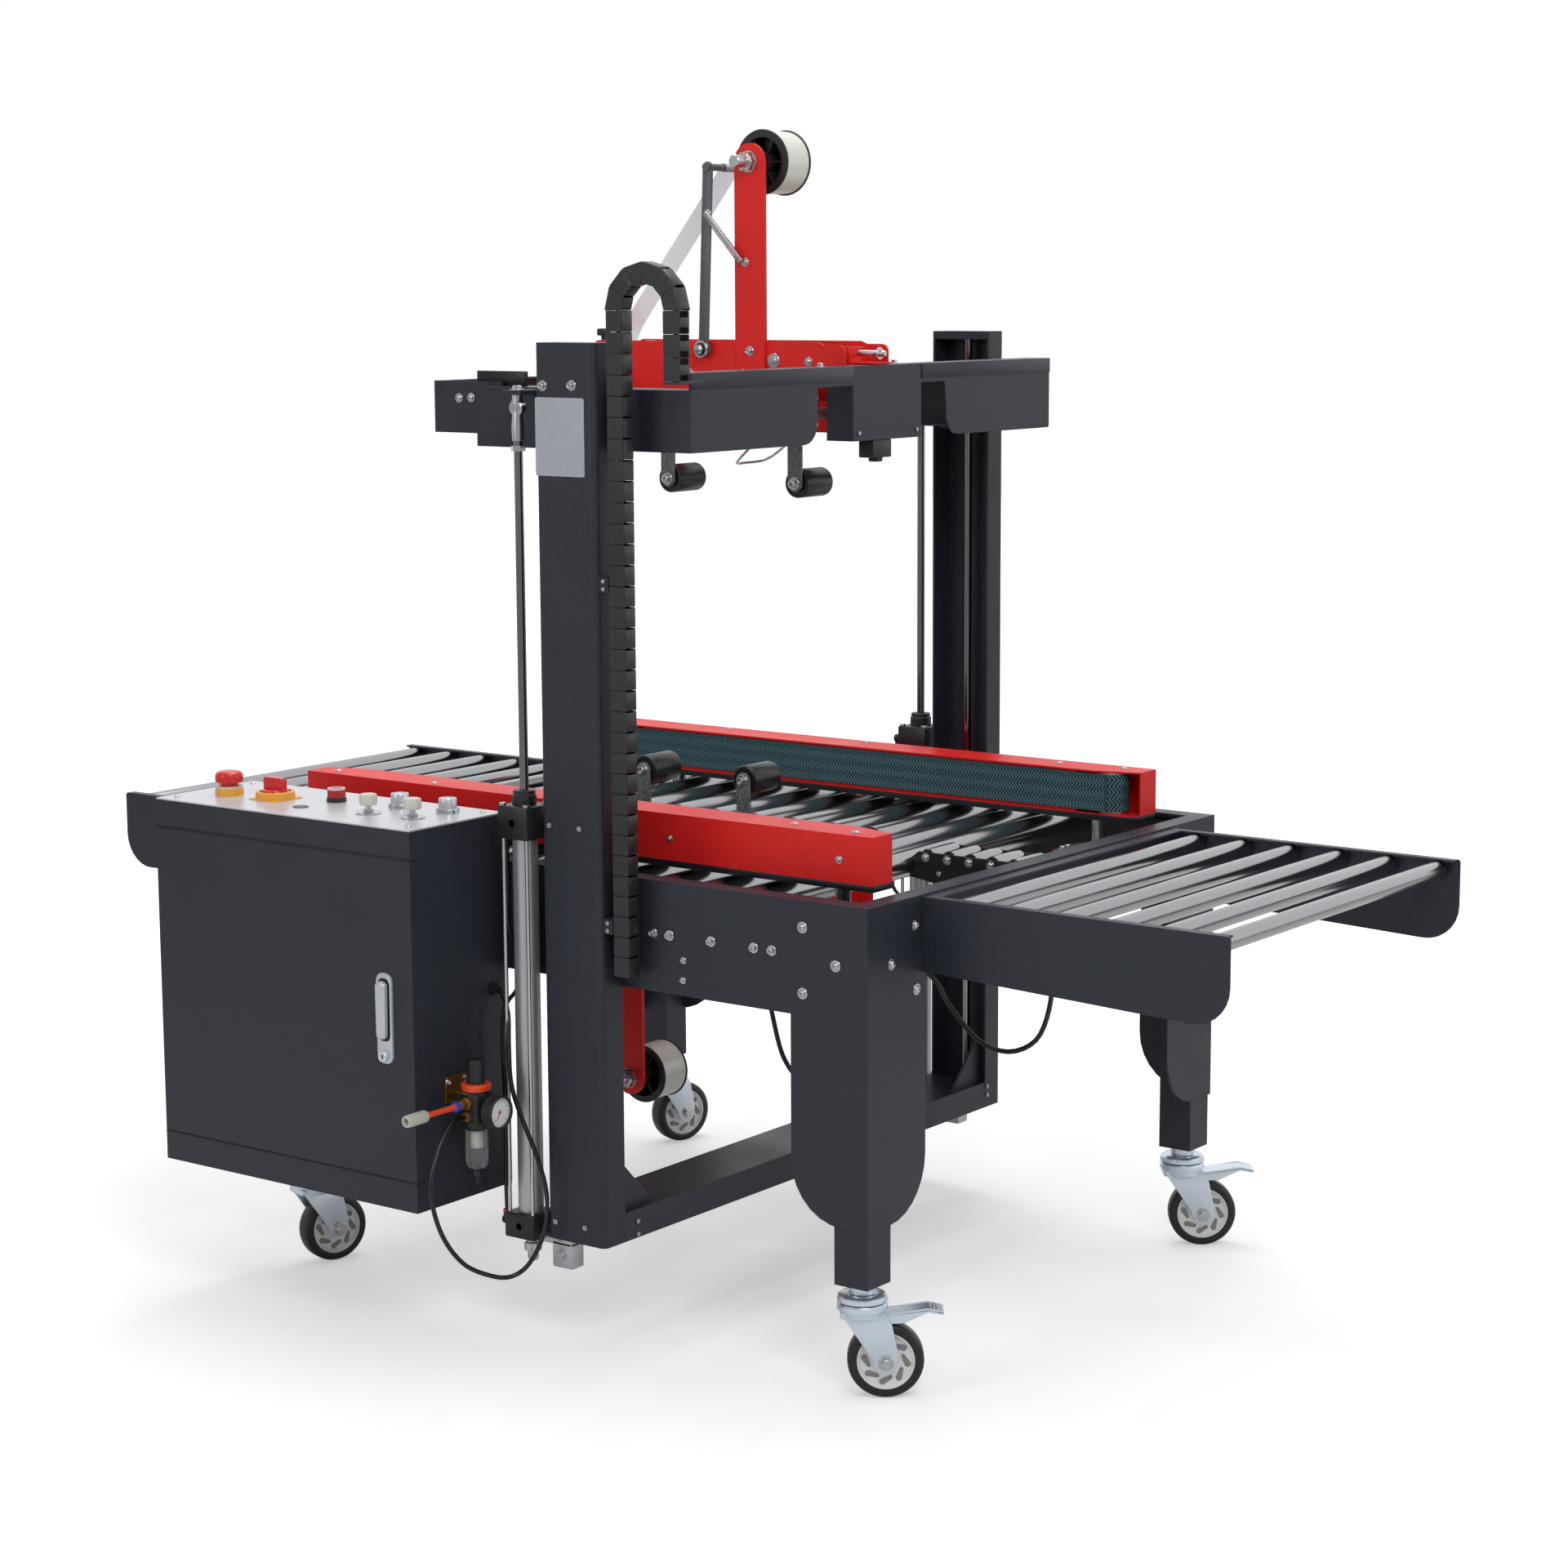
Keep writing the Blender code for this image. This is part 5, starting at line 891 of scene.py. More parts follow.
@dataclass
class Bed(Assembly):
    """The welded bed, its fasteners, and the deck of rollers on it."""

    half_width: float = 0.443
    end_x: float = 0.5245
    roller_radius: float = 0.020
    roller_z: float = 0.625
    last_x: float = 0.300
    pitch: float = 0.072
    count: int = 12
    slot_xs: tuple = (-0.250, 0.205)
    spans: tuple = ((-0.4317, -0.092), (0.092, 0.4317))
    rail_z: tuple = (0.602, 0.636)
    strip_xs: tuple = tuple(0.338 + 0.0357 * k for k in range(5))
    strip_z: float = 0.637
    strip_radius: float = 0.012
    near_row: tuple = (0.178, 0.206, 0.275, 0.345, 0.374)
    far_row: tuple = (-0.374, -0.345, 0.206, 0.275, 0.374)
    row_z: float = 0.579
    clip_screws: tuple = ((0.229, 0.548), (0.228, 0.521))
    leg_screws: tuple = ((0.423, 0.615), (0.475, 0.571), (0.423, 0.529))
    end_screws: tuple = ((-0.336, 0.612), (-0.390, 0.570), (-0.334, 0.528))
    channel_x: float = 0.1246
    channel_screws: tuple = ((0.446, 0.167), (0.446, 0.181), (-0.419, 0.171), (-0.419, 0.153))

    def shape(self) -> None:
        """Dress the bed, bolt it, and lay its rollers."""
        self.dress(CHARCOAL, "bed_frame", "base_channel")
        shells = screws([bed(x, -self.half_width, self.row_z) for x in self.near_row], (0, -1, 0), 0.0046)
        shells += screws([bed(x, -self.half_width, z) for x, z in self.clip_screws], (0, -1, 0), 0.0030)
        shells += screws([bed(x, self.half_width, self.row_z) for x in self.far_row], (0, 1, 0), 0.0046)
        shells += screws([bed(x, -self.half_width, z) for x, z in self.leg_screws], (0, -1, 0), 0.0050,
                         Recess.BUTTON)
        for end in SIDES:
            places = [bed(end * self.end_x, s * y, z) for s in SIDES for y, z in self.end_screws]
            shells += screws(places, (end, 0, 0), 0.0050, Recess.BUTTON)
        places = [bed(self.channel_x, y, z) for y, z in self.channel_screws]
        shells += screws(places, (1, 0, 0), 0.0032, washer=False)
        self.add("bed_screws", shells, STEEL)
        self.deck()
        self.strip()
        self.cables()

    def deck(self) -> None:
        """Steel rollers on hexagon shafts, split where the lower tape head stands, and their rails."""
        barrels, shafts = [], []
        for k in range(self.count):
            x = self.last_x - k * self.pitch
            whole = not self.slot_xs[0] < x < self.slot_xs[1]
            spans = ((self.spans[0][0], self.spans[1][1]),) if whole else self.spans
            for low, high in spans:
                barrels.append(lathe(roller_profile(self.roller_radius, high - low, 0.013),
                                     bed(x, low, self.roller_z), (0, 1, 0), 40))
                shafts.append(rod(0.006, -0.0042, high - low + 0.0042, bed(x, low, self.roller_z),
                                  (0, 1, 0), 18))
        self.add("deck_rollers", barrels, CHROME, slot="chrome", replaces=("roller_deck",))
        self.add("deck_shafts", shafts, STEEL, slot="chrome")
        rails = []
        for side in SIDES:
            for low, high, x0, x1 in ((0.4357, 0.4397, -0.521, 0.521), (0.084, 0.088, -0.276, 0.228)):
                notch = 0.0075
                outline = [(x0, self.rail_z[0]), (x1, self.rail_z[0]), (x1, self.rail_z[1])]
                for k in range(self.count):
                    x = self.last_x - k * self.pitch
                    if x0 + notch < x < x1 - notch:
                        outline += [(x + notch, self.rail_z[1]), (x + notch, self.roller_z + 0.004),
                                    (x - notch, self.roller_z + 0.004), (x - notch, self.rail_z[1])]
                outline.append((x0, self.rail_z[1]))
                rails.append(prism(outline, "y", side * low, side * high, 0.0003, 1).on_bed())
        self.add("deck_rails", rails, CHARCOAL, slot="charcoal")

    def strip(self) -> None:
        """Five small rollers between two plates at the outfeed end, where the tape is cut."""
        barrels = [lathe(roller_profile(self.strip_radius, 0.066, 0.008), bed(x, -0.033, self.strip_z),
                         (0, 1, 0), 32) for x in self.strip_xs]
        self.add("strip_rollers", barrels, CHROME, slot="chrome")
        outline = rounded([(0.301, 0.625, 0.002), (0.326, 0.645, 0.004), (0.4928, 0.645, 0.004),
                           (0.520, 0.633, 0.003), (0.520, 0.603, 0.002), (0.348, 0.603, 0.004),
                           (0.301, 0.610, 0.004)], 4)
        plates = [prism(outline, "y", side * 0.036, side * 0.039, 0.0006).on_bed() for side in SIDES]
        self.add("strip_plates", plates, DARK_STEEL)
        shells = []
        for side in SIDES:
            shells += screws([bed(x, side * 0.039, 0.637) for x in self.strip_xs], (0, side, 0), 0.0042,
                             Recess.BUTTON)
            shells += screws([bed(x, side * 0.039, 0.617) for x in (0.362, 0.470)], (0, side, 0), 0.0036,
                             washer=False)
        self.add("strip_screws", shells, STEEL)

    def cables(self) -> None:
        """Wires tied under the bed, from the cabinet to the drive at the outfeed end."""
        routes = (
            [(-0.30, -0.438, 0.560), (-0.10, -0.33, 0.556), (0.10, -0.23, 0.545), (0.180, -0.205, 0.490),
             (0.191, -0.200, 0.428), (0.212, -0.200, 0.365), (0.250, -0.200, 0.335), (0.300, -0.205, 0.350),
             (0.345, -0.22, 0.440), (0.36, -0.26, 0.545), (0.36, -0.34, 0.562)],
            [(-0.30, -0.438, 0.572), (-0.05, -0.36, 0.566), (0.20, -0.34, 0.562), (0.400, -0.27, 0.556),
             (0.462, -0.215, 0.520), (0.485, -0.200, 0.478), (0.530, -0.198, 0.436), (0.578, -0.198, 0.426),
             (0.622, -0.200, 0.448), (0.645, -0.205, 0.494), (0.655, -0.22, 0.540), (0.650, -0.26, 0.585)],
        )
        shells = [tube(smooth_path([bed(*point) for point in route], 0.012), 0.0034, 10)
                  for route in routes]
        self.add("bed_wiring", shells, RUBBER_AND_SHADE)


@dataclass
class Tables(Assembly):
    """Infeed and outfeed tables: six rollers each between side plates."""

    first_x: float = 0.5705
    pitch: float = 0.075
    count: int = 6
    radius: float = 0.0125
    roller_z: float = 0.6323
    half_length: float = 0.3107

    def shape(self) -> None:
        """Dress the frames, lay the rollers, and put a black U of painted shade in the side plates' notch
        at each roller's end.
        """
        self.dress(CHARCOAL, "infeed_table", "outfeed_table")
        notch_shades = []
        for end in SIDES:
            for k in range(self.count):
                x = end * (self.first_x + self.pitch * k)
                length = 2 * self.half_length
                profile = roller_profile(self.radius + (0.0001 if end < 0 else 0), length, 0.008)
                barrel = lathe(profile, bed(x, -self.half_length, self.roller_z), (0, 1, 0), 36)
                shaft = rod(0.005, -0.0075, length + 0.0075, bed(x, -self.half_length, self.roller_z),
                            (0, 1, 0), 18)
                if end > 0:
                    self.add(f"outfeed_roller_{k + 1}_tube", [barrel, shaft], CHROME,
                             f"outfeed_roller_{k + 1}", "chrome", (f"outfeed_roller_{k + 1}",))
                else:
                    self.add(f"infeed_roller_{k + 1}_tube", [barrel, shaft], CHROME, slot="chrome")
                # Painted shade: a black U filling the side plate's notch round the roller's end.
                outline = rounded([(x - 0.010, 0.6465, 0), (x + 0.010, 0.6465, 0),
                                   (x + 0.010, 0.620, 0.008), (x - 0.010, 0.620, 0.008)], 4)
                notch_shades += [prism(outline, "y", s * 0.3135, s * 0.3188, 0.0006).on_bed() for s in SIDES]
        self.add("roller_notch_shades", notch_shades, BLACK)
        shells = []
        for end in SIDES:
            places = [bed(end * 0.5277, s * y, 0.612) for s in SIDES for y in (0.12, 0.27)]
            shells += screws(places, (end, 0, 0), 0.0046, Recess.HEX)
        self.add("table_screws", shells, STEEL)


@dataclass
class Columns(Assembly):
    """The two columns with their fasteners, and the air cylinders that stand beside them."""

    face_y: float = 0.4864
    cylinder_x: float = -0.018
    cylinder_y: float = 0.472
    tube_radius: float = 0.0175
    cap_half: float = 0.026
    foot_cap: tuple = (0.1395, 0.1745)
    head_cap: tuple = (0.692, 0.737)
    neck_top: float = 0.757
    shaft_z: tuple = (0.1592, 1.3394)
    shaft_radius: float = 0.0062

    def shape(self) -> None:
        """Dress the columns and build both cylinders with their rods."""
        self.dress(CHARCOAL, "column_near", "column_far")
        shells = []
        for side in SIDES:
            places = [bed(x, side * self.face_y, z)
                      for x, z in ((0.0385, 1.296), (0.088, 1.297), (0.040, 0.716), (0.092, 0.716),
                                   (0.040, 0.172), (0.092, 0.172))]
            shells += screws(places[:2], (0, side, 0), 0.0046)
            shells += screws(places[2:], (0, side, 0), 0.0036, washer=False)
        for low in (0.578, 1.030):
            for z in (low + 0.005, low + 0.015):
                shells += screws([bed(0.1330, -0.4805, z)], (0, -1, 0), 0.0028, washer=False)
        self.add("column_screws", shells, STEEL)
        outline = rounded([(0.025, 1.179, 0.003), (0.108, 1.179, 0.003), (0.108, 1.281, 0.003),
                           (0.025, 1.281, 0.003)], 3)
        plate = prism(outline, "y", -self.face_y - 0.0006, -self.face_y + 0.0002, 0.0002, 1)
        self.add("column_plate", [plate.on_bed()], PLATE)
        for label, side in (("near", -1), ("far", 1)):
            self.cylinder(label, side)
            shaft = [(0, self.shaft_z[0]), (self.shaft_radius, self.shaft_z[0]),
                     (self.shaft_radius, self.shaft_z[1]), (0, self.shaft_z[1])]
            self.add(f"guide_shaft_skin_{label}", [lathe(shaft, bed(0.074, side * 0.46485, 0), sides=32)],
                     ROD_CHROME)
            self.air_lines(label, side)

    def air_lines(self, label: str, side: int) -> None:
        """A cylinder's two thin air lines, from its ports into the bed, with their push-in fittings.

        Args:
            label: The cylinder's side by name.
            side: The same side as a sign of y.
        """
        x, y = self.cylinder_x - self.cap_half, side * self.cylinder_y
        lines, elbows, collars = [], [], []
        for port, turn, lane in ((0.157, 0.470, 0.007), (0.7145, 0.540, -0.007)):
            up = 1 if turn > port else -1
            lane_y = y + side * lane
            points = [(x - 0.012, lane_y, port + up * 0.012), (x - 0.013, lane_y, port + up * 0.05),
                      (x - 0.012, lane_y, 0.5 * (port + turn)), (x - 0.013, lane_y, turn - up * 0.03),
                      (x - 0.011, y - side * 0.020, turn + up * 0.005),
                      (x - 0.008, side * 0.425, 0.512 if up > 0 else 0.505),
                      (x + 0.004, side * 0.395, 0.525)]
            lines.append(tube(smooth_path([bed(*point) for point in points], 0.008), 0.0030, 12))
            elbows += [rod(0.0062, -0.001, 0.0165, bed(x, lane_y, port), (-1, 0, 0), 24),
                       rod(0.0052, 0, 0.0110, bed(x - 0.012, lane_y, port), (0, 0, up), 24)]
            collars.append(lathe([(0, 0.0105), (0.0056, 0.0105), (0.0056, 0.0145), (0.0040, 0.0150),
                                  (0, 0.0150)], bed(x - 0.012, lane_y, port), (0, 0, up), 24))
        self.add(f"air_lines_{label}", lines, HOSE)
        self.add(f"air_line_elbows_{label}", elbows, BLACK)
        self.add(f"air_line_collars_{label}", collars, SIGNAL_RED)

    def cylinder(self, label: str, side: int) -> None:
        """One air cylinder: tube, four tie rods, end caps, neck, foot bracket and the chromed rod.

        Args:
            label: Which side, as the model's names have it.
            side: -1 near, 1 far.
        """
        x, y = self.cylinder_x, side * self.cylinder_y
        body = rod(self.tube_radius, 0.170, 0.697, bed(x, y, 0), sides=56)
        self.add(f"cylinder_tube_{label}", [body], ALUMINIUM, slot="silver",
                 replaces=(f"lift_cylinder_{label}",))
        corners = [bed(x + a * 0.0205, y + b * 0.0205, 0) for a in SIDES for b in SIDES]
        rods = [rod(0.0028, 0.142, 0.735, corner, sides=14) for corner in corners]
        nuts = screws([corner + (0, 0, 0.737) for corner in corners], (0, 0, 1), 0.0046, Recess.HEX, False)
        self.add(f"cylinder_tie_rods_{label}", rods + nuts, STEEL, slot="silver")
        caps = []
        for low, high in (self.foot_cap, self.head_cap):
            h = self.cap_half
            caps.append(block(bed(x - h, y - h, low), bed(x + h, y + h, high), 0.0022))
        neck = [(0, 0.735), (0.0165, 0.735), (0.0165, 0.750), (0.0150, 0.7515),
                (0.0150, self.neck_top - 0.001), (0.0140, self.neck_top), (0.0066, self.neck_top),
                (0.0066, 0.74), (0, 0.74)]
        caps.append(lathe(neck, bed(x, y, 0), sides=36))
        ports = [lathe([(0, 0), (0.0075, 0), (0.0075, 0.0008), (0.005, 0.0010), (0.005, -0.004),
                        (0, -0.004)], bed(x, y + side * self.cap_half, 0.5 * (low + high)), (0, side, 0),
                       24) for low, high in (self.foot_cap, self.head_cap)]
        self.add(f"cylinder_caps_{label}", caps + ports, BLACK, slot="silver")
        foot = [block(bed(x - 0.010, y - 0.013, 0.1387), bed(0.064, y + 0.013, 0.1467), 0.001),
                block(bed(0.030, y - 0.013, 0.1067), bed(0.064, y + 0.013, 0.1440), 0.002)]
        foot += screw(bed(0.048, y - 0.013, 0.126), (0, -1, 0), 0.0055, Recess.HEX)
        self.add(f"cylinder_foot_{label}", foot, ALUMINIUM, slot="silver")
        nose = [(0, 0.105), (0.006, 0.105), (0.0075, 0.1085), (0.0075, 0.118), (0.012, 0.1195),
                (0.012, 0.130), (0.0085, 0.132), (0.0085, 0.1395), (0, 0.1395)]
        self.add(f"cylinder_foot_pin_{label}", [lathe(nose, bed(x + 0.002, y, 0), sides=28)], STEEL)
        piston = [(0, 0.655), (0.0126, 0.655), (0.0126, 0.667), (0.006, 0.667), (0.006, 1.2527),
                  (0, 1.2527)]
        self.add(f"cylinder_rod_{label}", [lathe(piston, bed(x, y, 0), sides=32)], ROD_CHROME, Body.HEAD,
                 "chrome", (f"lift_rod_{label}",))
        eye = [(0.0052, -0.0055), (0.0100, -0.0055), (0.0112, -0.0040), (0.0112, 0.0040), (0.0100, 0.0055),
               (0.0052, 0.0055)]
        shank = [(0, 1.209), (0.0085, 1.209, 1), (0.0085, 1.216, 1), (0.0058, 1.2165), (0.0058, 1.222),
                 (0.0078, 1.2225), (0.0085, 1.240), (0.0072, 1.258), (0.0072, 1.2827), (0, 1.2827)]
        ends = [lathe(eye, bed(x, y, 1.266), (0, 1, 0), 36, ring=True),
                lathe(shank, bed(x, y, 0), sides=24),
                rod(0.0052, -0.0075, 0.0075, bed(x, y, 1.266), (0, 1, 0), 20)]
        self.add(f"rod_eye_{label}", ends, STEEL, Body.HEAD, "chrome")


@dataclass
class Head(Assembly):
    """The lifting frame with the fittings on its panels."""

    front_x: float = 0.240
    rear_y: float = 0.413
    top_z: float = 1.3135
    cylinder_x: float = -0.018

    def shape(self) -> None:
        """Dress the frame; add window plate, fasteners, bracket, sensor block and wire guard."""
        self.dress(CHARCOAL, "head_frame")
        shells = []
        for side in SIDES:
            places = [bed(-0.175, side * self.rear_y, 1.274), bed(-0.153, side * self.rear_y, 1.275)]
            shells += screws(places, (0, side, 0), 0.0042, Recess.BUTTON)
            shells += screws([bed(x, side * 0.456, 1.205) for x in (0.055, 0.092)], (0, 0, -1), 0.0042)
            shells += screws([bed(-0.2200, side * y, 1.262) for y in (0.10, 0.36)], (-1, 0, 0), 0.0044)
            shells += screws([bed(self.cylinder_x, side * 0.472, 1.289)], (0, 0, 1), 0.0062, Recess.HEX)
        shells += screws([bed(0.199, 0.085, self.top_z), bed(0.219, -0.12, self.top_z)], (0, 0, 1), 0.0040)
        shells += screws([bed(self.front_x, y, 1.222) for y in (-0.060, 0.080)], (1, 0, 0), 0.0026,
                         washer=False)
        self.add("head_screws", shells, STEEL, Body.HEAD)
        self.window()
        self.fittings()

    def window(self) -> None:
        """The slotted plate behind the head's window and its two clamp screws."""
        plate = prism(rounded([(-0.165, 1.214, 0.004), (-0.070, 1.214, 0.004), (-0.070, 1.300, 0.002),
                               (-0.165, 1.300, 0.002)], 3), "x", 0.2030, 0.2060, 0.0006)
        self.add("head_window_plate", [plate], GREY_LEVER, Body.HEAD)
        # Painted shade: the slots are black patches laid over the plate.
        slots = [prism(link_outline((-0.120, z - 0.012), (-0.120, z + 0.012), 0.0045), "x", 0.2058, 0.2068)
                 for z in (1.240, 1.275)]
        self.add("head_window_slots", slots, RUBBER_AND_SHADE, Body.HEAD)
        self.add("head_window_screws", screws([bed(0.2066, -0.120, z) for z in (1.236, 1.271)], (1, 0, 0),
                                              0.0044), STEEL, Body.HEAD)

    def fittings(self) -> None:
        """Dark lip, red bracket with its shaft, black sensor block and the V-shaped wire guard."""
        strips = [block(bed(self.front_x - 0.0010, low, 1.2925),
                        bed(self.front_x + 0.0016, high, self.top_z), 0.0008)
                  for low, high in ((-0.431, -0.0725), (0.0935, 0.431))]
        self.add("head_front_lip", strips, CHARCOAL, Body.HEAD, "charcoal")
        lip = block(bed(-0.149, -0.405, 1.2912), bed(-0.064, -0.397, 1.3110), 0.001)
        self.add("head_side_lip", [lip], DARK_STEEL, Body.HEAD)
        outline = [(0.181, 1.3140), (0.232, 1.3140), (0.232, 1.3170), (0.192, 1.3170), (0.189, 1.338),
                   (0.181, 1.338)]
        bracket = prism(outline, "y", -0.010, 0.030, 0.0006).on_bed()
        self.add("head_red_bracket", [bracket], RED_COAT, Body.HEAD, "red")
        pin = lathe([(0, 0), (0.0042, 0), (0.0042, 0.044), (0.0036, 0.046), (0, 0.046)],
                    bed(0.190, 0.010, 1.329), (1, 0, 0), 24)
        self.add("head_bracket_pin", [pin, *screw(bed(0.226, 0.010, 1.329), (1, 0, 0), 0.0056, Recess.HEX)],
                 STEEL, Body.HEAD)
        sensor = [block(bed(0.2130, -0.022, 1.186), bed(0.2385, 0.022, 1.2112), 0.002),
                  block(bed(0.2190, -0.007, 1.180), bed(0.2340, 0.007, 1.187), 0.0015)]
        self.add("head_sensor_block", sensor, BLACK, Body.HEAD)
        wires = [tube(smooth_path([bed(0.055, y, 1.214), bed(0.050, y, 1.205), bed(0.012, y * 0.8, 1.176),
                                   bed(-0.012, 0.0, 1.170)], 0.006), 0.0018, 8) for y in (-0.044, 0.044)]
        self.add("head_wire_guard", wires, STEEL, Body.HEAD)


@dataclass
class TapeHead(Assembly):
    """Upper and lower tape heads: red cartridges, tape rolls, press arms, lever, spring and film."""

    arm_x: float = 0.052
    roll_z: float = 1.593
    roll_radius: float = 0.0455
    low_arm_x: float = -0.183
    low_roll_z: float = 0.252
    low_roll_radius: float = 0.044
    plate_y: float = 0.053
    lever: tuple = ((-0.029, 1.334), (-0.019, 1.587))

    def shape(self) -> None:
        """Dress the cartridges, then build what turns and swings on them."""
        self.dress(RED_COAT, "cartridge_upper", "cartridge_lower")
        self.roll("upper", self.arm_x, self.roll_z, self.roll_radius, Body.HEAD)
        self.roll("lower", self.low_arm_x, self.low_roll_z, self.low_roll_radius, Body.FRAME)
        self.fasteners()
        self.tension_lever()
        self.film()
        for label, x in (("rear", -0.116), ("front", 0.112)):
            self.press_arm(f"upper_{label}", x, 1.243, 1.147, 0.0205, 0.0300, f"press_roller_upper_{label}")
        for label, x in (("rear", -0.168), ("front", 0.017)):
            self.press_arm(f"lower_{label}", x, 0.600, 0.716, 0.0215, 0.0315, f"press_arm_lower_{label}")

    def roll(self, label: str, x: float, z: float, radius: float, body: Body) -> None:
        """A roll of tape on a black flanged core, with the nut and washer of its spindle.

        Args:
            label: Its name.
            x: Where its axis stands along the machine.
            z: How high its axis is.
            radius: Its outer radius.
            body: The body that it rides on.
        """
        spin = f"tape_roll_{label}"
        half, core = 0.028, 0.0385
        wound_to = radius - 0.0020
        tape = [(core, -half + 0.0022), (wound_to - 0.0006, -half + 0.0022), (wound_to, -half + 0.0030),
                (wound_to, half - 0.0030), (wound_to - 0.0006, half - 0.0022), (core, half - 0.0022)]
        wound = WoundFilm(f"wound_film_{label}", "#f0ebe0", 0.22, 0.0, 1.1, 0.06, 0.07, coat=0.4,
                          centre=tuple(bed(x, 0, z)))
        self.add(f"{spin}_film", [lathe(tape, bed(x, 0, z), (0, 1, 0), 96, ring=True)], wound, spin, "tape",
                 (spin,))
        rim = radius
        core_rows = [(0.0085, -half), (0.014, -half), (0.0150, -half + 0.002), (0.0150, -0.006),
                     (0.0335, -0.006), (0.0345, -half), (rim - 0.001, -half), (rim, -half + 0.0012),
                     (rim - 0.0003, -half + 0.0026), (core - 0.0002, -half + 0.0026),
                     (core - 0.0002, half - 0.0026), (rim - 0.0003, half - 0.0026), (rim, half - 0.0012),
                     (rim - 0.001, half), (0.0345, half), (0.0335, 0.006), (0.0150, 0.006),
                     (0.0150, half - 0.002), (0.014, half), (0.0085, half)]
        rib = prism([(0.0145, -0.0012), (0.0345, -0.0012), (0.0345, 0.0012), (0.0145, 0.0012)], "z", -0.024,
                    0.024, 0.0003, 1).turned((0, 1, 0), (0, 0, 0))
        spokes = [Shell(rib.points @ about_y(k * math.pi / 3).T + bed(x, 0, z), rib.faces)
                  for k in range(6)]
        self.add(f"{spin}_core", [lathe(core_rows, bed(x, 0, z), (0, 1, 0), 72, ring=True), *spokes], BLACK,
                 spin, "tape")
        front = -self.plate_y - 0.005
        nose = [(0, 0), (0.0150, 0), (0.0150, 0.0018), (0.0088, 0.0020), (0.0088, 0.0335), (0.0078, 0.0345),
                (0, 0.0345)]
        shells = [lathe(nose, bed(x, front, z), (0, -1, 0), 36),
                  lathe([(0, 0), (0.0125, 0, 1), (0.0125, 0.009, 1), (0.0115, 0.0100), (0, 0.0100)],
                        bed(x, front - 0.0018, z), (0, -1, 0), 36),
                  lathe([(0, 0.0288), (0.0115, 0.0288), (0.0115, 0.0320), (0.0092, 0.0340),
                         (0.0092, 0.0385), (0.0080, 0.0398), (0, 0.0398)], bed(x, 0, z), (0, 1, 0), 36)]
        self.add(f"{spin}_spindle", shells, STEEL, body, "red")

    def fasteners(self) -> None:
        """Nuts, screws, spacers' ends and the small knob on both cartridges' near plates."""
        upper, lower = [], []
        ends = (((-0.190, 1.318), (-0.060, 1.300), (0.066, 1.318), (0.150, 1.318)),
                ((-0.205, 0.500), (-0.080, 0.500), (0.060, 0.500), (0.165, 0.600)))
        for side in SIDES:
            upper += screws([bed(x, side * self.plate_y, z)
                             for x, z in ends[0] + ((-0.116, 1.243), (0.112, 1.243))], (0, side, 0), 0.0042,
                            Recess.BUTTON)
            lower += screws([bed(x, side * self.plate_y, z)
                             for x, z in ends[1] + ((-0.168, 0.600), (0.017, 0.600))], (0, side, 0), 0.0042,
                            Recess.BUTTON)
        face = -self.plate_y - 0.005
        upper += screws([bed(self.arm_x + a, face, z)
                         for a, z in ((-0.013, 1.300), (0.013, 1.300), (0.0, 1.332))], (0, -1, 0), 0.0044)
        upper += screws([bed(0.090, -self.plate_y, 1.319)], (0, -1, 0), 0.0068, Recess.HEX)
        lower += screws([bed(self.low_arm_x + a, face, z)
                         for a, z in ((-0.013, 0.500), (0.013, 0.500), (0.0, 0.522))], (0, -1, 0), 0.0044)
        self.add("upper_head_screws", upper, STEEL, Body.HEAD)
        self.add("lower_head_screws", lower, STEEL)
        knob = [(0, 0), (0.0035, 0), (0.0035, 0.006), (0.0085, 0.0065), (0.0095, 0.008), (0.0095, 0.015),
                (0.0085, 0.0165), (0, 0.017)]
        self.add("ear_knob", [lathe(knob, bed(-0.224, -0.046, 1.345), (0, 0, 1), 30)], BLACK, Body.HEAD)
        bridge = [block(bed(-0.150, -0.050, 1.287), bed(-0.138, 0.050, 1.335), 0.001),
                  block(bed(0.155, -0.050, 1.262), bed(0.162, 0.050, 1.312), 0.001)]
        self.add("cartridge_bridges", bridge, RED_COAT, Body.HEAD, "red")
        guides = [lathe([(0, 0), (0.0085, 0), (0.0092, 0.0008), (0.0092, 0.0992), (0.0085, 0.100),
                         (0, 0.100)], bed(x, -0.050, z), (0, 1, 0), 36)
                  for x, z in ((-0.2045, 1.3340), (-0.015, 1.276))]
        self.add("cartridge_guide_rollers", guides, STEEL, Body.HEAD)

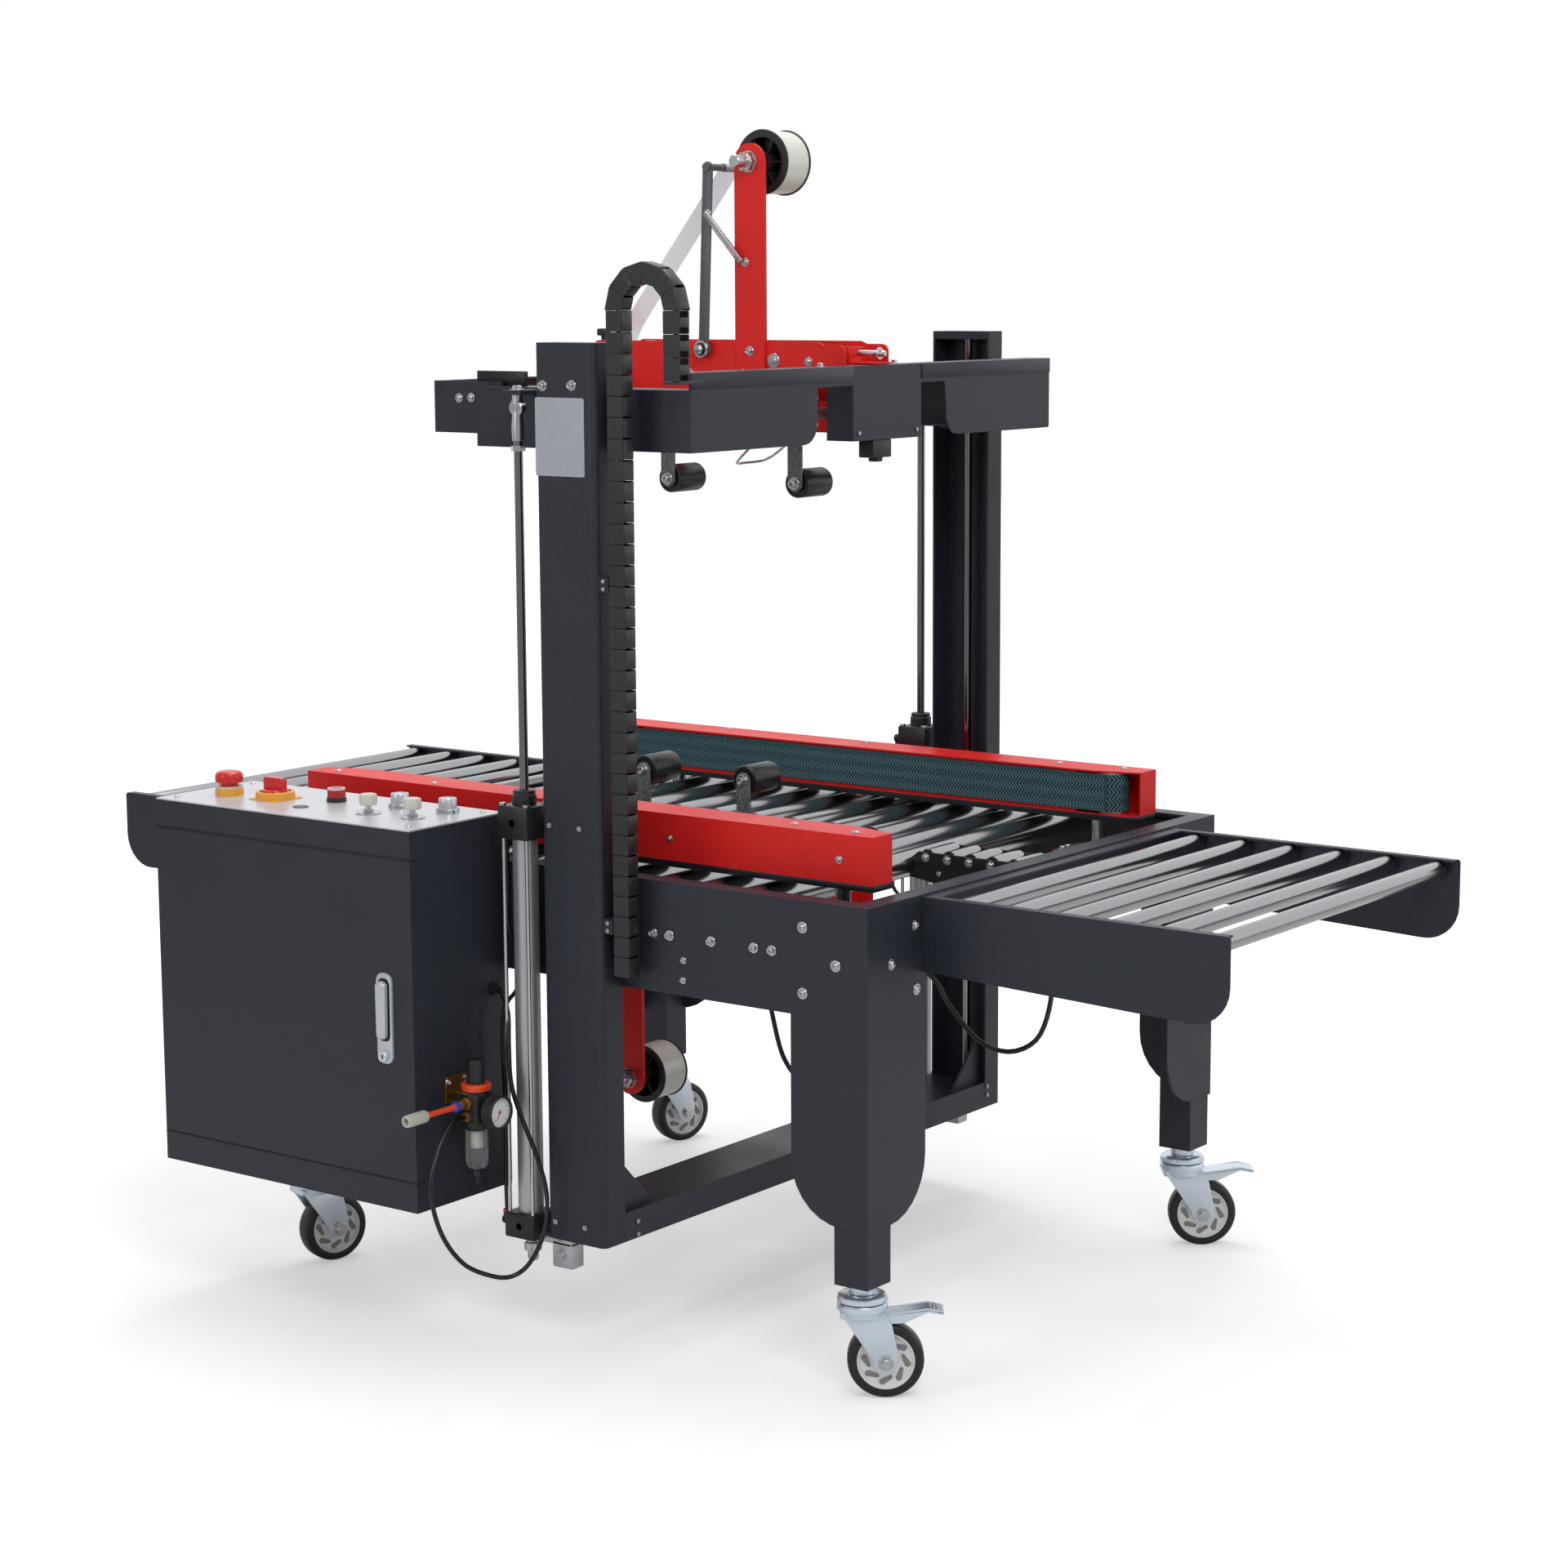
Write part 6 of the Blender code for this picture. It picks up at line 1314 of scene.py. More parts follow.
    def tension_lever(self) -> None:
        """The sprung lever: a round-ended bar, its bearing foot, the guide pin, and a coil spring."""
        foot, top = self.lever
        bar = prism(link_outline(foot, top, 0.008, 14), "y", -0.0615, -0.0565, 0.0012).on_bed()
        boss = [(0, 0), (0.0110, 0), (0.0110, 0.0062), (0.0100, 0.0078), (0.0058, 0.0080), (0.0052, 0.0066),
                (0, 0.0066)]
        pin = [(0, 0), (0.0062, 0), (0.0062, 0.0028), (0.0050, 0.0030), (0.0050, 0.0890), (0.0044, 0.0895),
               (0, 0.0895)]
        shells = [bar, lathe(boss, bed(foot[0], -0.0565, foot[1]), (0, -1, 0), 36),
                  lathe(pin, bed(top[0], -0.0645, top[1]), (0, 1, 0), 30)]
        self.add("tension_lever_bar", shells, GREY_LEVER, "tension_lever", "cast", ("tension_lever",))
        self.add("tension_lever_rod",
                 [lathe([(0, 0), (0.0062, 0), (0.0062, 0.050), (0.0055, 0.0505), (0, 0.0505)],
                        bed(top[0], -0.024, top[1]), (0, 1, 0), 30)], STEEL, "tension_lever")
        race = [(0.0090, 0), (0.0122, 0), (0.0122, 0.0020), (0.0112, 0.0028), (0.0096, 0.0028),
                (0.0090, 0.0022)]
        bolt = [(0, 0), (0.0052, 0), (0.0052, 0.0018), (0.0062, 0.0020, 1), (0.0062, 0.0062, 1),
                (0.0052, 0.0070), (0, 0.0070)]
        place = bed(foot[0], -0.0648, foot[1])
        self.add("tension_lever_bolt", [lathe(race, place, (0, -1, 0), 44, ring=True),
                                        lathe(bolt, place, (0, -1, 0), 36)], STEEL, Body.HEAD)
        seal = [(0.0050, 0.0001), (0.0092, 0.0001), (0.0092, 0.0017), (0.0050, 0.0017)]
        self.add("tension_lever_seal", [lathe(seal, place, (0, -1, 0), 44, ring=True)], BLACK, Body.HEAD)
        start, end = bed(-0.018, -0.067, 1.523), bed(0.045, -0.067, 1.455)
        hooks = [tube(np.array([start, start + (0.0015, 0.003, -0.0016)]), 0.0012, 8),
                 tube(np.array([end, end + (-0.0015, 0.003, 0.0016)]), 0.0012, 8)]
        spring = self.add("tension_spring", [tube(helix(start, end, 0.0042, 26), 0.00095, 7), *hooks],
                          STEEL, "")
        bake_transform(spring)
        self.add("spring_pin", screw(bed(0.045, -0.058, 1.455), (0, -1, 0), 0.0040, Recess.BUTTON), STEEL,
                 Body.HEAD)
        self.add("spring_pin_lever", screw(bed(-0.018, -0.0615, 1.523), (0, -1, 0), 0.0038, Recess.BUTTON),
                 STEEL, "tension_lever")

    def film(self) -> None:
        """The tape's path: off the roll, round the lever's rod, and down to the cartridge's rear roller."""
        foot, top = np.array((-0.2085, 1.3620)), np.array((-0.0262, 1.5850))
        tail = [(-0.2140, 1.3420), (-0.2115, 1.3290), (-0.2040, 1.3245)]
        route = smooth_path([*tail[::-1], tuple(foot), tuple(0.5 * (foot + top)), tuple(top),
                             (-0.0258, 1.5900)], 0.012)
        heading = unit(np.gradient(route, axis=0))
        normal = np.stack([-heading[:, 1], heading[:, 0]], axis=1) * 0.00025
        outline = np.concatenate([route + normal, (route - normal)[::-1]])
        web = prism(outline, "y", -0.024, 0.024).on_bed()
        sheet = self.add("tape_web", [web], FILM, "", "tape")
        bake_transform(sheet)

    def press_arm(self, name: str, x: float, pivot_z: float, roller_z: float, radius: float, half: float,
                  roller_body: str) -> None:
        """A cast press arm with its pivot boss and roller shaft, and the rubber roller on it.

        Args:
            name: The arm's name in the model, less its prefix.
            x: Where it hangs along the machine.
            pivot_z: Height of its pivot.
            roller_z: Height of its roller.
            radius: The roller's radius.
            half: Half the roller's length.
            roller_body: Body that the roller turns with; for a lower arm, the arm itself.
        """
        body = f"press_arm_{name}"
        near, far = -0.0360, -0.0310
        bar = prism(link_outline((x, pivot_z), (x, roller_z), 0.012, 16), "y", near, far, 0.0012).on_bed()
        boss = [(0.0055, 0.0003), (0.0092, 0.0003), (0.0095, 0.0008), (0.0095, 0.0989), (0.0092, 0.0994),
                (0.0055, 0.0994)]
        shells = [bar, lathe(boss, bed(x, -0.0497, pivot_z), (0, 1, 0), 36, ring=True)]
        self.add(f"{body}_casting", shells, CAST, body, "cast", (body,))
        self.add(f"{body}_shaft", [*screw(bed(x, near, roller_z), (0, -1, 0), 0.0058),
                                   rod(0.004, 0, 0.060, bed(x, far, roller_z), (0, 1, 0), 20)],
                 STEEL, body)
        low, high = (-half, 0.030)
        length = high - low
        rows = [(0.0045, 0.0), (0.0100, 0.0), (0.0105, 0.0010), (radius - 0.0045, 0.0010),
                (radius - 0.0040, 0.0), (radius - 0.0018, 0.0), (radius - 0.0005, 0.0006), (radius, 0.0020)]
        rows += [(r, length - z) for r, z in reversed(rows)]
        swap = (roller_body,) if roller_body.startswith("press_roller") else ()
        slot = "rubber" if swap else "cast"
        self.add(f"press_roller_{name}_rubber",
                 [lathe(rows, bed(x, low, roller_z), (0, 1, 0), 48, ring=True)], RUBBER_AND_SHADE, roller_body, slot,
                 swap)


@dataclass
class SideBelts(Assembly):
    """Two belt units: red cover, dark base plate, steel carriages and the woven belt."""

    outer: float = 0.3586
    centre: float = 0.3213
    axes_x: tuple = (-0.4875, 0.4236)
    radius: float = 0.0245
    thickness: float = 0.003
    belt_z: tuple = (0.664, 0.719)
    post_xs: tuple = (0.400, -0.384)
    skin: float = 0.0004            # how far a dark skin stands off the plate that it covers

    def shape(self) -> None:
        """Build both units."""
        self.dress(RED_COAT, "belt_housing_near", "belt_housing_far")
        for label, side in (("near", -1), ("far", 1)):
            self.unit(label, side, f"belt_{label}")

    def unit(self, label: str, side: int, body: str) -> None:
        """One side's skins, sleeves, carriages, fasteners and belt.

        Args:
            label: Which side.
            side: -1 near, 1 far.
            body: The body that the unit rides on.
        """
        outer, inner = self.outer + self.skin, self.centre - self.radius - 0.004 - self.skin
        rear, front = -0.5375 - self.skin, 0.4736 + self.skin
        outline = rounded([(rear, side * outer, 0.004), (front, side * outer, 0.004),
                           (front, side * inner, 0.026), (rear, side * inner, 0.026)], 10)
        base = prism(outline, "z", 0.6518 - self.skin, 0.6603, 0.0008).on_bed()
        self.add(f"belt_base_{label}", [base], DARK_STEEL, body, "red")
        steel, dark = [], []
        for x in self.post_xs:
            steel.append(rod(0.0104, 0.5605, 0.6514, bed(x, side * self.centre, 0), sides=32))
            dark.append(block(bed(x - 0.0124, side * (self.centre - 0.0204), 0.5401),
                              bed(x + 0.0124, side * (self.centre + 0.0204), 0.5624), 0.0015))
            steel.append(lathe([(0, 0.5620), (0.0165, 0.5620), (0.0165, 0.5680), (0.0150, 0.5695),
                                (0, 0.5695)], bed(x, side * self.centre, 0), sides=32))
        near, far = side * (self.centre - 0.0554), side * (self.centre + 0.0204)
        plate = rounded([(0.3546, near, 0.004), (0.4454, near, 0.004), (0.4454, far, 0.004),
                         (0.3546, far, 0.004)], 4)
        steel.append(prism(plate, "z", 0.5996, 0.6064, 0.0008).on_bed())
        places = [bed(x, side * y, 0.6064) for x in (0.366, 0.434)
                  for y in (self.centre - 0.045, self.centre - 0.030)]
        steel += screws(places, (0, 0, 1), 0.0050, Recess.HEX)
        self.add(f"belt_carriage_{label}", steel, STEEL, body, "red")
        self.add(f"belt_slide_{label}", dark, DARK_STEEL, body)
        tops = [(x, self.outer - 0.0216) for x in (-0.496, 0.432)]
        tops += [(0.327, 0.3286), (-0.03, 0.344), (-0.30, 0.344)]
        lids = screws([bed(x, side * y, 0.7236) for x, y in tops], (0, 0, 1), 0.0036, Recess.BUTTON)
        lids += screws([bed(x, side * self.outer, 0.690) for x in (-0.42, -0.14, 0.14, 0.42)], (0, side, 0),
                       0.0034, Recess.BUTTON)
        self.add(f"belt_cover_screws_{label}", lids, STEEL, body)
        pulleys = [lathe([(0, 0.6610), (0.0200, 0.6610), (0.0208, 0.6618), (0.0208, 0.7205), (0, 0.7205)],
                         bed(x, side * self.centre, 0), sides=48) for x in self.axes_x]
        self.add(f"belt_pulleys_{label}", pulleys, ALUMINIUM, body)
        self.belt(label, side, body)

    def belt(self, label: str, side: int, body: str) -> None:
        """The belt: a racetrack loop with a map of its length and height in metres, for the weave.

        Args:
            label: Its side by name.
            side: The same side as a sign of y.
            body: The body that it rides on.
        """
        line = link_outline((self.axes_x[0], side * self.centre), (self.axes_x[1], side * self.centre),
                            self.radius, 24)
        inner = link_outline((self.axes_x[0], side * self.centre), (self.axes_x[1], side * self.centre),
                             self.radius - self.thickness, 24)
        low, high = self.belt_z
        edge = 0.0008
        toward = unit(inner - line)
        rings = [(inner, low), (line + toward * edge, low), (line, low + edge), (line, high - edge),
                 (line + toward * edge, high), (inner, high)]
        points = np.concatenate([np.column_stack([flat, np.full(len(flat), z)]) for flat, z in rings])
        shell = Shell(points, (grid_faces(len(rings), len(line), True),)).on_bed()
        name = f"side_belt_{label}"
        thing = self.add(f"{name}_loop", [shell], BELT, body, "belt", (name,))
        mesh = thing.data
        corners = np.empty(len(mesh.loops), np.int64)
        mesh.loops.foreach_get("vertex_index", corners)
        spots = np.empty(len(mesh.vertices) * 3)
        mesh.vertices.foreach_get("co", spots)
        spots = spots.reshape(-1, 3)[corners]
        x0, x1 = self.axes_x
        y = spots[:, 1] - MIDDLE_Y - side * self.centre
        clamp_x = np.clip(spots[:, 0], x0, x1)
        turn = np.arctan2(np.abs(spots[:, 0] - clamp_x), y)
        arc = np.where(spots[:, 0] < x0, -turn * self.radius,
                       np.where(spots[:, 0] > x1, turn * self.radius, 0))
        along = np.stack([clamp_x + arc, spots[:, 2]], axis=1)
        layer = mesh.uv_layers.new(name="belt")
        layer.data.foreach_set("uv", along.ravel())


@dataclass
class Cabinet(Assembly):
    """The control cabinet: shell, door with its handle, and the panel with the controls on it."""

    front: float = -0.6343
    top: float = 0.7173
    handle_x: float = -0.1275
    door_x: tuple = (-0.5615, -0.0785)
    door_z: tuple = (0.2385, 0.6755)
    stop: tuple = (-0.497, -0.554)
    switch: tuple = (-0.417, -0.543)
    lamp: tuple = (-0.329, -0.512)
    plug: tuple = (-0.336, -0.575)
    knobs: tuple = ((-0.222, -0.560), (-0.147, -0.553))
    buttons: tuple = ((-0.220, -0.500), (-0.138, -0.493))

    def shape(self) -> None:
        """Dress the box and build handle and controls."""
        self.dress(CHARCOAL, "cabinet_shell", "cabinet_door")
        self.dress(PANEL, "control_panel")
        shells = [shell for x in (-0.541, -0.099) for y in (-0.613, -0.466)
                  for shell in screw(bed(x, y, self.top), (0, 0, 1), 0.0040, Recess.BUTTON, False)]
        self.add("panel_screws", shells, STEEL)
        hinges = [rod(0.0045, 0, 0.036, bed(-0.5575, self.front + 0.0228, z), sides=20)
                  for z in (0.285, 0.595)]
        self.add("door_hinges", hinges, DARK_STEEL)
        left, right, face = self.door_x[0], self.door_x[1], self.front + 0.0002
        # Painted shade: black strips along the seams above and below the door.
        seam_shades = [block(bed(left, face - 0.0016, z), bed(right, face, z + 0.0024))
                 for z in (self.door_z[0] - 0.0026, self.door_z[1] + 0.0002)]
        self.add("door_seam_shade", seam_shades, RUBBER_AND_SHADE)
        self.handle()
        self.controls()

    def handle(self) -> None:
        """The swing handle: a rounded plate, the paddle with a dark sheet of painted shade round it where
        its recess lies, and a round lock.
        """
        x, y = self.handle_x, self.front
        plate = [(x - 0.0145, 0.5215, 0.0125), (x - 0.0145, 0.3965, 0.0125), (x + 0.0145, 0.3965, 0.0125),
                 (x + 0.0145, 0.5215, 0.0125)]
        pad = prism(rounded(plate, 8), "y", y - 0.0033, y + 0.0010, 0.0016).on_bed()
        self.add("handle_plate", [pad], HANDLE, "cabinet_door", "silver")
        paddle_outline = rounded([(x - 0.009, 0.511, 0.008), (x - 0.0082, 0.432, 0.006),
                                  (x + 0.0082, 0.432, 0.006), (x + 0.009, 0.511, 0.008)], 6)
        paddle = prism(paddle_outline, "y", y - 0.0123, y - 0.0036, 0.0028, 4).on_bed()
        self.add("handle_paddle", [paddle], HANDLE, "door_handle", "silver", ("door_handle",))
        # Painted shade: a dark sheet, a little larger than the paddle, where its recess lies.
        recess_shade = rounded([(x - 0.0105, 0.514, 0.009), (x - 0.0100, 0.428, 0.007), (x + 0.0100, 0.428, 0.007),
                        (x + 0.0105, 0.514, 0.009)], 6)
        self.add("handle_recess_shade", [prism(recess_shade, "y", y - 0.0036, y - 0.0031).on_bed()], DARK_STEEL,
                 "cabinet_door")
        lock = [(0, 0), (0.0078, 0), (0.0078, 0.0050), (0.0070, 0.0060), (0.0054, 0.0060), (0.0050, 0.0052),
                (0, 0.0052)]
        slot = rounded([(x - 0.0010, 0.4105, 0.0005), (x - 0.0010, 0.4045, 0.0005),
                        (x + 0.0010, 0.4045, 0.0005), (x + 0.0010, 0.4105, 0.0005)], 2)
        self.add("handle_lock", [lathe(lock, bed(x, y - 0.0033, 0.4075), (0, -1, 0), 40)], ZINC,
                 "cabinet_door")
        # Painted shade: the keyway is a black slot on the lock's face.
        self.add("handle_keyway", [prism(slot, "y", y - 0.0091, y - 0.0084).on_bed()], RUBBER_AND_SHADE,
                 "cabinet_door")

    def controls(self) -> None:
        """Mushroom stop, rotary switch, lamp, two speed knobs and two push buttons."""
        z = self.top + 0.0003
        base = self.top - 0.0002
        sx, sy = self.stop
        ring = [(0.0135, 0), (0.0200, 0), (0.0200, 0.0090), (0.0185, 0.0125), (0.0172, 0.0133),
                (0.0135, 0.0133)]
        self.add("stop_ring", [lathe(ring, bed(sx, sy, base), sides=56, ring=True)], YELLOW, slot="panel")
        cap = [(0, 0.006), (0.0125, 0.006), (0.0125, 0.0177), (0.0185, 0.0177), (0.0197, 0.0191),
               (0.0197, 0.0275), (0.0190, 0.0300), (0.0165, 0.0325), (0.0120, 0.0338), (0, 0.0340)]
        self.add("stop_cap", [lathe(cap, bed(sx, sy, z), sides=64)], SIGNAL_RED, "emergency_stop",
                 "control_red", ("emergency_stop",))
        wx, wy = self.switch
        plate = [(wx - 0.0275, wy - 0.0275, 0.005), (wx + 0.0275, wy - 0.0275, 0.005),
                 (wx + 0.0275, wy + 0.0275, 0.005), (wx - 0.0275, wy + 0.0275, 0.005)]
        square = prism(rounded(plate, 5), "z", base, z + 0.0012, 0.0004, 1).on_bed()
        rim = [(0.0222, 0), (0.0275, 0), (0.0275, 0.0092), (0.0260, 0.0108), (0.0222, 0.0108)]
        self.add("switch_base", [square, lathe(rim, bed(wx, wy, z), sides=64, ring=True)], YELLOW)
        disc = [(0, 0), (0.0215, 0), (0.0215, 0.0060), (0.0200, 0.0085), (0.0185, 0.0125), (0.0170, 0.0135),
                (0, 0.0135)]
        grip = prism(rounded([(-0.0180, 0.0120, 0), (-0.0180, 0.0300, 0.004), (0.0180, 0.0300, 0.004),
                              (0.0180, 0.0120, 0)], 5), "y", -0.0058, 0.0058, 0.0016, 3)
        grip = Shell(grip.points + bed(wx, wy, z), grip.faces)
        self.add("switch_handle", [lathe(disc, bed(wx, wy, z), sides=56), grip], SIGNAL_RED, "main_switch",
                 "control_red", ("main_switch",))
        self.add("switch_pointer",
                 [block(bed(wx - 0.0009, wy - 0.0010, z + 0.0296),
                        bed(wx + 0.0009, wy + 0.0050, z + 0.0301))], WHITE, "main_switch")
        lx, ly = self.lamp
        skirt = [(0, 0), (0.0138, 0), (0.0138, 0.0055), (0.0130, 0.0066), (0.0127, 0.0066), (0, 0.0066)]
        self.add("lamp_base", [lathe(skirt, bed(lx, ly, base), sides=44)], BLACK, slot="panel")
        lens = [(0, 0.0060), (0.0127, 0.0060), (0.0127, 0.0160), (0.0118, 0.0186), (0.0090, 0.0193),
                (0, 0.0193)]
        self.add("lamp_lens", [lathe(lens, bed(lx, ly, base), sides=44)], DARK_RED, slot="panel")
        plug = [(0, 0), (0.0110, 0), (0.0110, 0.0005), (0.0104, 0.0009), (0, 0.0009)]
        self.add("panel_plug", [lathe(plug, bed(*self.plug, z), sides=40)], GREY_LEVER)
        for label, (x, y) in zip("ab", self.knobs):
            disc = [(0, 0), (0.0170, 0), (0.0170, 0.0012), (0.0164, 0.0016), (0, 0.0016)]
            stem = [(0, 0.0010), (0.0062, 0.0010, 1), (0.0062, 0.0060, 1), (0.0040, 0.0062),
                    (0.0040, 0.0130), (0, 0.0130)]
            body = f"speed_knob_{label}"
            self.add(f"{body}_stem", [lathe(disc, bed(x, y, z), sides=48),
                                      lathe(stem, bed(x, y, z), sides=36)], STEEL, body, "knob_cream")
            cap = [(0, 0.0115), (0.0105, 0.0115), (0.0116, 0.0124), (0.0123, 0.0150), (0.0123, 0.0240),
                   (0.0112, 0.0262), (0.0085, 0.0269), (0, 0.0269)]
            self.add(f"{body}_cap", [self.fluted(cap, bed(x, y, z))], CREAM, body, "knob_cream", (body,))
        for label, (x, y) in zip("ab", self.buttons):
            body = f"push_button_{label}"
            collar = [(0.0132, 0), (0.0160, 0), (0.0160, 0.0045), (0.0150, 0.0068), (0.0138, 0.0073),
                      (0.0132, 0.0068)]
            self.add(f"{body}_collar", [lathe(collar, bed(x, y, base), sides=56, ring=True)], STEEL,
                     slot="panel")
            cap = [(0, 0.004), (0.0125, 0.004), (0.0125, 0.0182), (0.0117, 0.0198), (0.0096, 0.0200),
                   (0.0090, 0.0193), (0, 0.0192)]
            self.add(f"{body}_cap", [lathe(cap, bed(x, y, z), sides=56)], HANDLE, body, "button_metal",
                     (body,))

    def fluted(self, profile: list, centre: Array) -> Shell:
        """A turned cap whose outer rows are pressed in by 0.35 mm sixteen times round, as grip flutes.

        Args:
            profile: Radius and height pairs, bottom to top.
            centre: Where its axis stands.

        Returns:
            The knob as a shell.
        """
        shell = lathe(profile, (0, 0, 0), sides=96)
        radius = np.linalg.norm(shell.points[:, :2], axis=1)
        angle = np.arctan2(shell.points[:, 1], shell.points[:, 0])
        press = 0.00035 * (1 - np.cos(16 * angle)) / 2 * (radius > 0.0112)
        scale = np.where(radius > 0, (radius - press) / np.maximum(radius, 1e-9), 1.0)
        points = shell.points * np.column_stack([scale, scale, np.ones_like(scale)])
        return Shell(points + centre, shell.faces)


@dataclass
class AirService(Assembly):
    """The regulator with its gauge, bowl and fittings on the cabinet's side, and the air hose."""

    x: float = -0.043
    y: float = -0.552
    inlet_z: float = 0.341
    gauge_z: float = 0.331
    hose_radius: float = 0.0032

    def shape(self) -> None:
        """Build each piece of the regulator, then the hose."""
        x, y = self.x, self.y
        core = [(0, 0.303), (0.0150, 0.303), (0.0175, 0.3065), (0.0175, 0.3560), (0.0165, 0.3575),
                (0, 0.3575)]
        cheeks = [block(bed(x - 0.0165, y - 0.0165, 0.3115), bed(x + 0.0165, y + 0.0165, 0.3545), 0.004)]
        self.add("regulator_core", [lathe(core, bed(x, y, 0), sides=48), *cheeks], BLACK, slot="black",
                 replaces=("regulator_body",))
        ring = [(0, 0.3570), (0.0198, 0.3570), (0.0205, 0.3580), (0.0205, 0.3648), (0.0196, 0.3660),
                (0, 0.3660)]
        self.add("regulator_ring", [lathe(ring, bed(x, y, 0), sides=48)], ORANGE, slot="black")
        bowl = [(0.0136, 0.3030), (0.0155, 0.3030), (0.0155, 0.2590), (0.0146, 0.2530), (0.0118, 0.2490),
                (0.0060, 0.2470), (0.0060, 0.2490), (0.0108, 0.2508), (0.0128, 0.2545), (0.0136, 0.2600)]
        self.add("filter_bowl", [lathe(bowl, bed(x, y, 0), sides=48, ring=True)], BOWL, slot="black")
        guard = [(0, 0.3000), (0.0085, 0.3000), (0.0090, 0.2990), (0.0090, 0.2790), (0.0080, 0.2770),
                 (0, 0.2770)]
        self.add("filter_element", [lathe(guard, bed(x, y, 0), sides=36)], COUPLER, slot="black")
        drain = [(0, 0.2250), (0.0036, 0.2250), (0.0040, 0.2258), (0.0040, 0.2360), (0.0058, 0.2368),
                 (0.0070, 0.2380, 1), (0.0070, 0.2460, 1), (0.0060, 0.2478), (0, 0.2478)]
        self.add("bowl_drain", [lathe(drain, bed(x, y, 0), sides=36)], BLACK, slot="black")
        self.bracket()
        self.gauge()
        self.inlet()
        knob = [(0, 0.3663), (0.0125, 0.3663), (0.0125, 0.3950), (0.0112, 0.3985), (0.0085, 0.3990),
                (0, 0.3990)]
        shell = lathe(knob, (0, 0, 0), sides=96)
        angle = np.arctan2(shell.points[:, 1], shell.points[:, 0])
        squeeze = 1 - 0.03 * (1 + np.cos(18 * angle)) / 2 * (np.abs(shell.points[:, 2] - 0.382) < 0.014)
        swell = np.column_stack([squeeze, squeeze, np.ones_like(squeeze)])
        ridged = Shell(shell.points * swell + bed(x, y, 0), shell.faces)
        self.add("regulator_knob_cap", [ridged], BLACK, "regulator_knob", "black", ("regulator_knob",))
        self.hose()

    def bracket(self) -> None:
        """The yellow-zinc bracket between cabinet and regulator, with two screws."""
        x, y, wall = self.x, self.y, -0.0773
        outline = rounded([(y - 0.026, 0.336, 0.003), (y + 0.018, 0.336, 0.003),
                           (y + 0.018, 0.374, 0.003), (y - 0.026, 0.374, 0.003)], 3)
        shells = [prism(outline, "x", wall, wall + 0.003, 0.0006).on_bed(),
                  block(bed(wall + 0.001, y - 0.018, 0.3518), bed(x, y + 0.018, 0.3550), 0.0006)]
        self.add("regulator_bracket", shells, YELLOW_ZINC, slot="black")
        self.add("bracket_screws",
                 screws([bed(wall + 0.003, y - 0.021, 0.366), bed(wall + 0.003, y + 0.013, 0.366)],
                        (1, 0, 0), 0.0032), STEEL)

    def gauge(self) -> None:
        """A pressure gauge facing away from the cabinet: case, white dial, pointer and clear lens."""
        x, y, z = self.x, self.y, self.gauge_z
        centre = bed(x + 0.026, y, z)
        case = [(0, 0), (0.0195, 0), (0.0222, 0.0020), (0.0222, 0.0150), (0.0230, 0.0158), (0.0230, 0.0190),
                (0.0222, 0.0198), (0.0203, 0.0198), (0.0198, 0.0150), (0, 0.0150)]
        neck = [(0, -0.016), (0.0062, -0.016, 1), (0.0062, 0.0005, 1), (0, 0.0005)]
        self.add("gauge_case", [lathe(case, centre, (1, 0, 0), 56), lathe(neck, centre, (1, 0, 0), 36)],
                 BLACK, slot="black")
        dial = [(0, 0.0148), (0.0200, 0.0148), (0.0200, 0.0154), (0, 0.0154)]
        self.add("gauge_dial", [lathe(dial, centre, (1, 0, 0), 56)], WHITE, slot="black")
        ticks = []
        for k in range(13):
            angle = math.radians(-135 + 22.5 * k)
            reach = 0.0132 if k % 3 == 0 else 0.0151
            mark = block((-0.0003, 0.0154, reach), (0.0003, 0.0157, 0.0177))
            turned = Shell(mark.points @ about_y(angle).T, mark.faces)
            swap = turned.points[:, [1, 0, 2]]
            ticks.append(Shell(swap + centre, turned.faces))
        pointer = prism(np.array([(-0.0010, -0.0040), (0.0010, -0.0040), (0.0003, 0.0124),
                                  (-0.0003, 0.0124)]), "y", 0.0158, 0.0162)
        turned = pointer.points @ about_y(math.radians(-150)).T
        ticks.append(Shell(turned[:, [1, 0, 2]] + centre, pointer.faces))
        ticks.append(rod(0.0018, 0.0156, 0.0168, centre, (1, 0, 0), 20))
        self.add("gauge_pointer", ticks, DARK_RED, slot="black")
        lens = [(0, 0.0176), (0.0200, 0.0176), (0.0200, 0.0184), (0.0105, 0.0191), (0, 0.0193)]
        self.add("gauge_lens", [lathe(lens, centre, (1, 0, 0), 56)], LENS, slot="black")

